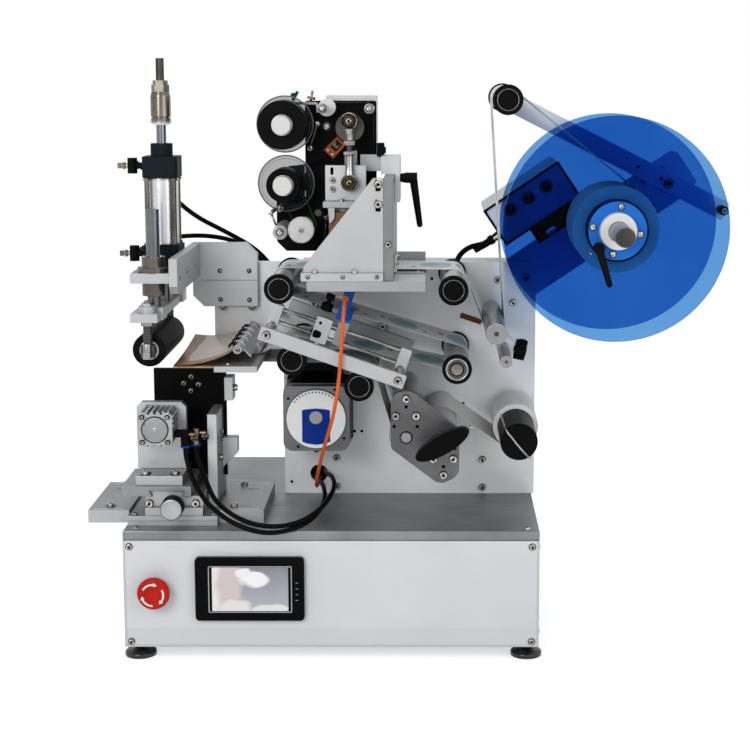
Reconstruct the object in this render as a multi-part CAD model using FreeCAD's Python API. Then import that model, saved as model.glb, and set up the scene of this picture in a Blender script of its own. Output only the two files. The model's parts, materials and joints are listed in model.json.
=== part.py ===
"""Bench-top label applicator with hot-foil coder, press head and clamping stage.

Millimetres. X runs from the stage to the reel, Y away from the operator, Z up.
The sizes below are set out from the base's front left corner on the floor, and
the finished model is moved so that its origin is the bottom centre of its box.
"""
import FreeCAD, Part
import os
from math import atan2, cos, degrees, hypot, pi, radians, sin, sqrt, tan

V = FreeCAD.Vector

# Base cabinet
BASE_LENGTH = 510.0
BASE_DEPTH = 385.0
FOOT_HEIGHT = 20.0
FOOT_RADIUS = 19.5
FOOT_STUD_RADIUS = 5.0
FOOT_INSET_X = 14.0
FOOT_INSET_Y = 28.0
CABINET_HEIGHT = 135.0
SHEET = 2.0
TOP_PLATE_THICKNESS = 12.0
CABINET_TOP = FOOT_HEIGHT + CABINET_HEIGHT
DECK = CABINET_TOP + TOP_PLATE_THICKNESS

# Touch panel and stop button on the front cover
SCREEN_CENTRE = (155.3, 95.8)
BEZEL_SIZE = (133.5, 80.0)
BEZEL_THICKNESS = 7.0
BEZEL_CORNER = 5.0
SCREEN_SIZE = (94.0, 56.0)
SCREEN_SHIFT = 0.6
SCREEN_RECESS = 0.8
SCREEN_BODY_SIZE = (120.0, 68.0)
SCREEN_BODY_DEPTH = 34.0
STOP_CENTRE = (39.4, 93.7)
STOP_HEAD_RADIUS = 20.0
STOP_HEAD_THICKNESS = 15.0
STOP_STEM_RADIUS = 9.0
STOP_SOCKET_RADIUS = 14.5
STOP_SOCKET_THICKNESS = 3.0
STOP_BODY_RADIUS = 11.5
STOP_BODY_DEPTH = 32.0
STOP_TRAVEL = 5.0

# Upright panel and the drive housing behind it
PANEL_FRONT = 180.0
PANEL_THICKNESS = 10.0
PANEL_LEFT = 182.4
PANEL_RIGHT = 513.0
PANEL_TOP = 477.0
PANEL_WING_LEFT = 93.0
PANEL_WING_BOTTOM = 345.8
PANEL_CHAMFER = 12.0
CABLE_HOLE = (227.8, 194.2)
CABLE_HOLE_RADIUS = 11.6
HOUSING_DEPTH = 120.0
HOUSING_LEFT = 200.0
HOUSING_TOP_DROP = 9.0
HOUSING_SHEET = 1.5
GROMMET_GAP = 3.0

# Web: backing paper that carries the labels
WEB_FRONT = 75.0
WEB_WIDTH = 93.0
WEB_THICKNESS = 0.2
WEB_CLEARANCE = 0.3

# Idler rollers, as X and Z of their axes
ROLLER_FRONT = -4.0
ROLLER_BACK = 175.0
ROLLER_BODY_RADIUS = 15.5
FLANGE_RADIUS = 18.0
FLANGE_THICKNESS = 5.0
ROLLER_SHAFT_RADIUS = 6.0
RUNNING = 0.08
ROLLER_AXES = {
    "guide_roller_1": (195.0, 465.5),
    "guide_roller_2": (403.5, 464.0),
    "guide_roller_3": (408.0, 368.5),
    "guide_roller_4": (209.4, 379.0),
    "guide_roller_5": (290.0, 347.3),
    "guide_roller_6": (466.9, 690.0),
}
BRAKE_BAR = (454.9, 413.4)
BRAKE_BAR_RADIUS = 13.0
SMALL_BAR = (466.7, 379.6)
SMALL_BAR_RADIUS = 7.5
BAR_FRONT = -14.0
COLLAR_RADIUS = 14.0
COLLAR_FRONT = 94.0
COLLAR_WIDTH = 15.0
STAR_KNOB_RADIUS = 13.0
STAR_KNOB_LENGTH = 14.0
STAR_KNOB_TILT = 12.0
STAR_KNOB_NECK = 3.0

# Traction and pinch rollers in their bearing plate
TRACTION_AXIS = (347.0, 286.5)
TRACTION_RADIUS = 21.0
PINCH_RADIUS = 20.0
ROLL_PAIR_FRONT = 0.0
ROLL_PAIR_BACK = 176.0
ECCENTRIC = 1.5
TRACTION_SHAFT_RADIUS = 6.0
LEVER_SHAFT_RADIUS = 8.0
BEARING_PLATE_FRONT = -10.0
BEARING_PLATE_THICKNESS = 8.0
POST_RADIUS = 11.0
POST_UPPER = (347.4, 321.0)
POST_LOWER = (391.9, 252.4)
PLATE_LOBE = 19.0
HANDLE_HALF_LENGTH = 36.0
HANDLE_HALF_WIDTH = 11.5
HANDLE_BACK = -36.0
HANDLE_THICKNESS = 17.0
HANDLE_TILT = 30.0
PULLEY_RADIUS = 24.0
PULLEY_WIDTH = 14.0
PULLEY_GAP = 6.0
BELT_THICKNESS = 1.6

# Rewind mandrel
REWIND_AXIS = (483.0, 281.0)
MANDREL_RADIUS = 22.7
MANDREL_FRONT = -10.0
MANDREL_SHAFT_RADIUS = 8.0
PAPER_ROLL_RADIUS = 28.5
REWIND_PULLEY_RADIUS = 20.0

# Stepper motor
MOTOR_AXIS = (230.3, 285.0)
MOTOR_SIZE = 86.0
MOTOR_CORNER = 12.0
MOTOR_FRONT = 102.0
MOTOR_CAP = 16.0
MOTOR_FLANGE = 8.0
MOTOR_COVER_RADIUS = 38.5
MOTOR_COVER_THICKNESS = 3.0
MOTOR_BRACKET = (60.0, 20.0, 10.0)
MOTOR_SHAFT_RADIUS = 4.0
MOTOR_SHAFT_REACH = 16.0
MOTOR_PULLEY_RADIUS = 14.4

# Label reel on its tilted support bar
REEL_AXIS = (604.7, 530.4)
REEL_TILT = 34.0
DISC_RADIUS = 140.0
DISC_THICKNESS = 3.0
DISC_FRONT = 68.0
REEL_INNER_WIDTH = 98.0
CORE_RADIUS = 38.0
LABEL_ROLL_RADIUS = 54.0
HUB_RING_THICKNESS = 15.0
HUB_BOSS_RADIUS = 22.5
HUB_BOSS_LENGTH = 12.0
SPINDLE_RADIUS = 12.0
SPINDLE_FRONT = -30.0
SUPPORT_WIDTH = 60.0
SUPPORT_THICKNESS = 10.0
SUPPORT_BEFORE_AXIS = 205.0
SUPPORT_AFTER_AXIS = 126.0
SUPPORT_END_CHAMFER = (7.0, 34.0)
ARM_LEFT = ROLLER_AXES["guide_roller_6"]
ARM_RIGHT = (752.8, 546.3)
ARM_WIDTH = 25.0
ARM_THICKNESS = 8.0
ARM_STOP_RADIUS = 6.0
ARM_STOP_LENGTH = 24.0

# Clamp levers
LEVER_HUB_RADIUS = 6.5
LEVER_HUB_LENGTH = 21.0
LEVER_ARM_LENGTH = 46.0
LEVER_ARM_START = 5.0
LEVER_ARM_END = 3.6
REEL_LEVER_OFFSET = 31.0
REEL_LEVER_ANGLE = 219.0
REEL_LEVER_HANG = -74.0
CODER_LEVER_LENGTH = 58.0
CODER_LEVER_LEAN = 8.0

# Control box beside the reel
BOX_CORNER = (474.2, 497.5)
BOX_LENGTH = 117.0
BOX_HEIGHT = 55.0
BOX_FRONT = 187.0
BOX_DEPTH = 140.0
BOX_RIM = 3.0
BOX_FLANGE = (22.0, 80.0, 3.0)
BOX_KNOB_RADIUS = 6.5
BOX_KNOB_LENGTH = 13.0
BOX_KNOB_FIRST = 31.0
BOX_KNOB_PITCH = 27.5
BOX_KNOB_HEIGHT = 36.0

# Press head: air cylinder on an arm, guide rods, yoke and rubber roller
PRESS_X = 44.5
PRESS_Y = 85.0
BRACKET_PLATE = (66.7, 151.0, 419.5, 502.8)
BRACKET_PLATE_THICKNESS = 10.0
BRACKET_CHAMFER = 14.0
ARM_PLATE_THICKNESS = 10.0
ARM_PLATE_FRONT = -18.0
ARM_PLATE_BOTTOM = 460.0
CYL_PLATE_LEFT = 19.0
CYL_PLATE_FRONT = -9.0
CYL_PLATE_TOP = 484.5
CYL_PLATE_THICKNESS = 12.0
GUIDE_ROD_RADIUS = 8.0
GUIDE_ROD_SPREAD = 77.0
GUIDE_ROD_TOP = 560.0
BUSHING_RADIUS = 14.0
BUSHING_FLANGE_RADIUS = 19.0
BUSHING_FLANGE_THICKNESS = 6.0
BUSHING_RISE = 19.0
BUSHING_DROP = 16.0
CYL_CAP_SIZE = 43.0
CYL_CAP_HEIGHT = 26.0
CYL_TUBE_LENGTH = 82.5
CYL_BORE = 32.0
CYL_TUBE_WALL = 3.0
TIE_ROD_RADIUS = 3.0
TIE_ROD_INSET = 6.0
CYL_BOSS_RADIUS = 13.5
CYL_BOSS_HEIGHT = 15.5
PISTON_ROD_RADIUS = 6.0
PISTON_THICKNESS = 14.0
STROKE_GAP = 23.0
ADJUSTER_RADIUS = 12.3
ADJUSTER_HEIGHT = 40.0
ADJUSTER_HEX = 19.0
ADJUSTER_HEX_HEIGHT = 8.5
STUD_RADIUS = 5.0
PRESS_TOP = 738.0
YOKE_LEFT = 22.0
YOKE_RIGHT = 54.0
YOKE_FRONT = -30.0
YOKE_BACK = 186.0
YOKE_BOTTOM = 428.5
YOKE_THICKNESS = 10.5
YOKE_BLOCK = (22.0, 30.0, 4.5)
PRESS_ROLLER_AXIS = (40.0, 392.4)
PRESS_ROLLER_RADIUS = 20.0
PRESS_ROLLER_FRONT = -9.0
PRESS_ROLLER_BACK = 135.0
PRESS_SHAFT_RADIUS = 5.0
HANGER_RADIUS = 4.8
HANGER_EYE = (16.0, 9.0, 15.0)
HANGER_GAP = 3.0
HANGER_NUT_RADIUS = 10.0
HANGER_NUT_HEIGHT = 8.0
HANGER_SCREW_RISE = 10.0
FITTING_RADIUS = 6.0
FITTING_HEIGHT = 19.0
FITTING_REACH = 15.0
FITTING_STEM_RADIUS = 4.0
FITTING_TIP_RADIUS = 2.6
FITTING_TIP_LENGTH = 12.0
FITTING_PORT_RADIUS = 5.5
FITTING_PORT_LENGTH = 8.0

# Clamping stage
WING_LEFT = -49.0
WING_RIGHT = 169.0
WING_FRONT = 36.0
WING_BACK = 176.0
WING_THICKNESS = 16.0
STAGE_PLATE_LEFT = 2.0
STAGE_PLATE_RIGHT = 113.0
STAGE_PLATE_FRONT = 23.0
STAGE_PLATE_THICKNESS = 12.0
BLOCK_LEFT = 24.0
BLOCK_RIGHT = 95.0
BLOCK_FRONT = 30.0
BLOCK_HEIGHT = 24.0
BLOCK_STEP = 11.0
BLOCK_STEP_REACH = 5.0
DOVETAIL_WIDTH = 36.0
DOVETAIL_HEIGHT = 7.0
DOVETAIL_FLARE = 4.0
SLIDE_GAP = 0.3
KNOB_AXIS = (61.8, 196.5)
KNOB_RADIUS = 13.5
KNOB_FRONT = -12.0
KNOB_LENGTH = 24.0
KNOB_SHAFT_RADIUS = 4.0
KNOB_SHAFT_REACH = 30.0
SLIDE_LEFT = -5.0
SLIDE_RIGHT = 81.0
SLIDE_FRONT = 25.0
SLIDE_BACK = 118.0
SLIDE_THICKNESS = 12.7
FOOT_PLATE_LEFT = 12.0
FOOT_PLATE_RIGHT = 70.0
FOOT_PLATE_FRONT = 30.0
FOOT_PLATE_THICKNESS = 12.0
CLAMP_PLATE_LEFT = 8.0
CLAMP_PLATE_RIGHT = 70.0
CLAMP_PLATE_FRONT = 70.0
CLAMP_PLATE_THICKNESS = 12.0
CLAMP_PLATE_HEIGHT = 85.0
CLAMP_PLATE_CHAMFER = 6.0
CLAMP_AXIS = (37.9, 287.0)
CLAMP_SIZE = 43.0
CLAMP_LENGTH = 43.0
CLAMP_CORNER = 7.0
CLAMP_BOLT_INSET = 6.5
CLAMP_BOLT_RADIUS = 3.6
CLAMP_CAP_RADIUS = 15.5
CLAMP_CAP_DEPTH = 1.5
CLAMP_FIN_DEPTH = 2.5
CLAMP_FIN_WIDTH = 3.0
CLAMP_FIN_PITCH = 8.0
CLAMP_ROD_RADIUS = 5.0
PUSHER_RADIUS = 16.0
PUSHER_THICKNESS = 7.0
PUSHER_GAP = 2.0
BACKSTOP_LEFT = 20.0
BACKSTOP_RIGHT = 113.0
BACKSTOP_BOTTOM = 205.0
BACKSTOP_TOP = 345.0
BACKSTOP_FRONT = 129.0
BACKSTOP_THICKNESS = 6.0
SIDE_PLATE_LEFT = 96.5
SIDE_PLATE_THICKNESS = 12.0
SIDE_PLATE_FRONT = 66.0
SIDE_PLATE_TOP = 298.0
SIDE_GUSSET = 20.0
SIDE_BRACKET = (11.0, 26.0, 30.0)

# Peeling edge
PEEL_TIP = 67.0
PEEL_TOP = 372.0
BLADE_THICKNESS = 2.0
PEEL_BLOCK_LEFT = 116.0
PEEL_BLOCK_RIGHT = 168.0
PEEL_BLOCK_THICKNESS = 7.4
PEEL_FRONT = -5.0
PEEL_BACK = 170.0
FILM_ROD = (145.0, 393.0)
FILM_ROD_RADIUS = 5.0
FILM_CLIP_COUNT = 5
FILM_CLIP_WIDTH = 8.0
FILM_STRIP_THICKNESS = 1.2
FILM_FOOT = (158.0, 6.5)

# Sensor guide frame
FRAME_LEFT_SHAFT = (179.5, 412.0)
FRAME_RIGHT_SHAFT = (337.6, 356.6)
FRAME_BAR_WIDTH = 17.0
FRAME_BAR_THICKNESS = 8.0
FRAME_BAR_FRONT = -14.0
FRAME_BAR_OVERHANG = 8.0
FRAME_SHAFT_RADIUS = 5.0
SENSOR_ROD_RADIUS = 2.5
SENSOR_ROD_Y = 62.0
SENSOR_ROD_RISE = (6.5, 23.0)
SENSOR_BLOCK = (14.0, 36.0, 14.0)
SENSOR_BLOCK_START = 0.0
CARRIAGE_AT = 60.0
CARRIAGE_SIZE = (20.0, 32.0, 12.0)
CARRIAGE_KNOB = (3.0, 6.0, 9.0)
SENSOR_SIZE = (13.0, 46.0, 16.0)
SENSOR_RISE = 3.0
SENSOR_AHEAD = 24.0
SENSOR_SLOT = 5.0
SENSOR_JAW_REACH = 14.0

# Print table and the bracket of the coder
TABLE_LEFT = 229.0
TABLE_RIGHT = 370.0
TABLE_FRONT = -14.0
TABLE_TOP = 476.0
TABLE_THICKNESS = 12.0
TABLE_SKIN = 1.5
BRACKET_FOOT = (222.0, 322.0, 10.0)
BRACKET_FOOT_BACK = 60.0
GUSSET_FRONT = -10.0
GUSSET_THICKNESS = 8.0
GUSSET_TOP = 598.0
GUSSET_TOP_WIDTH = 12.0
GUSSET_TOE = 7.0
GUSSET_SLOTS = (590.0, 566.0)
SLOT_RADIUS = 3.0
SLOT_LENGTH = 14.0
UPRIGHT_THICKNESS = 12.0
UPRIGHT_BACK = 174.0
CLAMP_BLOCK = (315.0, 338.0, 564.0, 619.0)
CLAMP_BLOCK_FRONT = 66.0
CLAMP_BLOCK_BACK = 128.0

# Hot-foil coder
CODER_PLATE_FRONT = 136.0
CODER_PLATE_THICKNESS = 8.0
CODER_LEFT = 217.0
CODER_RIGHT = 307.0
CODER_TOP = 686.0
CODER_BOTTOM = 496.0
CODER_TOE_LEFT = 180.0
CODER_TOE_TOP = 562.0
RIBBON_SUPPLY = (194.0, 657.4)
RIBBON_TAKEUP = (194.8, 583.7)
RIBBON_DISC_RADIUS = 35.5
RIBBON_DISC_THICKNESS = 2.0
RIBBON_SUPPLY_ROLL = 30.0
RIBBON_TAKEUP_ROLL = 21.0
RIBBON_HUB_RADIUS = 11.5
RIBBON_FRONT = 62.0
RIBBON_ROLL_WIDTH = 40.0
RIBBON_HUB_RISE = 8.0
RIBBON_SHAFT_RADIUS = 4.0
RIBBON_ARM_RADIUS = 11.0
RIBBON_WHEEL = (217.0, 529.9)
RIBBON_WHEEL_RADIUS = 16.0
RIBBON_WHEEL_THICKNESS = 8.0
RIBBON_WHEEL_DRUM = 10.0
NIP_ROLLER = (190.5, 526.4)
NIP_ROLLER_RADIUS = 9.0
RIBBON_PINS = ((242.4, 677.3, 4.5, 84), (299.9, 677.0, 5.5, 84), (186.3, 551.7, 4.5, 113), (236.5, 549.0, 4.5, 84))
CRANK_AXIS = (275.0, 653.5)
CRANK_RADIUS = 18.0
CRANK_THROW = 8.5
CRANK_THICKNESS = 8.0
CRANK_FRONT = 104.0
CRANK_PIN_RADIUS = 3.0
CRANK_SHAFT_RADIUS = 5.0
ROD_LENGTH = 76.0
ROD_EYE_RADIUS = 10.0
ROD_NECK_RADIUS = 3.9
ROD_SLEEVE_RADIUS = 6.5
ROD_SLEEVE_LENGTH = 22.0
ROD_FRONT = 88.0
ROD_THICKNESS = 8.0
ROD_BOLT_HEAD = (5.5, 4.0)
SLIDER_LEFT = 244.5
SLIDER_RIGHT = 295.5
SLIDER_BOTTOM = 563.0
SLIDER_TOP = 607.0
SLIDER_THICKNESS = 6.0
SLIDER_SHELF = 7.5
SLIDER_SHELF_REACH = 18.0
RAIL_WIDTH = 16.0
RAIL_THICKNESS = 9.0
RAIL_BOTTOM = 528.0
RAIL_TOP = 624.0
INSULATOR = (10.0, 6.0)
HEATER = (34.0, 40.0, 43.0)
TYPE_HOLDER = (28.0, 34.0, 8.0)
CODER_MOTOR = (64.0, 48.0, 62.0)
CODER_MOTOR_RISE = 6.0

# Cords: radii, exits and the points that their routes turn at
TUBE_RADIUS = 3.0
SENSOR_CORD_RADIUS = 2.2
CONTROL_CORD_RADIUS = 3.5
TURN_SHARE = 0.45
FRONT_TUBE_1 = [
    (72.6, 42.0, 262.0), (72.6, 42.0, 252.0), (77.0, 37.0, 236.0), (87.0, 25.0, 216.0), (106.0, 8.0, 195.0),
    (140.0, -7.0, 175.5), (176.0, -12.0, 166.5), (208.0, -6.0, 170.0), (232.0, 16.0, 177.0),
    (244.0, 60.0, 188.0), (239.0, 112.0, 196.0), (226.0, 152.0, 194.0), (222.6, 200.0, 192.0),
]
FRONT_TUBE_2 = [
    (84.6, 52.0, 262.0), (84.6, 52.0, 253.0), (88.5, 48.0, 240.0), (98.0, 35.0, 222.0), (116.0, 16.0, 203.0),
    (150.0, 2.0, 185.0), (186.0, 0.0, 177.5), (219.0, 5.0, 181.5), (244.0, 28.0, 190.0),
    (256.0, 70.0, 201.0), (250.0, 116.0, 207.0), (237.0, 154.0, 201.0), (232.6, 200.0, 197.0),
]
REAR_TUBE_1 = [
    (8.0, 101.0, 607.5), (8.0, 109.0, 607.5), (9.0, 124.0, 605.0), (17.0, 152.0, 594.0), (37.0, 178.0, 566.0),
    (66.0, 192.0, 536.0), (108.0, 200.0, 513.5), (146.0, 206.0, 491.0), (168.0, 211.0, 464.0),
    (184.0, 212.0, 444.0), (212.0, 212.0, 440.0),
]
REAR_TUBE_2 = [
    (8.0, 101.0, 498.5), (8.0, 109.0, 498.5), (10.0, 126.0, 500.0), (22.0, 160.0, 506.0), (50.0, 186.0, 510.0),
    (86.0, 202.0, 509.0), (122.0, 211.0, 500.0), (150.0, 219.0, 478.0), (164.0, 224.0, 450.0),
    (182.0, 226.0, 428.0), (212.0, 226.0, 422.0),
]
SENSOR_CORD = [
    (271.0, 16.0, 452.0), (270.0, -12.0, 433.0), (267.5, -21.0, 398.0),
    (263.0, -21.0, 352.0), (257.0, -14.0, 312.0), (246.0, 14.0, 268.0), (235.0, 58.0, 226.0),
    (229.5, 100.0, 197.0), (228.5, 142.0, 187.5), (228.4, 200.0, 187.0),
]
CONTROL_CORD = [
    (424.0, 223.0, 492.0), (408.0, 224.0, 474.0),
    (402.0, 224.0, 446.0),
]


def box(x0, x1, y0, y1, z0, z1):
    return Part.makeBox(x1 - x0, y1 - y0, z1 - z0, V(x0, y0, z0))


def rod_x(y, z, radius, x0, x1):
    return Part.makeCylinder(radius, x1 - x0, V(x0, y, z), V(1, 0, 0))


def rod_y(centre, radius, y0, y1):
    return Part.makeCylinder(radius, y1 - y0, V(centre[0], y0, centre[1]), V(0, 1, 0))


def rod_z(x, y, radius, z0, z1):
    return Part.makeCylinder(radius, z1 - z0, V(x, y, z0), V(0, 0, 1))


def ring_y(centre, outer, inner, y0, y1):
    return rod_y(centre, outer, y0, y1).cut(rod_y(centre, inner, y0, y1))


def turned_y(centre, profile):
    """A solid turned about an axis along Y, from its (radius, y) corners."""
    corners = [V(centre[0] + r, y, centre[1]) for r, y in profile]
    face = Part.Face(Part.makePolygon(corners + corners[:1]))
    return face.revolve(V(centre[0], 0, centre[1]), V(0, 1, 0), 360)


def turned_z(x, y, profile):
    """A solid turned about an upright axis, from its (radius, z) corners."""
    corners = [V(x + r, y, z) for r, z in profile]
    face = Part.Face(Part.makePolygon(corners + corners[:1]))
    return face.revolve(V(x, y, 0), V(0, 0, 1), 360)


def rounded_edges(points, radii, closed):
    """Straight edges joined by tangent arcs, one radius for each point."""
    count = len(points)
    starts, ends, edges = [], [], []
    for i, point in enumerate(points):
        before, after = points[i - 1], points[(i + 1) % count]
        radius = radii[i]
        if radius <= 0 or (not closed and i in (0, count - 1)):
            starts.append(point)
            ends.append(point)
            continue
        u = (before - point).normalize()
        w = (after - point).normalize()
        half = u.getAngle(w) / 2
        back = radius / tan(half)
        starts.append(point + u * back)
        ends.append(point + w * back)
    for i, point in enumerate(points):
        if (starts[i] - ends[i]).Length > 1e-6:
            inward = ((starts[i] + ends[i]) * 0.5 - point).normalize()
            u = (starts[i] - point).normalize()
            half = u.getAngle(inward)
            middle = point + inward * (radii[i] / sin(half) - radii[i])
            edges.append(Part.Arc(starts[i], middle, ends[i]).toShape())
        last = not closed and i == count - 1
        if not last and (starts[(i + 1) % count] - ends[i]).Length > 1e-6:
            edges.append(Part.LineSegment(ends[i], starts[(i + 1) % count]).toShape())
    return edges


def plate_y(corners, y0, y1, radius=0.0):
    """A plate parallel to XZ, from its (x, z) or (x, z, corner radius) corners."""
    points = [V(c[0], y0, c[1]) for c in corners]
    radii = [c[2] if len(c) > 2 else radius for c in corners]
    face = Part.Face(Part.Wire(rounded_edges(points, radii, True)))
    return face.extrude(V(0, y1 - y0, 0))


def plate_x(corners, x0, x1):
    """A plate parallel to YZ, from its (y, z) corners."""
    points = [V(x0, y, z) for y, z in corners]
    face = Part.Face(Part.makePolygon(points + points[:1]))
    return face.extrude(V(x1 - x0, 0, 0))


def plate_z(corners, z0, z1):
    points = [V(x, y, z0) for x, y in corners]
    return Part.Face(Part.makePolygon(points + points[:1])).extrude(V(0, 0, z1 - z0))


def hexagon_z(x, y, across, z0, z1):
    r = across / sqrt(3)
    points = [V(x + r * cos(pi * k / 3), y + r * sin(pi * k / 3), z0) for k in range(7)]
    return Part.Face(Part.makePolygon(points)).extrude(V(0, 0, z1 - z0))


def turn_y(shape, centre, angle):
    """Turns a shape about a Y axis; a positive angle lifts its +X side."""
    turned = shape.copy()
    turned.rotate(V(centre[0], 0, centre[1]), V(0, 1, 0), -angle)
    return turned


def along(origin, angle, run, rise):
    """The (x, z) point run along and rise across a line tilted by angle."""
    c, s = cos(radians(angle)), sin(radians(angle))
    return (origin[0] + run * c - rise * s, origin[1] + run * s + rise * c)


def tilted_bar(origin, angle, run0, run1, rise0, rise1, y0, y1, radius=0.0):
    corners = [along(origin, angle, a, b)
               for a, b in ((run0, rise0), (run1, rise0), (run1, rise1), (run0, rise1))]
    return plate_y(corners, y0, y1, radius)


def cord_tube(name, route, radius):
    """A round cord along straight runs joined by the widest tangent arcs."""
    points = [V(*p) for p in route]
    radii = [0.0]
    for before, point, after in zip(points, points[1:], points[2:]):
        run = min((point - before).Length, (after - point).Length)
        turn = pi - (before - point).getAngle(after - point)
        radii.append(TURN_SHARE * run / tan(turn / 2))
    radii.append(0.0)
    path = Part.Wire(rounded_edges(points, radii, False))
    start = (points[1] - points[0]).normalize()
    section = Part.Wire(Part.Circle(points[0], start, radius).toShape())
    tube = path.makePipeShell([section], True, False)
    ratio = tube.Volume / (pi * radius ** 2 * path.Length)
    print("%s: length %.0f, tightest radius %.0f, volume ratio %.4f"
          % (name, path.Length, min(radii[1:-1]), ratio))
    return tube


def belt_lines(stops):
    """Tangent lines of a band round circles (x, z, radius, turn), turn +1 when clockwise."""
    lines = []
    for (x1, z1, r1, s1), (x2, z2, r2, s2) in zip(stops, stops[1:]):
        span = hypot(x2 - x1, z2 - z1)
        k = s2 * r2 - s1 * r1
        reach = sqrt(max(span * span - k * k, 0.0))
        heading = atan2(z2 - z1, x2 - x1) + atan2(k, reach)
        left = (-sin(heading), cos(heading))
        start = (x1 + s1 * r1 * left[0], z1 + s1 * r1 * left[1])
        end = (x2 + s2 * r2 * left[0], z2 + s2 * r2 * left[1])
        lines.append((start, end, heading))
    return lines


def band(stops, thickness, y0, y1):
    """The solids of a flat band: a strip on each tangent line, a sector on each circle."""
    half = thickness / 2
    pieces = []
    lines = belt_lines(stops)
    for start, end, heading in lines:
        if hypot(end[0] - start[0], end[1] - start[1]) < 0.05:
            continue
        nx, nz = -sin(heading) * half, cos(heading) * half
        pieces.append(plate_y([(start[0] + nx, start[1] + nz), (end[0] + nx, end[1] + nz),
                               (end[0] - nx, end[1] - nz), (start[0] - nx, start[1] - nz)], y0, y1))
    for (before, after), (x, z, r, s) in zip(zip(lines, lines[1:]), stops[1:-1]):
        a0 = before[2] + s * pi / 2
        sweep = (s * (before[2] - after[2])) % (2 * pi)
        if sweep < 0.01:
            continue
        pieces.append(sector(x, z, r, half, a0, a0 - s * sweep, y0, y1))
    return pieces[0].multiFuse(pieces[1:], 0.002)


def sector(x, z, radius, half, a0, a1, y0, y1):
    """Part of a thin ring between two angles."""
    def at(r, a):
        return V(x + r * cos(a), y0, z + r * sin(a))
    outer, inner = radius + half, radius - half
    middle = (a0 + a1) / 2
    edges = [
        Part.Arc(at(outer, a0), at(outer, middle), at(outer, a1)).toShape(),
        Part.LineSegment(at(outer, a1), at(inner, a1)).toShape(),
        Part.Arc(at(inner, a1), at(inner, middle), at(inner, a0)).toShape(),
        Part.LineSegment(at(inner, a0), at(outer, a0)).toShape(),
    ]
    return Part.Face(Part.Wire(edges)).extrude(V(0, y1 - y0, 0))


PANEL_BACK = PANEL_FRONT + PANEL_THICKNESS
PANEL_WING = [
    (PANEL_LEFT, DECK), (PANEL_RIGHT, DECK), (PANEL_RIGHT, PANEL_TOP - PANEL_CHAMFER),
    (PANEL_RIGHT - PANEL_CHAMFER, PANEL_TOP), (PANEL_WING_LEFT, PANEL_TOP),
    (PANEL_WING_LEFT, PANEL_WING_BOTTOM), (PANEL_LEFT, PANEL_WING_BOTTOM),
]
PINCH_AXIS = (TRACTION_AXIS[0] + TRACTION_RADIUS + PINCH_RADIUS + 2 * WEB_CLEARANCE + WEB_THICKNESS,
              TRACTION_AXIS[1])
LEVER_AXIS = (PINCH_AXIS[0] + ECCENTRIC, PINCH_AXIS[1])
REEL_PULLEY_Y = PANEL_BACK + PULLEY_GAP
DISC_BACK = DISC_FRONT + 2 * DISC_THICKNESS + REEL_INNER_WIDTH
GUIDE_ROD_YS = (PRESS_Y - GUIDE_ROD_SPREAD, PRESS_Y + GUIDE_ROD_SPREAD)
CYL_CAP_TOP = CYL_PLATE_TOP + 2 * CYL_CAP_HEIGHT + CYL_TUBE_LENGTH
CYL_BOSS_TOP = CYL_CAP_TOP + CYL_BOSS_HEIGHT
YOKE_TOP = YOKE_BOTTOM + YOKE_THICKNESS
STAGE_PLATE_TOP = DECK + STAGE_PLATE_THICKNESS
BLOCK_TOP = STAGE_PLATE_TOP + BLOCK_HEIGHT
SLIDE_BOTTOM = BLOCK_TOP + SLIDE_GAP
SLIDE_TOP = SLIDE_BOTTOM + SLIDE_THICKNESS
FOOT_PLATE_TOP = SLIDE_TOP + FOOT_PLATE_THICKNESS
CLAMP_PLATE_BACK = CLAMP_PLATE_FRONT + CLAMP_PLATE_THICKNESS
FRAME_TILT = degrees(atan2(FRAME_RIGHT_SHAFT[1] - FRAME_LEFT_SHAFT[1],
                           FRAME_RIGHT_SHAFT[0] - FRAME_LEFT_SHAFT[0]))
FRAME_SPAN = hypot(FRAME_RIGHT_SHAFT[0] - FRAME_LEFT_SHAFT[0],
                   FRAME_RIGHT_SHAFT[1] - FRAME_LEFT_SHAFT[1])
CRANK_PIN = (CRANK_AXIS[0], CRANK_AXIS[1] + CRANK_THROW)
LOW_EYE = (CRANK_PIN[0], CRANK_PIN[1] - ROD_LENGTH)
CODER_PLATE_BACK = CODER_PLATE_FRONT + CODER_PLATE_THICKNESS


def base_cabinet():
    """Folded sheet tray, open at the front and top, with its power unit and controller."""
    shell = box(0, BASE_LENGTH, 0, BASE_DEPTH, FOOT_HEIGHT, CABINET_TOP)
    shell = shell.cut(box(SHEET, BASE_LENGTH - SHEET, -SHEET, BASE_DEPTH - SHEET,
                          FOOT_HEIGHT + SHEET, CABINET_TOP + SHEET))
    floor = FOOT_HEIGHT + SHEET
    power_unit = box(BASE_LENGTH - 220, BASE_LENGTH - 60, 220, 320, floor, floor + 50)
    controller = box(80, 210, 200, 320, floor, floor + 60)
    return [shell, power_unit, controller]


def base_top_plate():
    plate = box(0, BASE_LENGTH, 0, BASE_DEPTH, CABINET_TOP, DECK)
    return [plate.makeChamfer(1.0, [e for e in plate.Edges if e.BoundBox.ZMin > DECK - 0.1])]


def base_front_cover():
    cover = box(0, BASE_LENGTH, -SHEET, 0, FOOT_HEIGHT, CABINET_TOP)
    x, z = SCREEN_CENTRE
    w, h = (s / 2 + SLIDE_GAP for s in SCREEN_BODY_SIZE)
    cover = cover.cut(box(x - w, x + w, -2 * SHEET, SHEET, z - h, z + h))
    return [cover.cut(rod_y(STOP_CENTRE, STOP_BODY_RADIUS, -2 * SHEET, SHEET))]


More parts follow.
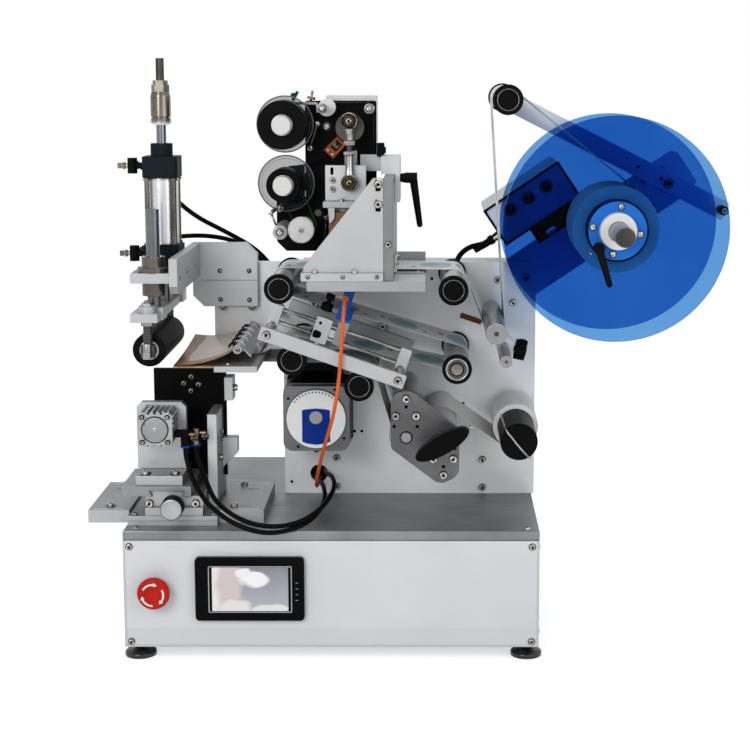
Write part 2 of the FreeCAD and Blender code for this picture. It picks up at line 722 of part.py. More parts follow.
def leveling_feet():
    """Four turned feet with their studs in the cabinet floor."""
    feet = []
    for x in (FOOT_INSET_X, BASE_LENGTH - FOOT_INSET_X):
        for y in (FOOT_INSET_Y, BASE_DEPTH - FOOT_INSET_Y):
            feet.append(turned_z(x, y, [(0, 0), (FOOT_RADIUS, 0), (FOOT_RADIUS, 5),
                                        (FOOT_RADIUS - 3, 8), (FOOT_STUD_RADIUS + 3, 10),
                                        (FOOT_STUD_RADIUS, 12), (FOOT_STUD_RADIUS, FOOT_HEIGHT),
                                        (0, FOOT_HEIGHT)]))
    return feet


def touch_panel():
    """Bezel with a sunk screen, its housing through the cover."""
    x, z = SCREEN_CENTRE
    w, h = BEZEL_SIZE[0] / 2, BEZEL_SIZE[1] / 2
    front = -SHEET - BEZEL_THICKNESS
    bezel = plate_y([(x - w, z - h), (x + w, z - h), (x + w, z + h), (x - w, z + h)],
                    front, -SHEET, BEZEL_CORNER)
    sw, sh = SCREEN_SIZE[0] / 2, SCREEN_SIZE[1] / 2
    bezel = bezel.cut(box(x - sw + SCREEN_SHIFT, x + sw + SCREEN_SHIFT, front - 1,
                          front + SCREEN_RECESS, z - sh, z + sh))
    bw, bh = SCREEN_BODY_SIZE[0] / 2, SCREEN_BODY_SIZE[1] / 2
    return [bezel.fuse(box(x - bw, x + bw, -SHEET, SCREEN_BODY_DEPTH, z - bh, z + bh))]


def stop_socket():
    """Fixed ring and contact block of the stop button, bored for its stem."""
    front = -SHEET - STOP_SOCKET_THICKNESS
    bore = STOP_STEM_RADIUS + RUNNING
    return [turned_y(STOP_CENTRE, [(bore, front), (STOP_SOCKET_RADIUS, front),
                                   (STOP_SOCKET_RADIUS, -SHEET), (STOP_BODY_RADIUS, -SHEET),
                                   (STOP_BODY_RADIUS, STOP_BODY_DEPTH), (0, STOP_BODY_DEPTH),
                                   (0, STOP_BODY_DEPTH / 2), (bore, STOP_BODY_DEPTH / 2)])]


def stop_button():
    """Mushroom head on a stem, one travel clear of its socket."""
    back = -SHEET - STOP_SOCKET_THICKNESS - STOP_TRAVEL - 1.0
    front = back - STOP_HEAD_THICKNESS
    r = STOP_HEAD_RADIUS
    return [turned_y(STOP_CENTRE, [(0, front), (r * 0.72, front + 0.5), (r * 0.93, front + 3),
                                   (r, front + 7), (r * 0.9, back), (STOP_STEM_RADIUS, back),
                                   (STOP_STEM_RADIUS, 2.0), (0, 2.0)])]


def main_panel():
    panel = plate_y(PANEL_WING, PANEL_FRONT, PANEL_BACK)
    holes = [(CABLE_HOLE, CABLE_HOLE_RADIUS), (TRACTION_AXIS, TRACTION_SHAFT_RADIUS + RUNNING),
             (LEVER_AXIS, LEVER_SHAFT_RADIUS + RUNNING), (REWIND_AXIS, MANDREL_SHAFT_RADIUS + RUNNING),
             (MOTOR_AXIS, MOTOR_SHAFT_RADIUS + RUNNING)]
    for centre, radius in holes:
        panel = panel.cut(rod_y(centre, radius, PANEL_FRONT - 1, PANEL_BACK + 1))
    return [panel]


def drive_housing():
    """Sheet walls and lid over the drive behind the panel, open towards the panel."""
    top = PANEL_TOP - HOUSING_TOP_DROP
    back = PANEL_BACK + HOUSING_DEPTH
    end = PANEL_RIGHT - HOUSING_SHEET
    s = HOUSING_SHEET
    left = box(HOUSING_LEFT, HOUSING_LEFT + s, PANEL_BACK, back, DECK, top - s)
    right = box(end - s, end, PANEL_BACK, back, DECK, top - s)
    rear = box(HOUSING_LEFT + s, end - s, back - s, back, DECK, top - s)
    lid = box(HOUSING_LEFT, end, PANEL_BACK, back, top - s, top)
    for route in (REAR_TUBE_1, REAR_TUBE_2):
        x, y, z = route[-1]
        left = left.cut(rod_x(y, z, TUBE_RADIUS + GROMMET_GAP, HOUSING_LEFT - 1, HOUSING_LEFT + s + 1))
    x, y, z = CONTROL_CORD[-1]
    lid = lid.cut(rod_z(x, y, CONTROL_CORD_RADIUS + 2 * GROMMET_GAP, top - s - 1, top + 1))
    slot = tilted_bar(REEL_AXIS, REEL_TILT, -SUPPORT_BEFORE_AXIS - SLIDE_GAP, 0,
                      -SUPPORT_WIDTH / 2 - SLIDE_GAP, SUPPORT_WIDTH / 2 + SLIDE_GAP,
                      PANEL_BACK - 1, PANEL_BACK + SUPPORT_THICKNESS + SLIDE_GAP)
    return [left, right.cut(slot), rear, lid.cut(slot)]


def drive_belts():
    """Flat belts behind the panel, from the motor to the traction roller and on to the rewind."""
    first = REEL_PULLEY_Y
    second = first + PULLEY_WIDTH / 2
    half = PULLEY_WIDTH / 2 - 2
    t = BELT_THICKNESS
    belts = []
    for y, a, ra, b, rb in (
            (first, MOTOR_AXIS, MOTOR_PULLEY_RADIUS, TRACTION_AXIS, PULLEY_RADIUS),
            (second, TRACTION_AXIS, PULLEY_RADIUS, REWIND_AXIS, REWIND_PULLEY_RADIUS)):
        y0, y1 = y + 1, y + 1 + half
        ra, rb = ra + SLIDE_GAP + t / 2, rb + SLIDE_GAP + t / 2
        loop = [(a[0], a[1], ra, 1), (b[0], b[1], rb, 1), (a[0], a[1], ra, 1), (b[0], b[1], rb, 1)]
        belts.append(band(loop, t, y0, y1))
    return belts


def idler(name):
    """A turned tube with two flanges, open at the back for its fixed shaft."""
    bore = ROLLER_SHAFT_RADIUS + RUNNING
    f = FLANGE_THICKNESS
    front, back = ROLLER_FRONT, ROLLER_BACK
    closed = [(0, front), (FLANGE_RADIUS, front), (FLANGE_RADIUS, front + f),
              (ROLLER_BODY_RADIUS, front + f), (ROLLER_BODY_RADIUS, back - f),
              (FLANGE_RADIUS, back - f), (FLANGE_RADIUS, back), (bore, back),
              (bore, front + f), (0, front + f)]
    roller = turned_y(ROLLER_AXES[name], closed)
    if name != "guide_roller_3":
        return [roller]
    cup = rod_y(ROLLER_AXES[name], FLANGE_RADIUS - 5, front - 1, front + f + 1)
    bearing = ring_y(ROLLER_AXES[name], FLANGE_RADIUS - 5, bore, front + 1.5, front + f + 1)
    return [roller.cut(cup), bearing]


def panel_shafts():
    """Fixed shafts of the idlers, the brake bar and the small bar with its web collar."""
    shafts = []
    for name, axis in ROLLER_AXES.items():
        seat = PANEL_FRONT if name != "guide_roller_6" else PANEL_BACK - ARM_THICKNESS
        shafts.append(rod_y(axis, ROLLER_SHAFT_RADIUS, ROLLER_FRONT + FLANGE_THICKNESS + 1, seat))
    shafts.append(rod_y(BRAKE_BAR, BRAKE_BAR_RADIUS, BAR_FRONT, PANEL_FRONT))
    small = rod_y(SMALL_BAR, SMALL_BAR_RADIUS, BAR_FRONT, PANEL_FRONT)
    collar = ring_y(SMALL_BAR, COLLAR_RADIUS, SMALL_BAR_RADIUS, COLLAR_FRONT, COLLAR_FRONT + COLLAR_WIDTH)
    knob_y = COLLAR_FRONT + COLLAR_WIDTH / 2
    reach = COLLAR_RADIUS + 5
    tap = Part.makeCylinder(STAR_KNOB_NECK + RUNNING, reach, V(SMALL_BAR[0], knob_y, SMALL_BAR[1]),
                            V(cos(radians(STAR_KNOB_TILT)), 0, -sin(radians(STAR_KNOB_TILT))))
    tap = tap.cut(rod_y(SMALL_BAR, SMALL_BAR_RADIUS, COLLAR_FRONT, COLLAR_FRONT + COLLAR_WIDTH))
    return shafts + [small, collar.cut(tap)]


def star_knob():
    """Five-lobed clamp knob of the web collar, on its screw."""
    knob_y = COLLAR_FRONT + COLLAR_WIDTH / 2
    start = SMALL_BAR_RADIUS + SLIDE_GAP
    seat = COLLAR_RADIUS + 2
    r = STAR_KNOB_RADIUS
    body = Part.makeCylinder(r, STAR_KNOB_LENGTH, V(seat, 0, 0), V(1, 0, 0))
    for i in range(5):
        a = 2 * pi * i / 5
        notch = Part.makeCylinder(r * 0.35, STAR_KNOB_LENGTH + 2,
                                  V(seat - 1, r * 1.12 * cos(a), r * 1.12 * sin(a)), V(1, 0, 0))
        body = body.cut(notch)
    knob = body.fuse(Part.makeCylinder(STAR_KNOB_NECK, seat - start + 1, V(start, 0, 0), V(1, 0, 0)))
    knob.translate(V(SMALL_BAR[0], knob_y, SMALL_BAR[1]))
    return [turn_y(knob, SMALL_BAR, -STAR_KNOB_TILT)]


def bearing_plate():
    """Front bearing plate of the traction and pinch rollers, on two posts."""
    back = BEARING_PLATE_FRONT + BEARING_PLATE_THICKNESS
    ux, uz = POST_UPPER
    lx, lz = POST_LOWER
    r = PLATE_LOBE
    outline = [(ux - r, uz + r + 3, r * 0.8), (ux + r * 0.4, uz + r + 3, r * 0.8),
               (lx + r, uz - 24, 14), (lx + r, lz - r + 6, r * 0.8), (lx - 4, lz - r - 6, r * 0.8),
               (ux - r, PINCH_AXIS[1] - 14, 8)]
    plate = plate_y(outline, BEARING_PLATE_FRONT, back)
    plate = plate.cut(rod_y(TRACTION_AXIS, TRACTION_SHAFT_RADIUS + RUNNING, BEARING_PLATE_FRONT - 1, back + 1))
    plate = plate.cut(rod_y(LEVER_AXIS, LEVER_SHAFT_RADIUS + RUNNING, BEARING_PLATE_FRONT - 1, back + 1))
    posts = [rod_y(p, POST_RADIUS, back, PANEL_FRONT) for p in (POST_UPPER, POST_LOWER)]
    return [plate] + posts


def pulley(centre, radius, y0, width):
    rim = radius + 2
    return turned_y(centre, [(0, y0), (rim, y0), (rim, y0 + 1), (radius, y0 + 1),
                             (radius, y0 + width - 1), (rim, y0 + width - 1), (rim, y0 + width),
                             (0, y0 + width)])


def traction_roller():
    """Rubber roller with its shaft through the plate and the panel to a pulley."""
    roll = rod_y(TRACTION_AXIS, TRACTION_RADIUS, ROLL_PAIR_FRONT, ROLL_PAIR_BACK)
    shaft = rod_y(TRACTION_AXIS, TRACTION_SHAFT_RADIUS, BEARING_PLATE_FRONT - 2, REEL_PULLEY_Y + 1)
    wheel = pulley(TRACTION_AXIS, PULLEY_RADIUS, REEL_PULLEY_Y, PULLEY_WIDTH)
    return [roll.fuse(shaft).fuse(wheel)]


def pinch_lever():
    """Eccentric journal that carries the pinch roller, turned by an oval handle."""
    journal = ROLLER_SHAFT_RADIUS
    plate_back = BEARING_PLATE_FRONT + BEARING_PLATE_THICKNESS
    shaft = rod_y(LEVER_AXIS, LEVER_SHAFT_RADIUS, HANDLE_BACK - 2, plate_back + 1)
    shaft = shaft.fuse(rod_y(PINCH_AXIS, journal, plate_back, PANEL_FRONT))
    shaft = shaft.fuse(rod_y(LEVER_AXIS, LEVER_SHAFT_RADIUS, PANEL_FRONT - 3, PANEL_BACK))
    a, b, c = HANDLE_HALF_LENGTH, HANDLE_HALF_WIDTH, HANDLE_THICKNESS / 2
    outline = Part.Ellipse(V(0, 0, 0), a, b).toShape()
    outline.rotate(V(0, 0, 0), V(1, 0, 0), 90)
    handle = Part.Face(Part.Wire(outline)).extrude(V(0, HANDLE_THICKNESS, 0))
    ball = Part.makeSphere(1.0)
    stretch = FreeCAD.Matrix()
    stretch.scale(a * 1.08, c * 1.45, b * 1.3)
    ball = ball.transformGeometry(stretch)
    ball.translate(V(0, c, 0))
    handle = handle.common(ball)
    handle.translate(V(LEVER_AXIS[0], HANDLE_BACK - HANDLE_THICKNESS, LEVER_AXIS[1]))
    handle = turn_y(handle, LEVER_AXIS, HANDLE_TILT)
    return [shaft.fuse(handle)]


def pinch_roller():
    bore = ROLLER_SHAFT_RADIUS + RUNNING
    return [ring_y(PINCH_AXIS, PINCH_RADIUS, bore, ROLL_PAIR_FRONT, ROLL_PAIR_BACK)]


def rewind_mandrel():
    """Mandrel with its paper clip groove, shaft, pulley and the wound backing paper."""
    r = MANDREL_RADIUS
    back = PANEL_FRONT - 2
    mandrel = rod_y(REWIND_AXIS, r, MANDREL_FRONT, back)
    shaft = rod_y(REWIND_AXIS, MANDREL_SHAFT_RADIUS, back, REEL_PULLEY_Y + PULLEY_WIDTH / 2)
    wheel = pulley(REWIND_AXIS, REWIND_PULLEY_RADIUS, REEL_PULLEY_Y + PULLEY_WIDTH / 2, PULLEY_WIDTH / 2)
    paper = ring_y(REWIND_AXIS, PAPER_ROLL_RADIUS, r, WEB_FRONT, WEB_FRONT + WEB_WIDTH)
    return [mandrel.fuse(shaft).fuse(wheel), paper]


def stepper_motor():
    """Square stepper motor on the panel, its end cover and a black bracket above."""
    x, z = MOTOR_AXIS
    h = MOTOR_SIZE / 2
    square = [(x - h, z - h), (x + h, z - h), (x + h, z + h), (x - h, z + h)]
    body = plate_y(square, MOTOR_FRONT + MOTOR_CAP, PANEL_FRONT - MOTOR_FLANGE, MOTOR_CORNER)
    cap = plate_y([along((x, z), 0, sx * (h - 1), sz * (h - 1))
                   for sx, sz in ((-1, -1), (1, -1), (1, 1), (-1, 1))],
                  MOTOR_FRONT, MOTOR_FRONT + MOTOR_CAP, MOTOR_CORNER)
    flange = plate_y(square, PANEL_FRONT - MOTOR_FLANGE, PANEL_FRONT, MOTOR_CORNER / 3)
    cover = rod_y(MOTOR_AXIS, MOTOR_COVER_RADIUS, MOTOR_FRONT - MOTOR_COVER_THICKNESS, MOTOR_FRONT)
    w, t, gap = MOTOR_BRACKET
    bracket = box(x - w / 2, x + w / 2, PANEL_FRONT - 50, PANEL_FRONT, z + h, z + h + t)
    bracket = bracket.cut(box(x - w / 2 + gap, x + w / 2 - gap, PANEL_FRONT - 51, PANEL_FRONT - 8,
                              z + h - 1, z + h + t - 6))
    body = body.fuse(cap).fuse(flange)
    bore = rod_y(MOTOR_AXIS, MOTOR_SHAFT_RADIUS + RUNNING, PANEL_FRONT - MOTOR_SHAFT_REACH, PANEL_FRONT + 1)
    return [body.cut(bore), cover, bracket]


def motor_pulley():
    shaft = rod_y(MOTOR_AXIS, MOTOR_SHAFT_RADIUS, PANEL_FRONT - MOTOR_SHAFT_REACH + 1, REEL_PULLEY_Y + 1)
    return [shaft.fuse(pulley(MOTOR_AXIS, MOTOR_PULLEY_RADIUS, REEL_PULLEY_Y, PULLEY_WIDTH / 2))]


def reel_discs():
    discs = []
    for front in (DISC_FRONT, DISC_BACK - DISC_THICKNESS):
        discs.append(ring_y(REEL_AXIS, DISC_RADIUS, CORE_RADIUS - 8, front, front + DISC_THICKNESS))
    return discs


def reel_hub():
    """Core drum between the discs with its clamp ring and front boss."""
    bore = SPINDLE_RADIUS + RUNNING
    ring_front = DISC_FRONT - HUB_RING_THICKNESS
    boss_front = ring_front - HUB_BOSS_LENGTH
    neck = CORE_RADIUS - 8
    inner = DISC_FRONT + DISC_THICKNESS
    hub = turned_y(REEL_AXIS, [
        (bore, boss_front), (HUB_BOSS_RADIUS, boss_front), (HUB_BOSS_RADIUS, ring_front),
        (CORE_RADIUS - 2, ring_front), (CORE_RADIUS, ring_front + 2), (CORE_RADIUS, DISC_FRONT),
        (neck, DISC_FRONT), (neck, inner), (CORE_RADIUS, inner),
        (CORE_RADIUS, DISC_BACK - DISC_THICKNESS), (neck, DISC_BACK - DISC_THICKNESS),
        (neck, DISC_BACK), (neck + 4, DISC_BACK), (neck + 4, DISC_BACK + 6), (bore, DISC_BACK + 6)])
    centre = along(REEL_AXIS, REEL_LEVER_ANGLE, REEL_LEVER_OFFSET, 0)
    return [hub.cut(rod_y(centre, 3 + RUNNING, ring_front - 1, ring_front + 8))]


def label_roll():
    inner = DISC_FRONT + DISC_THICKNESS
    return [ring_y(REEL_AXIS, LABEL_ROLL_RADIUS, CORE_RADIUS, inner + 0.5, DISC_BACK - DISC_THICKNESS - 0.5)]


def clamp_lever(length, lean):
    """Ratchet clamp lever about the Y axis, hub from y 0 forwards, arm hanging down."""
    hub = turned_y((0, 0), [(0, 0), (LEVER_HUB_RADIUS - 1.5, 0), (LEVER_HUB_RADIUS, -8),
                            (LEVER_HUB_RADIUS, -LEVER_HUB_LENGTH), (0, -LEVER_HUB_LENGTH)])
    arm = Part.makeCone(LEVER_ARM_START, LEVER_ARM_END, length, V(0, 0, 0), V(0, 0, -1))
    arm = arm.fuse(Part.makeSphere(LEVER_ARM_END, V(0, 0, -length)))
    arm.rotate(V(0, 0, 0), V(1, 0, 0), -lean)
    arm.translate(V(0, LEVER_ARM_START - LEVER_HUB_LENGTH, 0))
    return hub.fuse(arm)


def reel_clamp_lever():
    x, z = along(REEL_AXIS, REEL_LEVER_ANGLE, REEL_LEVER_OFFSET, 0)
    front = DISC_FRONT - HUB_RING_THICKNESS
    lever = clamp_lever(LEVER_ARM_LENGTH, CODER_LEVER_LEAN)
    lever = lever.fuse(rod_y((0, 0), 3, -1, 7))
    lever = turn_y(lever, (0, 0), REEL_LEVER_HANG + 90)
    lever.translate(V(x, front - SLIDE_GAP, z))
    return [lever]


def reel_support():
    """Tilted bar behind the panel and the reel's spindle."""
    c, t = SUPPORT_END_CHAMFER
    a, b, h = -SUPPORT_BEFORE_AXIS, SUPPORT_AFTER_AXIS, SUPPORT_WIDTH / 2
    corners = [(a, -h), (b - t, -h), (b, -h + c), (b, h - c), (b - c, h), (a, h)]
    bar = plate_y([along(REEL_AXIS, REEL_TILT, u, v) for u, v in corners],
                  PANEL_BACK, PANEL_BACK + SUPPORT_THICKNESS)
    spindle = rod_y(REEL_AXIS, SPINDLE_RADIUS, SPINDLE_FRONT, PANEL_BACK)
    return [bar, spindle]


def guide_arm():
    """Straight arm from the top idler to the reel's far side, with its end stop."""
    tilt = degrees(atan2(ARM_RIGHT[1] - ARM_LEFT[1], ARM_RIGHT[0] - ARM_LEFT[0]))
    span = hypot(ARM_RIGHT[0] - ARM_LEFT[0], ARM_RIGHT[1] - ARM_LEFT[1])
    h = ARM_WIDTH / 2
    front = PANEL_BACK - ARM_THICKNESS
    arm = plate_y([(*along(ARM_LEFT, tilt, -h, -h), h * 0.98), (*along(ARM_LEFT, tilt, span + 8, -h), 2),
                   (*along(ARM_LEFT, tilt, span + 8, h), 2), (*along(ARM_LEFT, tilt, -h, h), h * 0.98)],
                  front, PANEL_BACK)
    stop = rod_y(ARM_RIGHT, ARM_STOP_RADIUS, front - ARM_STOP_LENGTH, front)
    return [arm, stop]


def control_box():
    """Control box with a front rim and a slotted flange on the support bar."""
    back = BOX_FRONT + BOX_DEPTH
    outer = tilted_bar(BOX_CORNER, REEL_TILT, 0, BOX_LENGTH, 0, BOX_HEIGHT, BOX_FRONT, back, 4)
    face = tilted_bar(BOX_CORNER, REEL_TILT, BOX_RIM, BOX_LENGTH - BOX_RIM, BOX_RIM, BOX_HEIGHT - BOX_RIM,
                      BOX_FRONT - 1, BOX_FRONT + 2, 3)
    shell = outer.cut(face)
    drop, length, thick = BOX_FLANGE
    flange = tilted_bar(BOX_CORNER, REEL_TILT, BOX_LENGTH - length, BOX_LENGTH, -drop, 2,
                        PANEL_BACK - thick, PANEL_BACK)
    for u in (BOX_LENGTH - length + 16, BOX_LENGTH - 28):
        slot = tilted_bar(BOX_CORNER, REEL_TILT, u, u + SLOT_LENGTH, 3 - drop, 3 - drop + 2 * SLOT_RADIUS,
                          PANEL_BACK - thick - 1, PANEL_BACK + 1, SLOT_RADIUS * 0.98)
        flange = flange.cut(slot)
    for i in range(3):
        centre = along(BOX_CORNER, REEL_TILT, BOX_KNOB_FIRST + i * BOX_KNOB_PITCH, BOX_KNOB_HEIGHT)
        shell = shell.cut(rod_y(centre, 3 + RUNNING, BOX_FRONT, BOX_FRONT + 14))
    gland_at = along(BOX_CORNER, REEL_TILT, 0, 14)
    gland = Part.makeCone(6, 4.5, 12, V(gland_at[0], 220, gland_at[1]),
                          V(-cos(radians(REEL_TILT)), 0, -sin(radians(REEL_TILT))))
    return [shell.fuse(flange), gland]


def control_cord_start():
    """The first two points of the control box's cord, in line with its gland."""
    gland = along(BOX_CORNER, REEL_TILT, 0, 14)
    return [(x, 220.0, z) for x, z in (along(gland, REEL_TILT, -12, 0), along(gland, REEL_TILT, -22, 0))]


def control_knob(index):
    x, z = along(BOX_CORNER, REEL_TILT, BOX_KNOB_FIRST + index * BOX_KNOB_PITCH, BOX_KNOB_HEIGHT)
    r, n = BOX_KNOB_RADIUS, BOX_KNOB_LENGTH
    back = BOX_FRONT + 2 - SLIDE_GAP
    knob = turned_y((x, z), [(0, back - n), (r - 1, back - n), (r - 0.6, back - 3), (r, back - 3),
                             (r, back), (3, back), (3, back + 12), (0, back + 12)])
    pointer = box(x - 0.6, x + 0.6, back - n - 0.4, back - 4, z, z + r - 1)
    return [knob.fuse(pointer)]


def press_arm():
    """Bracket plate on the panel, side arm and cylinder plate, with the rods' bushings."""
    x0, x1, z0, z1 = BRACKET_PLATE
    c = BRACKET_CHAMFER
    arm_right = x0 + ARM_PLATE_THICKNESS
    plate = plate_y([(x0, z0 + c), (x0 + c, z0), (x1, z0), (x1, z1 - c), (x1 - c, z1), (x0, z1)],
                    PANEL_FRONT - BRACKET_PLATE_THICKNESS, PANEL_FRONT)
    arm_back = PANEL_FRONT - BRACKET_PLATE_THICKNESS
    low = ARM_PLATE_BOTTOM
    arm = plate_x([(ARM_PLATE_FRONT + 10, low), (arm_back, low), (arm_back, z1),
                   (ARM_PLATE_FRONT, z1), (ARM_PLATE_FRONT, low + 10)], x0, arm_right)
    table = box(CYL_PLATE_LEFT, x0, CYL_PLATE_FRONT, arm_back, CYL_PLATE_TOP - CYL_PLATE_THICKNESS,
                CYL_PLATE_TOP)
    table = table.cut(rod_z(PRESS_X, PRESS_Y, PISTON_ROD_RADIUS + 4, 0, 2 * CYL_PLATE_TOP))
    pieces = [plate, arm]
    bushings = []
    for y in GUIDE_ROD_YS:
        table = table.cut(rod_z(PRESS_X, y, BUSHING_RADIUS, 0, 2 * CYL_PLATE_TOP))
        bore, r = GUIDE_ROD_RADIUS + RUNNING, BUSHING_RADIUS
        top = CYL_PLATE_TOP
        low = top - CYL_PLATE_THICKNESS - BUSHING_DROP
        rim = top + BUSHING_FLANGE_THICKNESS
        bushings.append(turned_z(PRESS_X, y, [
            (bore, low), (r, low), (r, top), (BUSHING_FLANGE_RADIUS, top), (BUSHING_FLANGE_RADIUS, rim),
            (r, rim), (r, top + BUSHING_RISE), (bore, top + BUSHING_RISE)]))
    return pieces + [table] + bushings


def flow_control(side_x, y, z, way):
    """Elbow flow control beside a port: body, stem into the port, tip screw, tube socket."""
    x = side_x + way * FITTING_REACH
    body = rod_z(x, y, FITTING_RADIUS, z - FITTING_HEIGHT / 2, z + FITTING_HEIGHT / 2)
    ends = sorted((side_x, x))
    stem = rod_x(y, z, FITTING_STEM_RADIUS, ends[0], ends[1])
    tips = sorted((x, x + way * (FITTING_RADIUS + FITTING_TIP_LENGTH)))
    tip = rod_x(y, z, FITTING_TIP_RADIUS, tips[0], tips[1])
    return body.fuse(stem).fuse(tip)


def press_cylinder():
    """Square caps, tube, tie rods, front boss and the two flow controls of the cylinder."""
    h = CYL_CAP_SIZE / 2
    bore = PISTON_ROD_RADIUS + RUNNING
    low_top = CYL_PLATE_TOP + CYL_CAP_HEIGHT
    high = low_top + CYL_TUBE_LENGTH
    caps = []
    for z0 in (CYL_PLATE_TOP, high):
        cap = box(PRESS_X - h, PRESS_X + h, PRESS_Y - h, PRESS_Y + h, z0, z0 + CYL_CAP_HEIGHT)
        cap = cap.makeChamfer(3.0, [e for e in cap.Edges if abs(e.tangentAt(e.FirstParameter).z) > 0.9])
        caps.append(cap.cut(rod_z(PRESS_X, PRESS_Y, bore, z0 - 1, z0 + CYL_CAP_HEIGHT + 1)))
    boss = rod_z(PRESS_X, PRESS_Y, CYL_BOSS_RADIUS, CYL_CAP_TOP, CYL_BOSS_TOP)
    boss = boss.cut(rod_z(PRESS_X, PRESS_Y, bore, CYL_CAP_TOP - 1, CYL_BOSS_TOP + 1))
    tube = rod_z(PRESS_X, PRESS_Y, CYL_BORE / 2 + CYL_TUBE_WALL, low_top, high)
    tube = tube.cut(rod_z(PRESS_X, PRESS_Y, CYL_BORE / 2, low_top - 1, high + 1))
    pieces = caps + [boss, tube]
    inset = h - TIE_ROD_INSET + 1
    for sx in (-1, 1):
        for sy in (-1, 1):
            pieces.append(rod_z(PRESS_X + sx * inset, PRESS_Y + sy * inset, TIE_ROD_RADIUS, low_top, high))
    for z0 in (CYL_PLATE_TOP, high):
        z = z0 + CYL_CAP_HEIGHT / 2 + 1
        fitting = flow_control(PRESS_X - h, PRESS_Y, z, -1)
        port = rod_y((PRESS_X - h - FITTING_REACH, z), FITTING_PORT_RADIUS, PRESS_Y,
                     PRESS_Y + FITTING_RADIUS + FITTING_PORT_LENGTH + 2)
        pieces.append(fitting.fuse(port))
    return pieces


def press_yoke():
    """Yoke bar with guide rods, hangers of the roller, piston rod and stroke adjuster."""
    w, length, rise = YOKE_BLOCK
    bar = box(YOKE_LEFT, YOKE_RIGHT, YOKE_FRONT, YOKE_BACK, YOKE_BOTTOM, YOKE_TOP)
    for y in GUIDE_ROD_YS:
        bar = bar.fuse(box(YOKE_RIGHT + 3 - w, YOKE_RIGHT + 3, y - length / 2, y + length / 2,
                           YOKE_BOTTOM, YOKE_TOP + rise))
    rods = [rod_z(PRESS_X, y, GUIDE_ROD_RADIUS, YOKE_BOTTOM, GUIDE_ROD_TOP) for y in GUIDE_ROD_YS]
    piston = rod_z(PRESS_X, PRESS_Y, PISTON_ROD_RADIUS, YOKE_BOTTOM, CYL_BOSS_TOP + STROKE_GAP + 2)
    high = CYL_PLATE_TOP + CYL_CAP_HEIGHT + CYL_TUBE_LENGTH
    piston = piston.fuse(rod_z(PRESS_X, PRESS_Y, CYL_BORE / 2 - RUNNING, high - PISTON_THICKNESS - 4, high - 4))
    for rod in rods + [piston]:
        bar = bar.cut(rod)
    base = CYL_BOSS_TOP + STROKE_GAP
    r = ADJUSTER_RADIUS
    top = base + ADJUSTER_HEIGHT
    adjuster = turned_z(PRESS_X, PRESS_Y, [
        (0, base), (r - 1.5, base), (r, base + 6), (r, base + 7), (r - 1, base + 8), (r - 1, base + 9),
        (r, base + 10), (r, top - 6), (r - 1.5, top), (0, top)])
    hexes = hexagon_z(PRESS_X, PRESS_Y, ADJUSTER_HEX, top, top + ADJUSTER_HEX_HEIGHT)
    hexes = hexes.fuse(hexagon_z(PRESS_X, PRESS_Y, ADJUSTER_HEX * 0.84, top + ADJUSTER_HEX_HEIGHT,
                                 top + ADJUSTER_HEX_HEIGHT * 1.6))
    stud = rod_z(PRESS_X, PRESS_Y, STUD_RADIUS, top, PRESS_TOP)
    piston = piston.fuse(adjuster).fuse(hexes).fuse(stud)
    pieces = rods + [piston]
    x, z = PRESS_ROLLER_AXIS
    ew, ed, eh = HANGER_EYE
    shaft = rod_y(PRESS_ROLLER_AXIS, PRESS_SHAFT_RADIUS, PRESS_ROLLER_FRONT - HANGER_GAP - ed,
                  PRESS_ROLLER_BACK + HANGER_GAP + ed)
    top = YOKE_TOP + HANGER_SCREW_RISE
    for y in (PRESS_ROLLER_FRONT - HANGER_GAP - ed / 2, PRESS_ROLLER_BACK + HANGER_GAP + ed / 2):
        hanger = rod_z(x, y, HANGER_RADIUS, z, top)
        hanger = hanger.fuse(box(x - ew / 2, x + ew / 2, y - ed / 2, y + ed / 2, z - eh / 2, z + eh / 2))
        hanger = hanger.fuse(rod_z(x, y, HANGER_NUT_RADIUS, YOKE_TOP, YOKE_TOP + HANGER_NUT_HEIGHT))
        hanger = hanger.fuse(rod_z(x, y, HANGER_NUT_RADIUS * 0.8, YOKE_BOTTOM - 5, YOKE_BOTTOM))
        bar = bar.cut(hanger)
        pieces.append(hanger.cut(shaft))
    return [bar, shaft] + pieces


def press_roller():
    return [ring_y(PRESS_ROLLER_AXIS, PRESS_ROLLER_RADIUS, PRESS_SHAFT_RADIUS + RUNNING,
                   PRESS_ROLLER_FRONT, PRESS_ROLLER_BACK)]


def slide_rail_outline(width, height, flare, base):
    """Trapezium of a dovetail, narrow at its foot."""
    x = (BLOCK_LEFT + BLOCK_RIGHT) / 2 - 8
    w = width / 2
    return [(x - w, base), (x + w, base), (x + w + flare, base + height), (x - w - flare, base + height)]


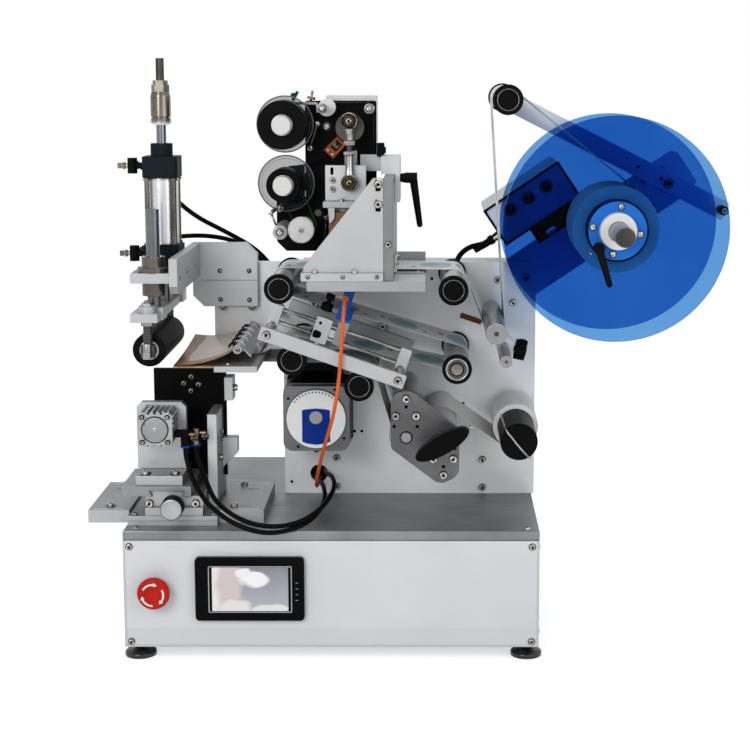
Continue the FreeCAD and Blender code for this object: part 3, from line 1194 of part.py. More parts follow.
def stage_base():
    """Wing plates, stage plate and the screw block with its dovetail."""
    top = DECK + WING_THICKNESS
    left = plate_z([(WING_LEFT, WING_FRONT), (STAGE_PLATE_LEFT, WING_FRONT),
                    (STAGE_PLATE_LEFT, WING_BACK), (WING_LEFT, WING_BACK)], DECK, top)
    right = plate_z([(STAGE_PLATE_RIGHT, WING_FRONT), (WING_RIGHT, WING_FRONT),
                     (WING_RIGHT, WING_BACK), (STAGE_PLATE_RIGHT, WING_BACK)], DECK, top)
    for x in (WING_LEFT + 24, WING_RIGHT - 24):
        for y in (WING_FRONT + 22, WING_BACK - 36):
            slot = box(x - SLOT_LENGTH / 2, x + SLOT_LENGTH / 2, y - SLOT_RADIUS, y + SLOT_RADIUS,
                       top - 8, top + 1)
            left, right = left.cut(slot), right.cut(slot)
    plate = box(STAGE_PLATE_LEFT, STAGE_PLATE_RIGHT, STAGE_PLATE_FRONT, WING_BACK, DECK, STAGE_PLATE_TOP)
    block = box(BLOCK_LEFT, BLOCK_RIGHT, BLOCK_FRONT, SLIDE_BACK, STAGE_PLATE_TOP, BLOCK_TOP)
    block = block.fuse(box(BLOCK_LEFT, BLOCK_RIGHT, BLOCK_FRONT - BLOCK_STEP_REACH, BLOCK_FRONT,
                           STAGE_PLATE_TOP, STAGE_PLATE_TOP + BLOCK_STEP))
    block = block.cut(rod_y(KNOB_AXIS, KNOB_SHAFT_RADIUS + RUNNING, BLOCK_FRONT - BLOCK_STEP_REACH - 1,
                            BLOCK_FRONT + KNOB_SHAFT_REACH + 1))
    rail = plate_y(slide_rail_outline(DOVETAIL_WIDTH, DOVETAIL_HEIGHT, DOVETAIL_FLARE, BLOCK_TOP),
                   BLOCK_FRONT, SLIDE_BACK)
    return [left, right, plate, block.fuse(rail)]


def stage_slide():
    """Dovetailed slide plate, foot plate and the upright plate of the clamp."""
    slide = box(SLIDE_LEFT, SLIDE_RIGHT, SLIDE_FRONT, SLIDE_BACK, SLIDE_BOTTOM, SLIDE_TOP)
    groove = slide_rail_outline(DOVETAIL_WIDTH + 4 * RUNNING, DOVETAIL_HEIGHT + 2 * SLIDE_GAP,
                                DOVETAIL_FLARE, BLOCK_TOP - SLIDE_GAP)
    slide = slide.cut(plate_y(groove, SLIDE_FRONT - 1, SLIDE_BACK + 1))
    foot = box(FOOT_PLATE_LEFT, FOOT_PLATE_RIGHT, FOOT_PLATE_FRONT, SLIDE_BACK - 12, SLIDE_TOP, FOOT_PLATE_TOP)
    for x in (FOOT_PLATE_LEFT + 14, FOOT_PLATE_RIGHT - 14):
        slot = box(x - SLOT_RADIUS, x + SLOT_RADIUS, FOOT_PLATE_FRONT + 8, FOOT_PLATE_FRONT + 8 + SLOT_LENGTH,
                   SLIDE_TOP + 4, FOOT_PLATE_TOP + 1)
        foot = foot.cut(slot)
    left, right, c = CLAMP_PLATE_LEFT, CLAMP_PLATE_RIGHT, CLAMP_PLATE_CHAMFER
    z0, z1 = FOOT_PLATE_TOP, FOOT_PLATE_TOP + CLAMP_PLATE_HEIGHT
    upright = plate_y([(left, z0), (right, z0), (right, z1 - c), (right - c, z1), (left + c, z1),
                       (left, z1 - c)], CLAMP_PLATE_FRONT, CLAMP_PLATE_BACK)
    upright = upright.cut(rod_y(CLAMP_AXIS, CLAMP_ROD_RADIUS + 2, CLAMP_PLATE_FRONT - 1, CLAMP_PLATE_BACK + 1))
    return [slide, foot, upright]


def clamp_cylinder():
    """Compact cylinder: finned square body, corner bolts and its two flow controls."""
    x, z = CLAMP_AXIS
    h = CLAMP_SIZE / 2
    front = CLAMP_PLATE_FRONT - CLAMP_LENGTH
    back = CLAMP_PLATE_FRONT
    square = [(x - h, z - h), (x + h, z - h), (x + h, z + h), (x - h, z + h)]
    body = plate_y(square, front, back, CLAMP_CORNER)
    for k in (-1, 0, 1):
        for sign in (-1, 1):
            a = k * CLAMP_FIN_PITCH
            w, d = CLAMP_FIN_WIDTH / 2, CLAMP_FIN_DEPTH
            edge = sorted((sign * h, sign * (h - d)))
            body = body.cut(box(x + a - w, x + a + w, front - 1, back + 1, z + edge[0], z + edge[1]))
    body = body.cut(rod_y(CLAMP_AXIS, CLAMP_CAP_RADIUS, front - 1, front + CLAMP_CAP_DEPTH))
    body = body.cut(rod_y(CLAMP_AXIS, CLAMP_ROD_RADIUS + RUNNING, front + CLAMP_LENGTH / 2, back + 1))
    inset = h - CLAMP_BOLT_INSET
    for sx in (-1, 1):
        for sz in (-1, 1):
            body = body.cut(rod_y((x + sx * inset, z + sz * inset), CLAMP_BOLT_RADIUS, front - 1, front + 6))
    pieces = [body]
    for route in (FRONT_TUBE_1, FRONT_TUBE_2):
        tx, ty, tz = route[0]
        port_z = tz + FITTING_PORT_LENGTH + FITTING_RADIUS + 2
        elbow = rod_z(tx, ty, FITTING_PORT_RADIUS, tz, port_z + FITTING_RADIUS)
        stem = rod_x(ty, port_z, FITTING_STEM_RADIUS, x + h, tx)
        tip = rod_x(ty, port_z, FITTING_TIP_RADIUS, tx, tx + FITTING_TIP_LENGTH)
        pieces.append(elbow.fuse(stem).fuse(tip))
    return pieces


def clamp_pusher():
    """Piston rod of the compact cylinder with its round push pad."""
    start = CLAMP_PLATE_FRONT - CLAMP_LENGTH / 2 + 1
    pad = CLAMP_PLATE_BACK + PUSHER_GAP
    return [turned_y(CLAMP_AXIS, [(0, start), (CLAMP_ROD_RADIUS, start), (CLAMP_ROD_RADIUS, pad),
                                  (PUSHER_RADIUS, pad), (PUSHER_RADIUS, pad + PUSHER_THICKNESS - 1),
                                  (PUSHER_RADIUS - 1, pad + PUSHER_THICKNESS), (0, pad + PUSHER_THICKNESS)])]


def stage_knob():
    """Knurled hand knob and its screw in the block."""
    end = BLOCK_FRONT + KNOB_SHAFT_REACH
    back = KNOB_FRONT + KNOB_LENGTH
    r = KNOB_RADIUS
    return [turned_y(KNOB_AXIS, [(0, KNOB_FRONT), (r - 1.5, KNOB_FRONT), (r, KNOB_FRONT + 1.5),
                                 (r, back - 5), (r - 3, back), (KNOB_SHAFT_RADIUS, back),
                                 (KNOB_SHAFT_RADIUS, end), (0, end)])]


def backstop():
    """Black back plate of the product, its side plate, gusset and side bracket."""
    back = BACKSTOP_FRONT + BACKSTOP_THICKNESS
    plate = box(BACKSTOP_LEFT, BACKSTOP_RIGHT, BACKSTOP_FRONT, back, BACKSTOP_BOTTOM, BACKSTOP_TOP)
    side_right = SIDE_PLATE_LEFT + SIDE_PLATE_THICKNESS
    side = box(SIDE_PLATE_LEFT, side_right, SIDE_PLATE_FRONT, BACKSTOP_FRONT, STAGE_PLATE_TOP, SIDE_PLATE_TOP)
    g = SIDE_GUSSET
    gusset = plate_y([(side_right, SIDE_PLATE_TOP - 40 - 2 * g), (side_right + g, SIDE_PLATE_TOP - 40 - g),
                      (side_right + g, SIDE_PLATE_TOP - 40), (side_right, SIDE_PLATE_TOP - 40)],
                     BACKSTOP_FRONT - 16, BACKSTOP_FRONT)
    w, d, h = SIDE_BRACKET
    bracket = box(BACKSTOP_RIGHT, BACKSTOP_RIGHT + w, back - d, back, BACKSTOP_TOP - 8 - h, BACKSTOP_TOP - 8)
    leg = box(BACKSTOP_LEFT, BACKSTOP_RIGHT - 4, BACKSTOP_FRONT, back + 10, STAGE_PLATE_TOP, BACKSTOP_BOTTOM)
    return [plate, side, gusset, bracket, leg]


def peel_plate():
    """Peeling blade on its thick block, with the film bar, strip and clips above it."""
    tip, top, r = PEEL_TIP, PEEL_TOP, BLADE_THICKNESS / 2
    blade = plate_y([(tip, top - 2 * r, r * 0.96), (PEEL_BLOCK_LEFT, top - 2 * r), (PEEL_BLOCK_LEFT, top),
                     (tip, top, r * 0.96)], PEEL_FRONT, PEEL_BACK)
    block = box(PEEL_BLOCK_LEFT, PEEL_BLOCK_RIGHT, PEEL_FRONT, PANEL_FRONT, top - PEEL_BLOCK_THICKNESS, top)
    rod = rod_y(FILM_ROD, FILM_ROD_RADIUS, PEEL_FRONT - 4, PANEL_FRONT)
    foot_x, foot_r = FILM_FOOT
    foot = rod_y((foot_x, top + 2 * WEB_CLEARANCE + WEB_THICKNESS + foot_r), foot_r - 0.2, WEB_FRONT, PEEL_BACK)
    link = tilted_bar(FILM_ROD, degrees(atan2(top + foot_r - FILM_ROD[1], foot_x - FILM_ROD[0])), 0,
                      hypot(foot_x - FILM_ROD[0], top + foot_r - FILM_ROD[1]) - 2,
                      FILM_ROD_RADIUS - 0.5 - FILM_STRIP_THICKNESS, FILM_ROD_RADIUS - 0.5, PEEL_FRONT + 8, PEEL_BACK)
    clips = []
    pitch = (PEEL_BACK - PEEL_FRONT - 40) / (FILM_CLIP_COUNT - 1)
    for i in range(FILM_CLIP_COUNT):
        y = PEEL_FRONT + 20 + i * pitch
        clip = ring_y(FILM_ROD, FILM_ROD_RADIUS + 2, FILM_ROD_RADIUS - 0.5, y, y + FILM_CLIP_WIDTH)
        clips.append(clip)
    film = rod.fuse(link).fuse(foot)
    for clip in clips:
        film = film.fuse(clip)
    return [blade, block, film]


def guide_frame():
    """Sloping bars on two cross shafts, with the sensor's two rods and their end blocks."""
    start, tilt, span = FRAME_LEFT_SHAFT, FRAME_TILT, FRAME_SPAN
    o, h = FRAME_BAR_OVERHANG, FRAME_BAR_WIDTH / 2
    front_end = FRAME_BAR_FRONT + FRAME_BAR_THICKNESS
    front = tilted_bar(start, tilt, -o, span + o, -h, h, FRAME_BAR_FRONT, front_end, 2.0)
    rear = tilted_bar(start, tilt, o, span + o, h / 2, h * 2.5, PANEL_FRONT - FRAME_BAR_THICKNESS, PANEL_FRONT, 2.0)
    pieces = [front]
    for axis in (FRAME_LEFT_SHAFT, FRAME_RIGHT_SHAFT):
        shaft = rod_y(axis, FRAME_SHAFT_RADIUS, front_end, PANEL_FRONT)
        rear = rear.cut(shaft)
        pieces.append(shaft)
    w, rise, depth = SENSOR_BLOCK
    y0, y1 = SENSOR_ROD_Y - depth / 2, SENSOR_ROD_Y + depth / 2
    for at in (SENSOR_BLOCK_START, span):
        block = tilted_bar(start, tilt, at - w / 2, at + w / 2, -FRAME_SHAFT_RADIUS - 2, rise - 8, y0, y1, 1.5)
        for axis in (FRAME_LEFT_SHAFT, FRAME_RIGHT_SHAFT):
            block = block.cut(rod_y(axis, FRAME_SHAFT_RADIUS, y0 - 1, y1 + 1))
        pieces.append(block)
    for rise_at in SENSOR_ROD_RISE:
        a = along(start, tilt, SENSOR_BLOCK_START + w / 2, rise_at)
        b = along(start, tilt, span - w / 2, rise_at)
        length = hypot(b[0] - a[0], b[1] - a[1])
        pieces.append(Part.makeCylinder(SENSOR_ROD_RADIUS, length, V(a[0], SENSOR_ROD_Y, a[1]),
                                        V(b[0] - a[0], 0, b[1] - a[1])))
    return pieces + [rear]


def sensor_carriage():
    """Clamp block on the two rods with the fork sensor and its lock screw."""
    start, tilt = FRAME_LEFT_SHAFT, FRAME_TILT
    w, h, d = CARRIAGE_SIZE
    middle = (SENSOR_ROD_RISE[0] + SENSOR_ROD_RISE[1]) / 2
    y0, y1 = SENSOR_ROD_Y - d / 2, SENSOR_ROD_Y + d / 2
    block = tilted_bar(start, tilt, CARRIAGE_AT - w / 2, CARRIAGE_AT + w / 2, middle - h / 2, middle + h / 2,
                       y0, y1, 1.5)
    sw, sh, sd = SENSOR_SIZE
    s0 = CARRIAGE_AT + SENSOR_AHEAD
    sensor = tilted_bar(start, tilt, s0 - sw / 2, s0 + sw / 2, SENSOR_RISE, SENSOR_RISE + sh,
                        y0, y0 + sd + SENSOR_JAW_REACH, 1.0)
    web_rise = sensor_web_rise(s0)
    sensor = sensor.cut(tilted_bar(start, tilt, s0 - sw, s0 + sw, web_rise - SENSOR_SLOT / 2,
                                   web_rise + SENSOR_SLOT / 2, y0 + sd - 2, y0 + sd + SENSOR_JAW_REACH + 1))
    foot = tilted_bar(start, tilt, CARRIAGE_AT + w / 2, s0 - sw / 2, middle - 5, middle + 5, y0 + 2, y1 - 2)
    x, z = along(start, tilt, CARRIAGE_AT, middle - h / 2)
    neck, rim, length = CARRIAGE_KNOB
    knob = Part.makeCone(neck, rim, length, V(x, SENSOR_ROD_Y, z), V(sin(radians(tilt)), 0, -cos(radians(tilt))))
    block = block.fuse(foot).fuse(knob)
    for rise_at in SENSOR_ROD_RISE:
        a = along(start, tilt, 0, rise_at)
        b = along(start, tilt, FRAME_SPAN, rise_at)
        bore = Part.makeCylinder(SENSOR_ROD_RADIUS + RUNNING, FRAME_SPAN, V(a[0], SENSOR_ROD_Y, a[1]),
                                 V(b[0] - a[0], 0, b[1] - a[1]))
        block, sensor = block.cut(bore), sensor.cut(bore)
    return [block, sensor]


def sensor_cord_start():
    """The first two points of the sensor's cord, square to the sensor's front."""
    s0 = CARRIAGE_AT + SENSOR_AHEAD
    x, z = along(FRAME_LEFT_SHAFT, FRAME_TILT, s0, SENSOR_RISE + SENSOR_SIZE[1] - 7)
    y = SENSOR_ROD_Y - CARRIAGE_SIZE[2] / 2
    return [(x, y, z), (x, y - 12, z)]


def web_stops():
    """The circles that the web wraps, from the label roll to the rewind roll."""
    lift = WEB_CLEARANCE + WEB_THICKNESS / 2
    body = ROLLER_BODY_RADIUS + lift

    def idle(name, turn):
        return (*ROLLER_AXES[name], body, turn)
    tip = BLADE_THICKNESS / 2
    return [
        (*REEL_AXIS, LABEL_ROLL_RADIUS + lift, -1),
        idle("guide_roller_6", -1),
        (*BRAKE_BAR, BRAKE_BAR_RADIUS + lift, 1),
        idle("guide_roller_2", -1),
        idle("guide_roller_1", -1),
        idle("guide_roller_3", 1),
        idle("guide_roller_4", -1),
        (FILM_FOOT[0], PEEL_TOP + lift + FILM_FOOT[1], FILM_FOOT[1], 1),
        (PEEL_TIP + tip, PEEL_TOP - tip, tip + lift, -1),
        (PEEL_BLOCK_LEFT + 1, PEEL_TOP - PEEL_BLOCK_THICKNESS + 1, 1 + lift, -1),
        idle("guide_roller_4", -1),
        idle("guide_roller_5", 1),
        (*TRACTION_AXIS, TRACTION_RADIUS + lift, -1),
        (*PINCH_AXIS, PINCH_RADIUS + lift, 1),
        (*REWIND_AXIS, PAPER_ROLL_RADIUS + lift, -1),
    ]


def sensor_web_rise(run):
    """How far the web between idlers 1 and 3 lies above the frame's line at a run along it."""
    start, end, _ = belt_lines(web_stops())[4]
    tilt = radians(FRAME_TILT)
    x0, z0 = FRAME_LEFT_SHAFT

    def local(point):
        dx, dz = point[0] - x0, point[1] - z0
        return (dx * cos(tilt) + dz * sin(tilt), dz * cos(tilt) - dx * sin(tilt))
    (r0, h0), (r1, h1) = local(start), local(end)
    return h0 + (h1 - h0) * (run - r0) / (r1 - r0)


def label_web():
    return [band(web_stops(), WEB_THICKNESS, WEB_FRONT, WEB_FRONT + WEB_WIDTH)]


def print_table():
    """Machined table with its thin platen, the coder's foot, gusset and upright plate."""
    low = TABLE_TOP - TABLE_THICKNESS
    table = box(TABLE_LEFT, TABLE_RIGHT, TABLE_FRONT, PANEL_FRONT, low, TABLE_TOP)
    skin = box(TABLE_LEFT + 2, TABLE_RIGHT - 2, BRACKET_FOOT_BACK + 4, PANEL_FRONT, TABLE_TOP,
               TABLE_TOP + TABLE_SKIN)
    left, right, thick = BRACKET_FOOT
    foot_top = TABLE_TOP + thick
    gr = right - 2
    foot = box(left, gr, TABLE_FRONT, BRACKET_FOOT_BACK, TABLE_TOP, foot_top)
    gusset = plate_y([(left + 3, foot_top), (gr, foot_top), (gr, GUSSET_TOP), (gr - GUSSET_TOP_WIDTH, GUSSET_TOP),
                      (left + 3, foot_top + GUSSET_TOE)], GUSSET_FRONT, GUSSET_FRONT + GUSSET_THICKNESS)
    middle = gr - GUSSET_TOP_WIDTH / 2
    for z in GUSSET_SLOTS:
        gusset = gusset.cut(box(middle - SLOT_RADIUS, middle + SLOT_RADIUS, GUSSET_FRONT - 1,
                                GUSSET_FRONT + GUSSET_THICKNESS + 1, z - SLOT_LENGTH / 2, z + SLOT_LENGTH / 2))
    upright = box(gr, gr + UPRIGHT_THICKNESS, GUSSET_FRONT, BRACKET_FOOT_BACK, TABLE_TOP, GUSSET_TOP)
    upright = upright.fuse(box(gr, gr + UPRIGHT_THICKNESS, BRACKET_FOOT_BACK, UPRIGHT_BACK,
                               foot_top + 4, GUSSET_TOP))
    return [table, skin, foot, gusset, upright]


def coder_frame():
    """Black back plate with ribbon arms and pins, clamp block, slide rail and gear motor."""
    y0, y1 = CODER_PLATE_FRONT, CODER_PLATE_BACK
    left, toe = CODER_LEFT, CODER_TOE_LEFT
    plate = plate_y([(left, CODER_TOE_TOP), (left, CODER_TOP, 3), (CODER_RIGHT, CODER_TOP, 3),
                     (CODER_RIGHT, CODER_BOTTOM + 60), (CODER_RIGHT - 42, CODER_BOTTOM),
                     (toe + 12, CODER_BOTTOM), (toe, CODER_BOTTOM + 12), (toe, CODER_TOE_TOP)], y0, y1)
    shafts = []
    for axis in (RIBBON_SUPPLY, RIBBON_TAKEUP):
        arm = box(axis[0], left + 1, y0, y1, axis[1] - RIBBON_ARM_RADIUS, axis[1] + RIBBON_ARM_RADIUS)
        plate = plate.fuse(arm).fuse(rod_y(axis, RIBBON_ARM_RADIUS, y0, y1))
    for axis in (RIBBON_SUPPLY, RIBBON_TAKEUP, RIBBON_WHEEL):
        shafts.append(rod_y(axis, RIBBON_SHAFT_RADIUS, RIBBON_FRONT + 2, y0))
    plate = plate.cut(rod_y(CRANK_AXIS, CRANK_SHAFT_RADIUS + RUNNING, y0 - 1, y1 + 1))
    pins = [rod_y((x, z), r, front, y0) for x, z, r, front in RIBBON_PINS]
    pins.append(rod_y(NIP_ROLLER, NIP_ROLLER_RADIUS, RIBBON_FRONT + 4, y0))
    x0, x1, z0, z1 = CLAMP_BLOCK
    gr = BRACKET_FOOT[1] - 2 + UPRIGHT_THICKNESS
    block = box(CODER_RIGHT - 20, x1, CLAMP_BLOCK_BACK, y0, GUSSET_TOP + SLIDE_GAP, z1)
    cheek = box(gr + SLIDE_GAP, x1, CLAMP_BLOCK_FRONT, y0, z0, z1)
    arm = box(x0, gr + SLIDE_GAP, CLAMP_BLOCK_FRONT, y0, GUSSET_TOP + SLIDE_GAP, z1)
    lever_z = (z0 + z1) / 2 + 2
    lever_y = (CLAMP_BLOCK_FRONT + CLAMP_BLOCK_BACK) / 2 - 24
    block = block.fuse(cheek).fuse(arm).cut(rod_x(lever_y, lever_z, 3 + RUNNING, gr - 1, x1 + 1))
    rail = box(CRANK_AXIS[0] - RAIL_WIDTH / 2, CRANK_AXIS[0] + RAIL_WIDTH / 2, y0 - RAIL_THICKNESS, y0,
               RAIL_BOTTOM, RAIL_TOP)
    w, d, h = CODER_MOTOR
    top = CODER_TOP + CODER_MOTOR_RISE
    motor = box(CRANK_AXIS[0] - w / 2, CRANK_AXIS[0] + w / 2, y1, y1 + d, top - h, top)
    motor = motor.cut(rod_y(CRANK_AXIS, CRANK_SHAFT_RADIUS + RUNNING, y1 - 1, y1 + d / 2))
    return [plate, block, rail, motor] + shafts + pins


def coder_clamp_lever():
    """Ratchet lever that clamps the coder on the upright, its axis along X."""
    x1, z0, z1 = CLAMP_BLOCK[1], CLAMP_BLOCK[2], CLAMP_BLOCK[3]
    gr = BRACKET_FOOT[1] - 2 + UPRIGHT_THICKNESS
    lever = clamp_lever(CODER_LEVER_LENGTH, CODER_LEVER_LEAN)
    lever = lever.fuse(rod_y((0, 0), 3, -1, x1 - gr))
    lever.rotate(V(0, 0, 0), V(0, 0, 1), 90)
    y = (CLAMP_BLOCK_FRONT + CLAMP_BLOCK_BACK) / 2 - 24
    lever.translate(V(x1 + SLIDE_GAP, y, (z0 + z1) / 2 + 2))
    return [lever]


def ribbon_reel(axis, roll_radius):
    """Ribbon roll against its clear disc, on a hub that runs on a fixed shaft."""
    bore = RIBBON_SHAFT_RADIUS + RUNNING
    roll_back = RIBBON_FRONT + RIBBON_HUB_RISE + RIBBON_ROLL_WIDTH
    disc = ring_y(axis, RIBBON_DISC_RADIUS, bore, roll_back, roll_back + RIBBON_DISC_THICKNESS)
    roll = ring_y(axis, roll_radius, RIBBON_HUB_RADIUS, RIBBON_FRONT + RIBBON_HUB_RISE, roll_back)
    hub = turned_y(axis, [(0, RIBBON_FRONT - 4), (RIBBON_HUB_RADIUS, RIBBON_FRONT - 4),
                          (RIBBON_HUB_RADIUS, roll_back), (bore, roll_back), (bore, RIBBON_FRONT + 1),
                          (0, RIBBON_FRONT + 1)])
    sleeve = ring_y(axis, RIBBON_HUB_RADIUS / 2 + 2, bore, roll_back + RIBBON_DISC_THICKNESS,
                    CODER_PLATE_FRONT - SLIDE_GAP)
    return [disc.fuse(sleeve), roll, hub]


def ribbon_wheel():
    bore = RIBBON_SHAFT_RADIUS + RUNNING
    t = RIBBON_WHEEL_THICKNESS
    front = RIBBON_FRONT - 2
    return [turned_y(RIBBON_WHEEL, [(0, front), (RIBBON_WHEEL_RADIUS, front), (RIBBON_WHEEL_RADIUS, front + t),
                                    (RIBBON_WHEEL_DRUM, front + t),
                                    (RIBBON_WHEEL_DRUM, CODER_PLATE_FRONT - SLIDE_GAP),
                                    (bore, CODER_PLATE_FRONT - SLIDE_GAP), (bore, front + 3), (0, front + 3)])]


def crank_disc():
    shaft = rod_y(CRANK_AXIS, CRANK_SHAFT_RADIUS, CRANK_FRONT, CODER_PLATE_BACK + CODER_MOTOR[1] / 2 - 1)
    disc = rod_y(CRANK_AXIS, CRANK_RADIUS, CRANK_FRONT, CRANK_FRONT + CRANK_THICKNESS)
    pin = rod_y(CRANK_PIN, CRANK_PIN_RADIUS, ROD_FRONT - 2, CRANK_FRONT)
    head = rod_y(CRANK_PIN, ROD_BOLT_HEAD[0], ROD_FRONT - 2 - ROD_BOLT_HEAD[1], ROD_FRONT - SLIDE_GAP)
    return [disc.fuse(shaft).fuse(pin).fuse(head)]


def connecting_rod():
    """Two rod ends joined by a threaded sleeve, with the shoulder bolt of the lower eye."""
    y0, y1 = ROD_FRONT, ROD_FRONT + ROD_THICKNESS
    x, high, low = CRANK_PIN[0], CRANK_PIN[1], LOW_EYE[1]
    middle = (y0 + y1) / 2
    rod = rod_z(x, middle, ROD_NECK_RADIUS, low, high)
    sleeve_low = (low + high - ROD_SLEEVE_LENGTH) / 2
    rod = rod.fuse(hexagon_z(x, middle, 2 * ROD_SLEEVE_RADIUS, sleeve_low, sleeve_low + ROD_SLEEVE_LENGTH))
    for eye in (CRANK_PIN, LOW_EYE):
        rod = rod.fuse(rod_y(eye, ROD_EYE_RADIUS, y0, y1))
    rod = rod.cut(rod_y(CRANK_PIN, CRANK_PIN_RADIUS + RUNNING, y0 - 4, y1 + 4))
    bolt = rod_y(LOW_EYE, CRANK_PIN_RADIUS, y0 - 1, CRANK_FRONT - SLIDER_THICKNESS - SLIDE_GAP)
    bolt = bolt.fuse(rod_y(LOW_EYE, ROD_BOLT_HEAD[0], y0 - ROD_BOLT_HEAD[1], y0))
    return [rod.cut(bolt), bolt]


def print_slider():
    """Slider plate on its carriage, shelf, insulator, heater block and type holder."""
    y0, y1 = CRANK_FRONT - SLIDER_THICKNESS, CRANK_FRONT
    plate = box(SLIDER_LEFT, SLIDER_RIGHT, y0, y1, SLIDER_BOTTOM, SLIDER_TOP)
    x = CRANK_AXIS[0]
    carriage_back = CODER_PLATE_FRONT - RAIL_THICKNESS - SLIDE_GAP
    carriage = box(x - RAIL_WIDTH, x + RAIL_WIDTH, y1, carriage_back, SLIDER_BOTTOM, SLIDER_TOP - 4)
    shelf = box(SLIDER_LEFT - 2, SLIDER_RIGHT + 2, y0 - SLIDER_SHELF_REACH, carriage_back,
                SLIDER_BOTTOM - SLIDER_SHELF, SLIDER_BOTTOM)
    low = SLIDER_BOTTOM - SLIDER_SHELF
    radius, height = INSULATOR
    hx = SLIDER_LEFT + 22
    hy = y0 + 8
    insulator = rod_z(hx, hy, radius, low - height, low)
    w, d, h = HEATER
    heater_top = low - height
    heater = box(hx - w / 2, hx + w / 2, hy - d / 2, hy + d / 2 - 4, heater_top - h, heater_top)
    tw, td, th = TYPE_HOLDER
    holder = box(hx - tw / 2, hx + tw / 2, hy - td / 2, hy + td / 2 - 4, heater_top - h - th, heater_top - h)
    return [plate, carriage, shelf, insulator, heater, holder]


SENSOR_CORD[:0] = sensor_cord_start()
CONTROL_CORD[:0] = control_cord_start()

CORDS = {
    "front_air_tube_1": (FRONT_TUBE_1, TUBE_RADIUS),
    "front_air_tube_2": (FRONT_TUBE_2, TUBE_RADIUS),
    "rear_air_tube_1": (REAR_TUBE_1, TUBE_RADIUS),
    "rear_air_tube_2": (REAR_TUBE_2, TUBE_RADIUS),
    "sensor_cable": (SENSOR_CORD, SENSOR_CORD_RADIUS),
    "control_box_cable": (CONTROL_CORD, CONTROL_CORD_RADIUS),
}

PIECES = {
    "base_cabinet": base_cabinet(),
    "base_top_plate": base_top_plate(),
    "base_front_cover": base_front_cover() + stop_socket(),
    "leveling_feet": leveling_feet(),
    "touch_panel": touch_panel(),
    "stop_button": stop_button(),
    "main_panel": main_panel(),
    "drive_housing": drive_housing() + drive_belts(),
    "panel_shafts": panel_shafts(),
    "star_knob": star_knob(),
    "bearing_plate": bearing_plate(),
    "traction_roller": traction_roller(),
    "pinch_lever": pinch_lever(),
    "pinch_roller": pinch_roller(),
    "rewind_mandrel": rewind_mandrel(),
    "stepper_motor": stepper_motor(),
    "motor_pulley": motor_pulley(),
    "reel_support": reel_support() + guide_arm(),
    "reel_discs": reel_discs(),
    "reel_hub": reel_hub(),
    "label_roll": label_roll(),
    "reel_clamp_lever": reel_clamp_lever(),
    "control_box": control_box(),
    "control_knob_1": control_knob(0),
    "control_knob_2": control_knob(1),
    "control_knob_3": control_knob(2),
    "press_arm": press_arm(),
    "press_cylinder": press_cylinder(),
    "press_yoke": press_yoke(),
    "press_roller": press_roller(),
    "stage_base": stage_base(),
    "stage_slide": stage_slide() + clamp_cylinder(),
    "clamp_pusher": clamp_pusher(),
    "stage_knob": stage_knob(),
    "backstop": backstop(),
    "peel_plate": peel_plate(),
    "guide_frame": guide_frame(),
    "sensor_carriage": sensor_carriage(),
    "print_table": print_table(),
    "coder_frame": coder_frame(),
    "coder_clamp_lever": coder_clamp_lever(),
    "ribbon_supply": ribbon_reel(RIBBON_SUPPLY, RIBBON_SUPPLY_ROLL),
    "ribbon_takeup": ribbon_reel(RIBBON_TAKEUP, RIBBON_TAKEUP_ROLL),
    "ribbon_wheel": ribbon_wheel(),
    "crank_disc": crank_disc(),
    "connecting_rod": connecting_rod(),
    "print_slider": print_slider(),
    "label_web": label_web(),
}
for roller in ROLLER_AXES:
    PIECES[roller] = idler(roller)


def model_corners(shapes):
    boxes = [shape.optimalBoundingBox(False, False) for shape in shapes]
    return (min(b.XMin for b in boxes), max(b.XMax for b in boxes),
            min(b.YMin for b in boxes), max(b.YMax for b in boxes))


X0, X1, Y0, Y1 = model_corners([s for group in PIECES.values() for s in group])
ORIGIN = V((X0 + X1) / 2, (Y0 + Y1) / 2, 0)

for cord, (route, cord_radius) in CORDS.items():
    PIECES[cord] = [cord_tube(cord, route, cord_radius)]

os.makedirs("parts", exist_ok=True)
for node, solids in PIECES.items():
    shape = solids[0] if len(solids) == 1 else Part.makeCompound(solids)
    shape.translate(-ORIGIN)
    shape.exportStep("parts/" + node + ".step")
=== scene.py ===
"""Looks of the bench-top label applicator: finishes, small parts, tubes, camera and light.

Places are written in millimetres from the cabinet's front left lower edge line,
X to the right, Y away from the operator and Z up from the floor.
"""
import json
from math import atan2, cos, degrees, hypot, pi, radians, sin, sqrt

import bmesh
import bpy
from mathutils import Matrix, Vector

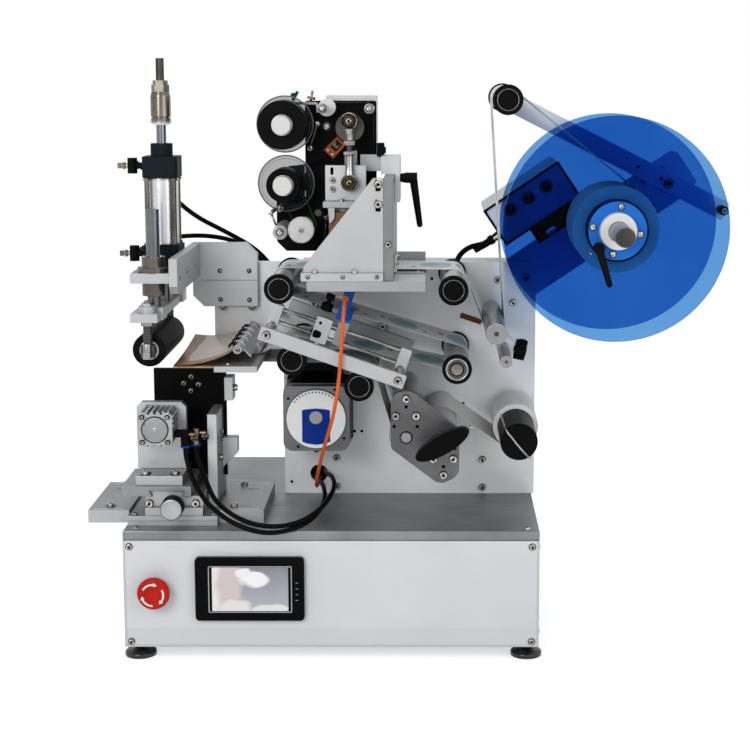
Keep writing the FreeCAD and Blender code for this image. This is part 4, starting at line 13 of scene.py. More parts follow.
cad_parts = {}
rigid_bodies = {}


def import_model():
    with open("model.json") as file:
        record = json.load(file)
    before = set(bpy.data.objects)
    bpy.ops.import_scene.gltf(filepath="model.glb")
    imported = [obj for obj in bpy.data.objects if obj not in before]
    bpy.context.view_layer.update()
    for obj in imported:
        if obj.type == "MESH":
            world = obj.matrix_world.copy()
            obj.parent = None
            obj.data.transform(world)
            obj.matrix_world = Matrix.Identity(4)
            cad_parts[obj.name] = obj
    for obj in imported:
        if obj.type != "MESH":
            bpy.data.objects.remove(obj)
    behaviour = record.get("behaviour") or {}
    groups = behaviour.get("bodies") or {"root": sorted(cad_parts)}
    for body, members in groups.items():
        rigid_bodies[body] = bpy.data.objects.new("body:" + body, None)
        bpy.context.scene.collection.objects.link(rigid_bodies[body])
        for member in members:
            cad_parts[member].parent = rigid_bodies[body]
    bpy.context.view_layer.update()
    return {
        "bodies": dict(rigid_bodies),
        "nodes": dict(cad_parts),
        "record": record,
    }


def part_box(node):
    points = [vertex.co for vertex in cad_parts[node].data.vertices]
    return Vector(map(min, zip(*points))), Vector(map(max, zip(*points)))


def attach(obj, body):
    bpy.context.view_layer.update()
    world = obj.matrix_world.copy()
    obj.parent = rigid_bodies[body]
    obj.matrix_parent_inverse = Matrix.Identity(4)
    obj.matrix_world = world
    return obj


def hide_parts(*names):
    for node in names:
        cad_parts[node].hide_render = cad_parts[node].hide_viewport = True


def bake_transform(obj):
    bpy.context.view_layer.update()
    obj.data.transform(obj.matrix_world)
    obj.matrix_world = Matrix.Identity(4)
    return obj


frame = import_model()

MM = 0.001
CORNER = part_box("base_cabinet")[0]


def at(x, y, z):
    return Vector((CORNER.x + x * MM, CORNER.y + y * MM, z * MM))


SLOT_OF = {part["node"]: part["material_slot"] for part in frame["record"]["subparts"]}
BODY_OF = {name: next(b for b, empty in frame["bodies"].items() if empty is node.parent)
    for name, node in frame["nodes"].items()}


# Camera, as the photograph was taken: a little above the press head's height

def set_camera():
    pitch, yaw, roll, focal = 0.1477, 0.005, 0.0024, 1615.52
    ahead = Vector((sin(yaw) * cos(pitch), cos(yaw) * cos(pitch), -sin(pitch)))
    right = Vector((cos(yaw), -sin(yaw), 0))
    up = right.cross(ahead)
    turned = Matrix.Rotation(-roll, 3, ahead)
    right, up = turned @ right, turned @ up
    data = bpy.data.cameras.new("camera")
    data.sensor_width = 36.0
    data.lens = focal / 750 * 36.0
    data.shift_x, data.shift_y = -0.0917, -0.0836
    data.clip_start, data.clip_end = 0.05, 20.0
    camera = bpy.data.objects.new("camera", data)
    axes = Matrix((right, up, -ahead)).transposed().to_4x4()
    camera.matrix_world = Matrix.Translation(at(382.32, -1913.40, 722.11)) @ axes
    bpy.context.collection.objects.link(camera)
    bpy.context.scene.camera = camera


set_camera()


# Finishes

class Finish:
    """A node material built up step by step on Object coordinates or a surface's own UV."""

    def __init__(self, name, uv=None):
        self.material = bpy.data.materials.new(name)
        self.material.use_nodes = True
        self.nodes = self.material.node_tree.nodes
        self.links = self.material.node_tree.links
        self.shader = self.nodes["Principled BSDF"]
        if uv:
            place = self.nodes.new("ShaderNodeUVMap")
            place.uv_map = uv
            self.place = place.outputs["UV"]
        else:
            self.place = self.nodes.new("ShaderNodeTexCoord").outputs["Object"]

    def node(self, kind, inputs=(), **settings):
        made = self.nodes.new(kind)
        for key, value in settings.items():
            setattr(made, key, value)
        for key, value in dict(inputs).items():
            if isinstance(value, bpy.types.NodeSocket):
                self.links.new(value, made.inputs[key])
            else:
                made.inputs[key].default_value = value
        return made

    def mapped(self, scale, turn=(0, 0, 0), shift=(0, 0, 0)):
        return self.node("ShaderNodeMapping", {"Vector": self.place, "Scale": scale, "Rotation": turn,
                "Location": shift}).outputs["Vector"]

    def noise(self, scale, stretch=(1, 1, 1), detail=3.0, rough=0.55, turn=(0, 0, 0)):
        spot = self.mapped(stretch, turn)
        return self.node("ShaderNodeTexNoise", {"Vector": spot, "Scale": scale, "Detail": detail,
                "Roughness": rough}).outputs["Fac"]

    def spread(self, value, low, high, start=0.3, end=0.7):
        return self.node("ShaderNodeMapRange", {"Value": value, "From Min": start, "From Max": end,
                "To Min": low, "To Max": high}).outputs["Result"]

    def mix(self, share, first, second, blend="MIX"):
        made = self.nodes.new("ShaderNodeMix")
        made.data_type = "RGBA"
        made.blend_type = blend
        for index, value in ((0, share), (6, first), (7, second)):
            if isinstance(value, bpy.types.NodeSocket):
                self.links.new(value, made.inputs[index])
            elif index == 0:
                made.inputs[0].default_value = value
            else:
                made.inputs[index].default_value = (*value[:3], 1.0)
        return made.outputs[2]

    def math(self, operation, first, second=0.0):
        return self.node("ShaderNodeMath", {0: first, 1: second}, operation=operation).outputs[0]

    def set(self, **values):
        for key, value in values.items():
            name = key.replace("_", " ")
            for socket in self.shader.inputs:
                if socket.name.lower() == name.lower():
                    if isinstance(value, bpy.types.NodeSocket):
                        self.links.new(value, socket)
                    else:
                        socket.default_value = (*value, 1.0) if socket.type == "RGBA" else value
        return self

    def bumps(self, height, strength, distance=0.0004):
        bump = self.node("ShaderNodeBump", {"Height": height, "Strength": strength, "Distance": distance})
        self.links.new(bump.outputs["Normal"], self.shader.inputs["Normal"])
        return self


def rgb(r, g, b):
    """An 8-bit screen colour as the shader's linear numbers."""
    return tuple((c / 255 / 12.92) if c <= 10 else ((c / 255 + 0.055) / 1.055) ** 2.4 for c in (r, g, b))


def worn(name, colour, shade, rough, metal=0.0, stretch=(1, 1, 1), grain=900, bump=0.12, cloud=14,
    turn=(0, 0, 0), **values):
    """Two close tones in soft clouds, crossed by the fine grain that also breaks the gloss."""
    f = Finish(name)
    clouds = f.noise(cloud, detail=4)
    lines = f.noise(grain, stretch, detail=4, turn=turn)
    tone = f.mix(f.spread(clouds, 0.0, 1.0, 0.35, 0.65), rgb(*colour), rgb(*shade))
    darker = tuple(c * 0.82 for c in rgb(*shade))
    tone = f.mix(f.spread(lines, 0.0, 0.32, 0.45, 0.75), tone, darker)
    f.set(base_color=tone, roughness=f.spread(lines, rough[0], rough[1]), metallic=metal, **values)
    f.bumps(lines, bump)
    return f.material


ALONG_X, ALONG_Z = (0.02, 1, 1), (1, 1, 0.02)
ROUND_Y = (0.05, 1.0, 0.05)
ROUND_Z = (0.05, 0.05, 1.0)

DULL = {"specular_ior_level": 0.03}


def screw_finish():
    """Bright steel heads, with painted shade, nearly black, in the driver recess and in the ring under the head.
    """
    f = Finish("screw_steel")
    grain = f.noise(1700, detail=4)
    tone = f.mix(f.spread(f.noise(240, detail=2), 0, 1, 0.4, 0.6), rgb(196, 192, 184), rgb(126, 121, 114))
    shade = f.node("ShaderNodeAttribute", attribute_name="in_shadow").outputs["Fac"]
    f.set(base_color=f.mix(shade, tone, rgb(14, 13, 13)), roughness=f.spread(grain, 0.2, 0.38),
        metallic=f.spread(shade, 1.0, 0.0, 0.0, 1.0), specular_ior_level=0.15)
    f.bumps(grain, 0.06)
    return f.material


MATERIALS = {
    "cabinet_paint": worn("cabinet_powder_coat", (201, 204, 206), (198, 201, 203), (0.42, 0.58), grain=1500,
        bump=0.22),
    "deck_plate": worn("deck_brushed_aluminium", (132, 134, 136), (112, 114, 116), (0.34, 0.52), metal=0.6,
        stretch=ALONG_X, grain=700, bump=0.16),
    "panel": worn("panel_sandblasted_aluminium", (224, 226, 228), (214, 216, 219), (0.45, 0.6), metal=0.3,
        grain=1600, bump=0.1),
    "aluminium": worn("milled_aluminium", (172, 173, 175), (163, 165, 167), (0.36, 0.48), metal=0.4,
        stretch=(0.3, 1, 1), grain=1500, bump=0.06),
    "aluminium_y": worn("milled_aluminium_lengthways", (172, 173, 175), (162, 164, 166), (0.36, 0.48),
        metal=0.4, stretch=(1, 0.3, 1), grain=1500, bump=0.06),
    "aluminium_z": worn("milled_aluminium_upright", (190, 191, 193), (180, 182, 184), (0.36, 0.48), metal=0.4,
        stretch=(1, 1, 0.3), grain=1500, bump=0.06),
    # Painted shade: these three are the same milled aluminium made darker for lower fronts, for tops and for
    # sides; the top tone also serves as a plain darker aluminium.
    "aluminium_front_shade": worn("aluminium_painted_front_shade", (152, 153, 155), (142, 144, 146), (0.36, 0.48), metal=0.4,
        stretch=ALONG_X, grain=900, bump=0.12, cloud=9),
    "ground_top": worn("dark_aluminium_and_painted_top_shade", (142, 143, 145), (128, 130, 132), (0.36, 0.5), metal=0.4,
        stretch=(0.2, 1, 1), grain=1300, bump=0.08),
    "ground_side": worn("aluminium_painted_side_shade", (120, 121, 123), (108, 110, 112), (0.36, 0.5), metal=0.4,
        stretch=(1, 0.2, 1), grain=1300, bump=0.08),
    "bright_tube": worn("bright_cylinder_tube", (206, 208, 211), (192, 194, 197), (0.22, 0.28), metal=0.7,
        stretch=(1, 1, 0.03), grain=1200, bump=0.004),
    "support_plate": worn("anodised_reel_support", (232, 233, 235), (222, 224, 226), (0.4, 0.54), metal=0.2,
        grain=1500, bump=0.06),
    "guide_steel": worn("hardened_guide_rod", (118, 120, 124), (92, 94, 98), (0.12, 0.22), metal=1.0,
        stretch=(1, 1, 0.03), grain=1200, bump=0.03),
    "rod_frosted": worn("frosted_film_rod", (176, 180, 184), (158, 162, 167), (0.4, 0.52), metal=0.3,
        grain=1500, bump=0.1),
    "smoky_clear": worn("clear_foil_disc", (44, 48, 53), (34, 38, 43), (0.16, 0.26), grain=900, bump=0.04,
        alpha=0.36, **DULL),
    "turned_aluminium": worn("turned_aluminium", (166, 167, 168), (142, 144, 146), (0.28, 0.44), metal=0.8,
        stretch=ROUND_Y, grain=1400, bump=0.14),
    "steel": worn("ground_steel", (158, 158, 158), (128, 129, 130), (0.2, 0.36), metal=1.0, grain=1300,
        bump=0.06),
    "plate_steel": worn("brushed_bearing_plate", (102, 102, 104), (82, 82, 85), (0.3, 0.46), metal=0.8,
        stretch=ALONG_X, grain=900, bump=0.1),
    "dark_steel": worn("oiled_steel", (84, 80, 77), (58, 55, 53), (0.28, 0.45), metal=1.0, grain=1200,
        bump=0.1),
    "chrome": worn("hard_chrome", (172, 171, 170), (136, 134, 132), (0.1, 0.18), metal=1.0, grain=1700,
        bump=0.015, cloud=40),
    "nickel": worn("nickel_plate", (124, 117, 110), (84, 78, 72), (0.14, 0.26), metal=1.0, stretch=ROUND_Z,
        grain=900, bump=0.04),
    "brass": worn("brass", (150, 130, 108), (102, 86, 70), (0.2, 0.34), metal=1.0, grain=1300, bump=0.08),
    "bronze": worn("bronze_bearing_ring", (128, 94, 56), (92, 66, 40), (0.2, 0.36), metal=1.0, grain=1200,
        bump=0.06),
    "copper": worn("copper_heater", (138, 92, 54), (106, 70, 42), (0.3, 0.46), metal=0.2, grain=700, bump=0.12),
    "screw": screw_finish(),
    "black_plastic": worn("black_moulded_plastic", (15, 15, 16), (10, 10, 11), (0.38, 0.55), grain=2200,
        bump=0.14, **DULL),
    "gloss_black": worn("black_gloss_moulding", (10, 10, 11), (7, 7, 8), (0.14, 0.26), grain=600, bump=0.03,
        **DULL),
    "lens_black": worn("black_gloss_handle", (10, 10, 11), (7, 7, 8), (0.2, 0.32), grain=600, bump=0.02,
        **DULL),
    "foot_black": worn("black_levelling_foot", (16, 16, 17), (10, 10, 11), (0.22, 0.36), grain=900, bump=0.06),
    "black_cast": worn("black_cast_enamel", (24, 33, 38), (17, 25, 30), (0.42, 0.58), grain=1100, bump=0.3,
        **DULL),
    "black_anodised": worn("black_anodised_plate", (14, 14, 15), (9, 9, 10), (0.34, 0.5), stretch=ALONG_Z,
        grain=1000, bump=0.1, **DULL),
    "shadow": worn("hole_in_shadow", (7, 7, 8), (4, 4, 5), (0.7, 0.9), grain=900, bump=0.05, **DULL),
    "red_plastic": worn("stop_red", (196, 46, 34), (172, 34, 26), (0.24, 0.36), grain=1500, bump=0.06, **DULL),
    "white_plastic": worn("white_moulded_plastic", (216, 217, 217), (204, 205, 206), (0.36, 0.5), grain=2000,
        bump=0.1),
    "print_white": worn("white_print", (222, 223, 223), (214, 215, 216), (0.4, 0.55), grain=1800, bump=0.06),
    "print_black": worn("black_print", (20, 20, 22), (13, 13, 14), (0.4, 0.55), grain=1800, bump=0.06, **DULL),
    "print_blue": worn("blue_print", (22, 54, 142), (16, 44, 124), (0.36, 0.5), grain=1500, bump=0.05, **DULL),
    "print_grey": worn("grey_print", (150, 150, 150), (138, 138, 139), (0.4, 0.5), grain=1500, bump=0.05),
    "speckled": worn("hub_cast_white", (214, 214, 213), (190, 190, 189), (0.5, 0.66), grain=2600, bump=0.35,
        cloud=900),
    "frosted": worn("frosted_clear_plastic", (198, 202, 206), (182, 187, 192), (0.3, 0.44), grain=1800,
        bump=0.1, alpha=0.62),
    "press_rubber": worn("black_press_rubber", (20, 20, 21), (11, 11, 12), (0.42, 0.6), grain=1500, bump=0.2,
        **DULL),
    "drive_rubber": worn("grey_drive_rubber", (168, 171, 174), (150, 153, 157), (0.45, 0.6), grain=1700,
        stretch=ROUND_Y, bump=0.2),
    "hub_blue": worn("blue_hub_plastic", (44, 116, 206), (34, 100, 190), (0.3, 0.44), grain=1500, bump=0.1,
        **DULL),
    "hub_navy": worn("navy_hub_rim", (8, 18, 46), (6, 12, 34), (0.3, 0.44), grain=1500, bump=0.1, **DULL),
    "paper": worn("label_roll_paper", (214, 216, 215), (198, 200, 200), (0.6, 0.76), stretch=(1, 0.02, 1),
        grain=1800, bump=0.12),
    "cream_paper": worn("cream_paper_edge", (216, 212, 196), (202, 198, 182), (0.6, 0.76), grain=2200,
        bump=0.2),
    "ribbon": worn("wound_foil_ribbon", (13, 13, 14), (8, 8, 9), (0.3, 0.48), stretch=(0.1, 1, 0.1),
        grain=1400, bump=0.1, **DULL),
    "tube_black": worn("black_air_tube", (12, 12, 13), (8, 8, 9), (0.26, 0.4), grain=500, bump=0.08, **DULL),
    "cable_black": worn("black_cable_sheath", (14, 14, 15), (10, 10, 11), (0.45, 0.6), grain=900, bump=0.14,
        **DULL),
    "cable_orange": worn("orange_cable_sheath", (214, 100, 50), (194, 86, 40), (0.42, 0.55), grain=700,
        bump=0.12, **DULL),
    "sensor_blue": worn("blue_sensor_shell", (32, 96, 172), (24, 80, 152), (0.3, 0.44), grain=1500, bump=0.08,
        **DULL),
    "collar_blue": worn("blue_release_collar", (30, 66, 156), (22, 52, 130), (0.3, 0.44), grain=1500, bump=0.08,
        **DULL),
    "belt_green": worn("green_drive_belt", (36, 84, 40), (26, 66, 30), (0.4, 0.55), grain=900, bump=0.1,
        **DULL),
    "belt_black": worn("black_timing_belt", (18, 18, 19), (12, 12, 13), (0.5, 0.66), grain=900, bump=0.2,
        **DULL),
    "orange_plastic": worn("orange_sensor_shell", (158, 84, 46), (134, 68, 38), (0.32, 0.46), grain=1500,
        bump=0.08, **DULL),
    "brown_strip": worn("brown_notched_strip", (112, 74, 46), (88, 58, 38), (0.4, 0.56), grain=900, bump=0.12,
        **DULL), }


def clear_blue():
    """Cast acrylic, tinted through and faintly scuffed by handling."""
    f = Finish("blue_cast_acrylic")
    tone = f.mix(f.spread(f.noise(9, detail=3), 0, 1, 0.4, 0.6), rgb(92, 150, 212), rgb(100, 156, 214))
    scuffs = f.noise(420, (1, 1, 0.2), detail=6, rough=0.7)
    f.set(base_color=tone, roughness=f.spread(scuffs, 0.02, 0.09, 0.5, 0.8), transmission_weight=1.0, ior=1.08,
        specular_ior_level=0.5)
    f.bumps(scuffs, 0.02)
    return f.material


MATERIALS["acrylic"] = clear_blue()


# Meshes from the CAD solids

def into(obj, body, slot, *nodes):
    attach(obj, body)
    if nodes:
        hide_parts(*nodes)
    return obj


def shaded(obj, bevel, angle=38):
    """Soft edges and even shading, as live modifiers."""
    for face in obj.data.polygons:
        face.use_smooth = True
    if bevel:
        edge = obj.modifiers.new("edge", "BEVEL")
        edge.width = bevel * MM
        edge.segments = 2
        edge.limit_method = "ANGLE"
        edge.angle_limit = radians(angle)
        edge.harden_normals = True
        edge.miter_outer = "MITER_ARC"
    even = obj.modifiers.new("even", "WEIGHTED_NORMAL")
    even.keep_sharp = True
    return obj


def new_object(name, bm, material):
    mesh = bpy.data.meshes.new(name)
    bm.to_mesh(mesh)
    bm.free()
    obj = bpy.data.objects.new(name, mesh)
    bpy.context.collection.objects.link(obj)
    for one in (material if isinstance(material, (list, tuple)) else [material]):
        mesh.materials.append(MATERIALS.get(one, one) if isinstance(one, str) else one)
    return obj


def solids_of(node):
    """The node's solids as separate meshes of merged faces, with their box centres.

    Solids that touch share corners after merging, so faces are only joined across edges with two faces.
    """
    whole = bmesh.new()
    whole.from_mesh(frame["nodes"][node].data)
    bmesh.ops.remove_doubles(whole, verts=whole.verts, dist=2e-6)
    left, made = set(whole.faces), []
    while left:
        group, stack = [], [left.pop()]
        while stack:
            face = stack.pop()
            group.append(face)
            for edge in face.edges:
                if len(edge.link_faces) == 2:
                    for other in edge.link_faces:
                        if other in left:
                            left.remove(other)
                            stack.append(other)
        part, twin = bmesh.new(), {}
        for face in group:
            for vert in face.verts:
                if vert not in twin:
                    twin[vert] = part.verts.new(vert.co)
            part.faces.new([twin[vert] for vert in face.verts])
        low = Vector([min(v.co[i] for v in part.verts) for i in range(3)])
        high = Vector([max(v.co[i] for v in part.verts) for i in range(3)])
        made.append((part, (low + high) / 2))
    whole.free()
    return made


def tint(obj, rule):
    """Gives single faces another finish, chosen from their middle in millimetres."""
    slots = {}
    for face in obj.data.polygons:
        x, y, z = (face.center - CORNER) / MM
        finish = rule(x, y, face.center.z / MM, face.normal)
        if finish:
            if finish not in slots:
                obj.data.materials.append(MATERIALS[finish])
                slots[finish] = len(obj.data.materials) - 1
            face.material_index = slots[finish]


def dress(node, default, parts=(), bevel=0.6, rule=None):
    """The node's solids with a finish each; a part is chosen by the place of its box's middle."""
    solids = solids_of(node)
    chosen = [default] * len(solids)
    for x, y, z, finish in parts:
        spot = at(x, y, z)
        nearest = min(range(len(solids)), key=lambda i: (solids[i][1] - spot).length)
        chosen[nearest] = finish
    made = {}
    for finish in dict.fromkeys(chosen):
        joined = bmesh.new()
        for (part, _), name in zip(solids, chosen):
            if name == finish:
                piece = bpy.data.meshes.new("solid")
                part.to_mesh(piece)
                joined.from_mesh(piece)
                bpy.data.meshes.remove(piece)
        if finish is None:
            joined.free()
            continue
        bmesh.ops.dissolve_limit(joined, angle_limit=radians(0.4), verts=joined.verts, edges=joined.edges)
        title = node if len(set(chosen)) == 1 else node + "." + finish
        obj = new_object(title + "_dressed", joined, finish)
        if rule:
            tint(obj, rule)
        shaded(obj, bevel)
        made[finish] = into(obj, BODY_OF[node], SLOT_OF[node], node)
    for part, _ in solids:
        part.free()
    return made


# Cords

CORDS = {
    "front_air_tube_1": (3.0, 0.417, [
        (72.6, 42, 262), (72.6, 42, 252), (77, 37, 236), (87, 25, 216), (106, 8, 195), (140, -7, 175.5),
        (176, -12, 166.5), (208, -6, 170), (232, 16, 177), (244, 60, 188), (239, 112, 196), (226, 152, 194),
        (222.6, 200, 192)]),
    "front_air_tube_2": (3.0, 0.401, [
        (84.6, 52, 262), (84.6, 52, 253), (88.5, 48, 240), (98, 35, 222), (112, 12, 200), (145, -4, 181),
        (181, -7, 173), (214, -1, 176.5), (240, 22, 186.5), (256, 70, 201), (250, 116, 207), (237, 154, 201),
        (232.6, 200, 197)]),
    "rear_air_tube_1": (3.0, 0.321, [
        (8, 101, 607.5), (8, 109, 607.5), (9, 124, 605), (17, 152, 594), (37, 178, 566), (66, 192, 536),
        (108, 200, 513.5), (146, 206, 491), (168, 211, 464), (184, 212, 444), (212, 212, 440)]),
    "rear_air_tube_2": (3.0, 0.302, [
        (8, 101, 498.5), (8, 109, 498.5), (10, 126, 500), (22, 160, 506), (50, 186, 510), (86, 202, 509),
        (122, 211, 500), (150, 219, 478), (164, 224, 450), (182, 226, 428), (212, 226, 422)]),
    "sensor_cable": (2.2, 0.468, [
        (272.66, 56, 423.86), (272.66, 44, 423.86), (273.5, 18, 457), (273, -18, 442), (270.5, -21, 398),
        (266.5, -21, 352), (259.5, -14, 312), (246, 14, 268), (235, 58, 226), (229.5, 100, 197),
        (228.5, 142, 187.5), (228.4, 200, 187)]),
    "control_box_cable": (3.5, 0.086, [
        (456.42, 220, 502.40), (448.13, 220, 496.80), (424, 223, 492), (408, 224, 474), (402, 224, 446)]), }


def route_curve(name, points, radius):
    """One open NURBS spline with the route's points as its control points."""
    curve = bpy.data.curves.new(name, "CURVE")
    curve.dimensions = "3D"
    spline = curve.splines.new("NURBS")
    spline.points.add(len(points) - 1)
    for point, place in zip(spline.points, points):
        point.co = (*at(*place), 1.0)
    spline.order_u = 3
    spline.use_endpoint_u = True
    spline.resolution_u = 12
    curve.bevel_depth = radius * MM
    curve.bevel_resolution = 6
    curve.use_fill_caps = True
    return curve


def centreline(name, points):
    """Points along the route's own NURBS spline."""
    obj = bpy.data.objects.new(name + "_line", route_curve(name + "_line", points, 0.0))
    bpy.context.collection.objects.link(obj)
    bpy.context.view_layer.update()
    mesh = bpy.data.meshes.new_from_object(obj.evaluated_get(bpy.context.evaluated_depsgraph_get()))
    line = [vert.co.copy() for vert in mesh.vertices]
    bpy.data.objects.remove(obj)
    return line


def swept(line, radius, sides=16):
    """A round tube along a line of points, its rings carried round without a twist."""
    bm = bmesh.new()
    rings = []
    side = None
    for i, point in enumerate(line):
        ahead = (line[min(i + 1, len(line) - 1)] - line[max(i - 1, 0)]).normalized()
        side = ahead.orthogonal() if side is None else side - ahead * side.dot(ahead)
        side.normalize()
        across = ahead.cross(side)
        rings.append([bm.verts.new(point + (side * cos(a) + across * sin(a)) * radius)
                for a in (2 * pi * k / sides for k in range(sides))])
    for a, b in zip(rings, rings[1:]):
        for k in range(sides):
            bm.faces.new((a[k], a[(k + 1) % sides], b[(k + 1) % sides], b[k]))
    bm.faces.new(rings[0][::-1])
    bm.faces.new(rings[-1])
    bmesh.ops.recalc_face_normals(bm, faces=bm.faces)
    return bm


def fixed_cord(name, finish):
    """A cord with both its ends on the machine's frame."""
    radius, length, points = CORDS[name]
    obj = bpy.data.objects.new(name + "_sheath", route_curve(name, points, radius))
    obj.data.materials.append(MATERIALS[finish])
    bpy.context.collection.objects.link(obj)
    into(obj, BODY_OF[name], SLOT_OF[name], name)
    return obj


def moving_cord(name, finish):
    """A cord from a moving part back to the frame, drawn as one tube along its route, left in the world frame."""
    radius, length, points = CORDS[name]
    line = centreline(name, points)
    obj = new_object(name + "_sheath", swept(line, radius * MM), finish)
    for face in obj.data.polygons:
        face.use_smooth = len(face.vertices) == 4
    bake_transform(obj)
    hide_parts(name)
    return obj


fixed_cord("rear_air_tube_1", "tube_black")
fixed_cord("rear_air_tube_2", "tube_black")
fixed_cord("control_box_cable", "cable_black")
moving_cord("front_air_tube_1", "tube_black")
moving_cord("front_air_tube_2", "tube_black")
moving_cord("sensor_cable", "cable_orange")


# Geometry Nodes: screw heads on a set of points, parts spaced round an axis or along a row

def tree_with(name, sockets):
    tree = bpy.data.node_groups.new(name, "GeometryNodeTree")
    for title, kind, default in sockets:
        socket = tree.interface.new_socket(title, in_out="INPUT", socket_type=kind)
        if default is not None:
            socket.default_value = default
    tree.interface.new_socket("Geometry", in_out="OUTPUT", socket_type="NodeSocketGeometry")
    return tree, tree.nodes.new("NodeGroupInput"), tree.nodes.new("NodeGroupOutput")


def finish_tree(tree, given, out, instances):
    real = tree.nodes.new("GeometryNodeRealizeInstances")
    paint = tree.nodes.new("GeometryNodeSetMaterial")
    tree.links.new(instances, real.inputs["Geometry"])
    tree.links.new(real.outputs["Geometry"], paint.inputs["Geometry"])
    tree.links.new(given.outputs["Finish"], paint.inputs["Material"])
    tree.links.new(paint.outputs["Geometry"], out.inputs["Geometry"])


def screw_tree():
    """A head on each point, turned to the point's facing, grown to its size."""
    tree, given, out = tree_with("screw_heads", [
            ("Places", "NodeSocketGeometry", None), ("Head", "NodeSocketObject", None),
            ("Finish", "NodeSocketMaterial", None), ("Head Radius", "NodeSocketFloat", 1.0)])
    info = tree.nodes.new("GeometryNodeObjectInfo")
    facing = tree.nodes.new("GeometryNodeInputNamedAttribute")
    facing.data_type = "FLOAT_VECTOR"
    facing.inputs["Name"].default_value = "facing"
    size = tree.nodes.new("GeometryNodeInputNamedAttribute")
    size.data_type = "FLOAT"
    size.inputs["Name"].default_value = "size"
    grow = tree.nodes.new("ShaderNodeMath")
    grow.operation = "MULTIPLY"
    turn = tree.nodes.new("FunctionNodeAlignRotationToVector")
    turn.axis = "Z"
    spin = tree.nodes.new("FunctionNodeRotateRotation")
    spin.rotation_space = "LOCAL"
    around = tree.nodes.new("FunctionNodeAxisAngleToRotation")
    chance = tree.nodes.new("FunctionNodeRandomValue")
    chance.inputs["Seed"].default_value = 7
    chance.inputs[3].default_value = 3.14
    spots = tree.nodes.new("GeometryNodeInstanceOnPoints")
    link = tree.links.new
    link(given.outputs["Head"], info.inputs["Object"])
    link(given.outputs["Places"], spots.inputs["Points"])
    link(info.outputs["Geometry"], spots.inputs["Instance"])
    link(facing.outputs["Attribute"], turn.inputs["Vector"])
    link(turn.outputs["Rotation"], spin.inputs["Rotation"])
    link(chance.outputs[1], around.inputs["Angle"])
    link(around.outputs["Rotation"], spin.inputs["Rotate By"])
    link(spin.outputs["Rotation"], spots.inputs["Rotation"])
    link(size.outputs["Attribute"], grow.inputs[0])
    link(given.outputs["Head Radius"], grow.inputs[1])
    link(grow.outputs["Value"], spots.inputs["Scale"])
    finish_tree(tree, given, out, spots.outputs["Instances"])
    return tree


def ring_tree():
    """Copies of a part spaced evenly round the Y axis through a centre."""
    tree, given, out = tree_with("parts_round_an_axis", [
            ("Places", "NodeSocketGeometry", None), ("Part", "NodeSocketObject", None),
            ("Finish", "NodeSocketMaterial", None), ("Count", "NodeSocketInt", 12),
            ("Centre", "NodeSocketVector", None), ("First Angle", "NodeSocketFloat", 0.0),
            ("Sweep", "NodeSocketFloat", 2 * pi)])
    link = tree.links.new
    info = tree.nodes.new("GeometryNodeObjectInfo")
    line = tree.nodes.new("GeometryNodeMeshLine")
    index = tree.nodes.new("GeometryNodeInputIndex")
    step = tree.nodes.new("ShaderNodeMath")
    step.operation = "DIVIDE"
    angle = tree.nodes.new("ShaderNodeMath")
    angle.operation = "MULTIPLY_ADD"
    pack = tree.nodes.new("ShaderNodeCombineXYZ")
    spots = tree.nodes.new("GeometryNodeInstanceOnPoints")
    line.inputs["Offset"].default_value = (0, 0, 0)
    link(given.outputs["Part"], info.inputs["Object"])
    link(given.outputs["Count"], line.inputs["Count"])
    link(given.outputs["Centre"], line.inputs["Start Location"])
    link(given.outputs["Sweep"], step.inputs[0])
    link(given.outputs["Count"], step.inputs[1])
    link(index.outputs["Index"], angle.inputs[0])
    link(step.outputs["Value"], angle.inputs[1])
    link(given.outputs["First Angle"], angle.inputs[2])
    link(angle.outputs["Value"], pack.inputs["Y"])
    link(line.outputs["Mesh"], spots.inputs["Points"])
    link(info.outputs["Geometry"], spots.inputs["Instance"])
    link(pack.outputs["Vector"], spots.inputs["Rotation"])
    finish_tree(tree, given, out, spots.outputs["Instances"])
    return tree


def row_tree():
    """Copies of a part at equal steps from a first place to a last one."""
    tree, given, out = tree_with("parts_in_a_row", [
            ("Places", "NodeSocketGeometry", None), ("Part", "NodeSocketObject", None),
            ("Finish", "NodeSocketMaterial", None), ("Count", "NodeSocketInt", 5),
            ("First", "NodeSocketVector", None), ("Last", "NodeSocketVector", None)])
    link = tree.links.new
    info = tree.nodes.new("GeometryNodeObjectInfo")
    line = tree.nodes.new("GeometryNodeMeshLine")
    line.mode = "END_POINTS"
    spots = tree.nodes.new("GeometryNodeInstanceOnPoints")
    link(given.outputs["Part"], info.inputs["Object"])
    link(given.outputs["Count"], line.inputs["Count"])
    link(given.outputs["First"], line.inputs["Start Location"])
    link(given.outputs["Last"], line.inputs["Offset"])
    link(line.outputs["Mesh"], spots.inputs["Points"])
    link(info.outputs["Geometry"], spots.inputs["Instance"])
    finish_tree(tree, given, out, spots.outputs["Instances"])
    return tree


SCREW_TREE, RING_TREE, ROW_TREE = screw_tree(), ring_tree(), row_tree()


def grown(name, tree, base, values, finish):
    """What a tree grows from a base mesh, as a plain mesh object."""
    host = bpy.data.objects.new(name + "_host", base)
    bpy.context.collection.objects.link(host)
    modifier = host.modifiers.new("grow", "NODES")
    modifier.node_group = tree
    for item in tree.interface.items_tree:
        if item.in_out == "INPUT" and item.name in values:
            modifier[item.identifier] = values[item.name]
        elif item.in_out == "INPUT" and item.name == "Finish":
            modifier[item.identifier] = MATERIALS[finish]
    bpy.context.view_layer.update()
    graph = bpy.context.evaluated_depsgraph_get()
    mesh = bpy.data.meshes.new_from_object(host.evaluated_get(graph))
    mesh.name = name
    host.modifiers.remove(modifier)
    bpy.data.objects.remove(host)
    obj = bpy.data.objects.new(name, mesh)
    bpy.context.collection.objects.link(obj)
    return obj


# Small meshes, in millimetres from their own middle unless a place is given

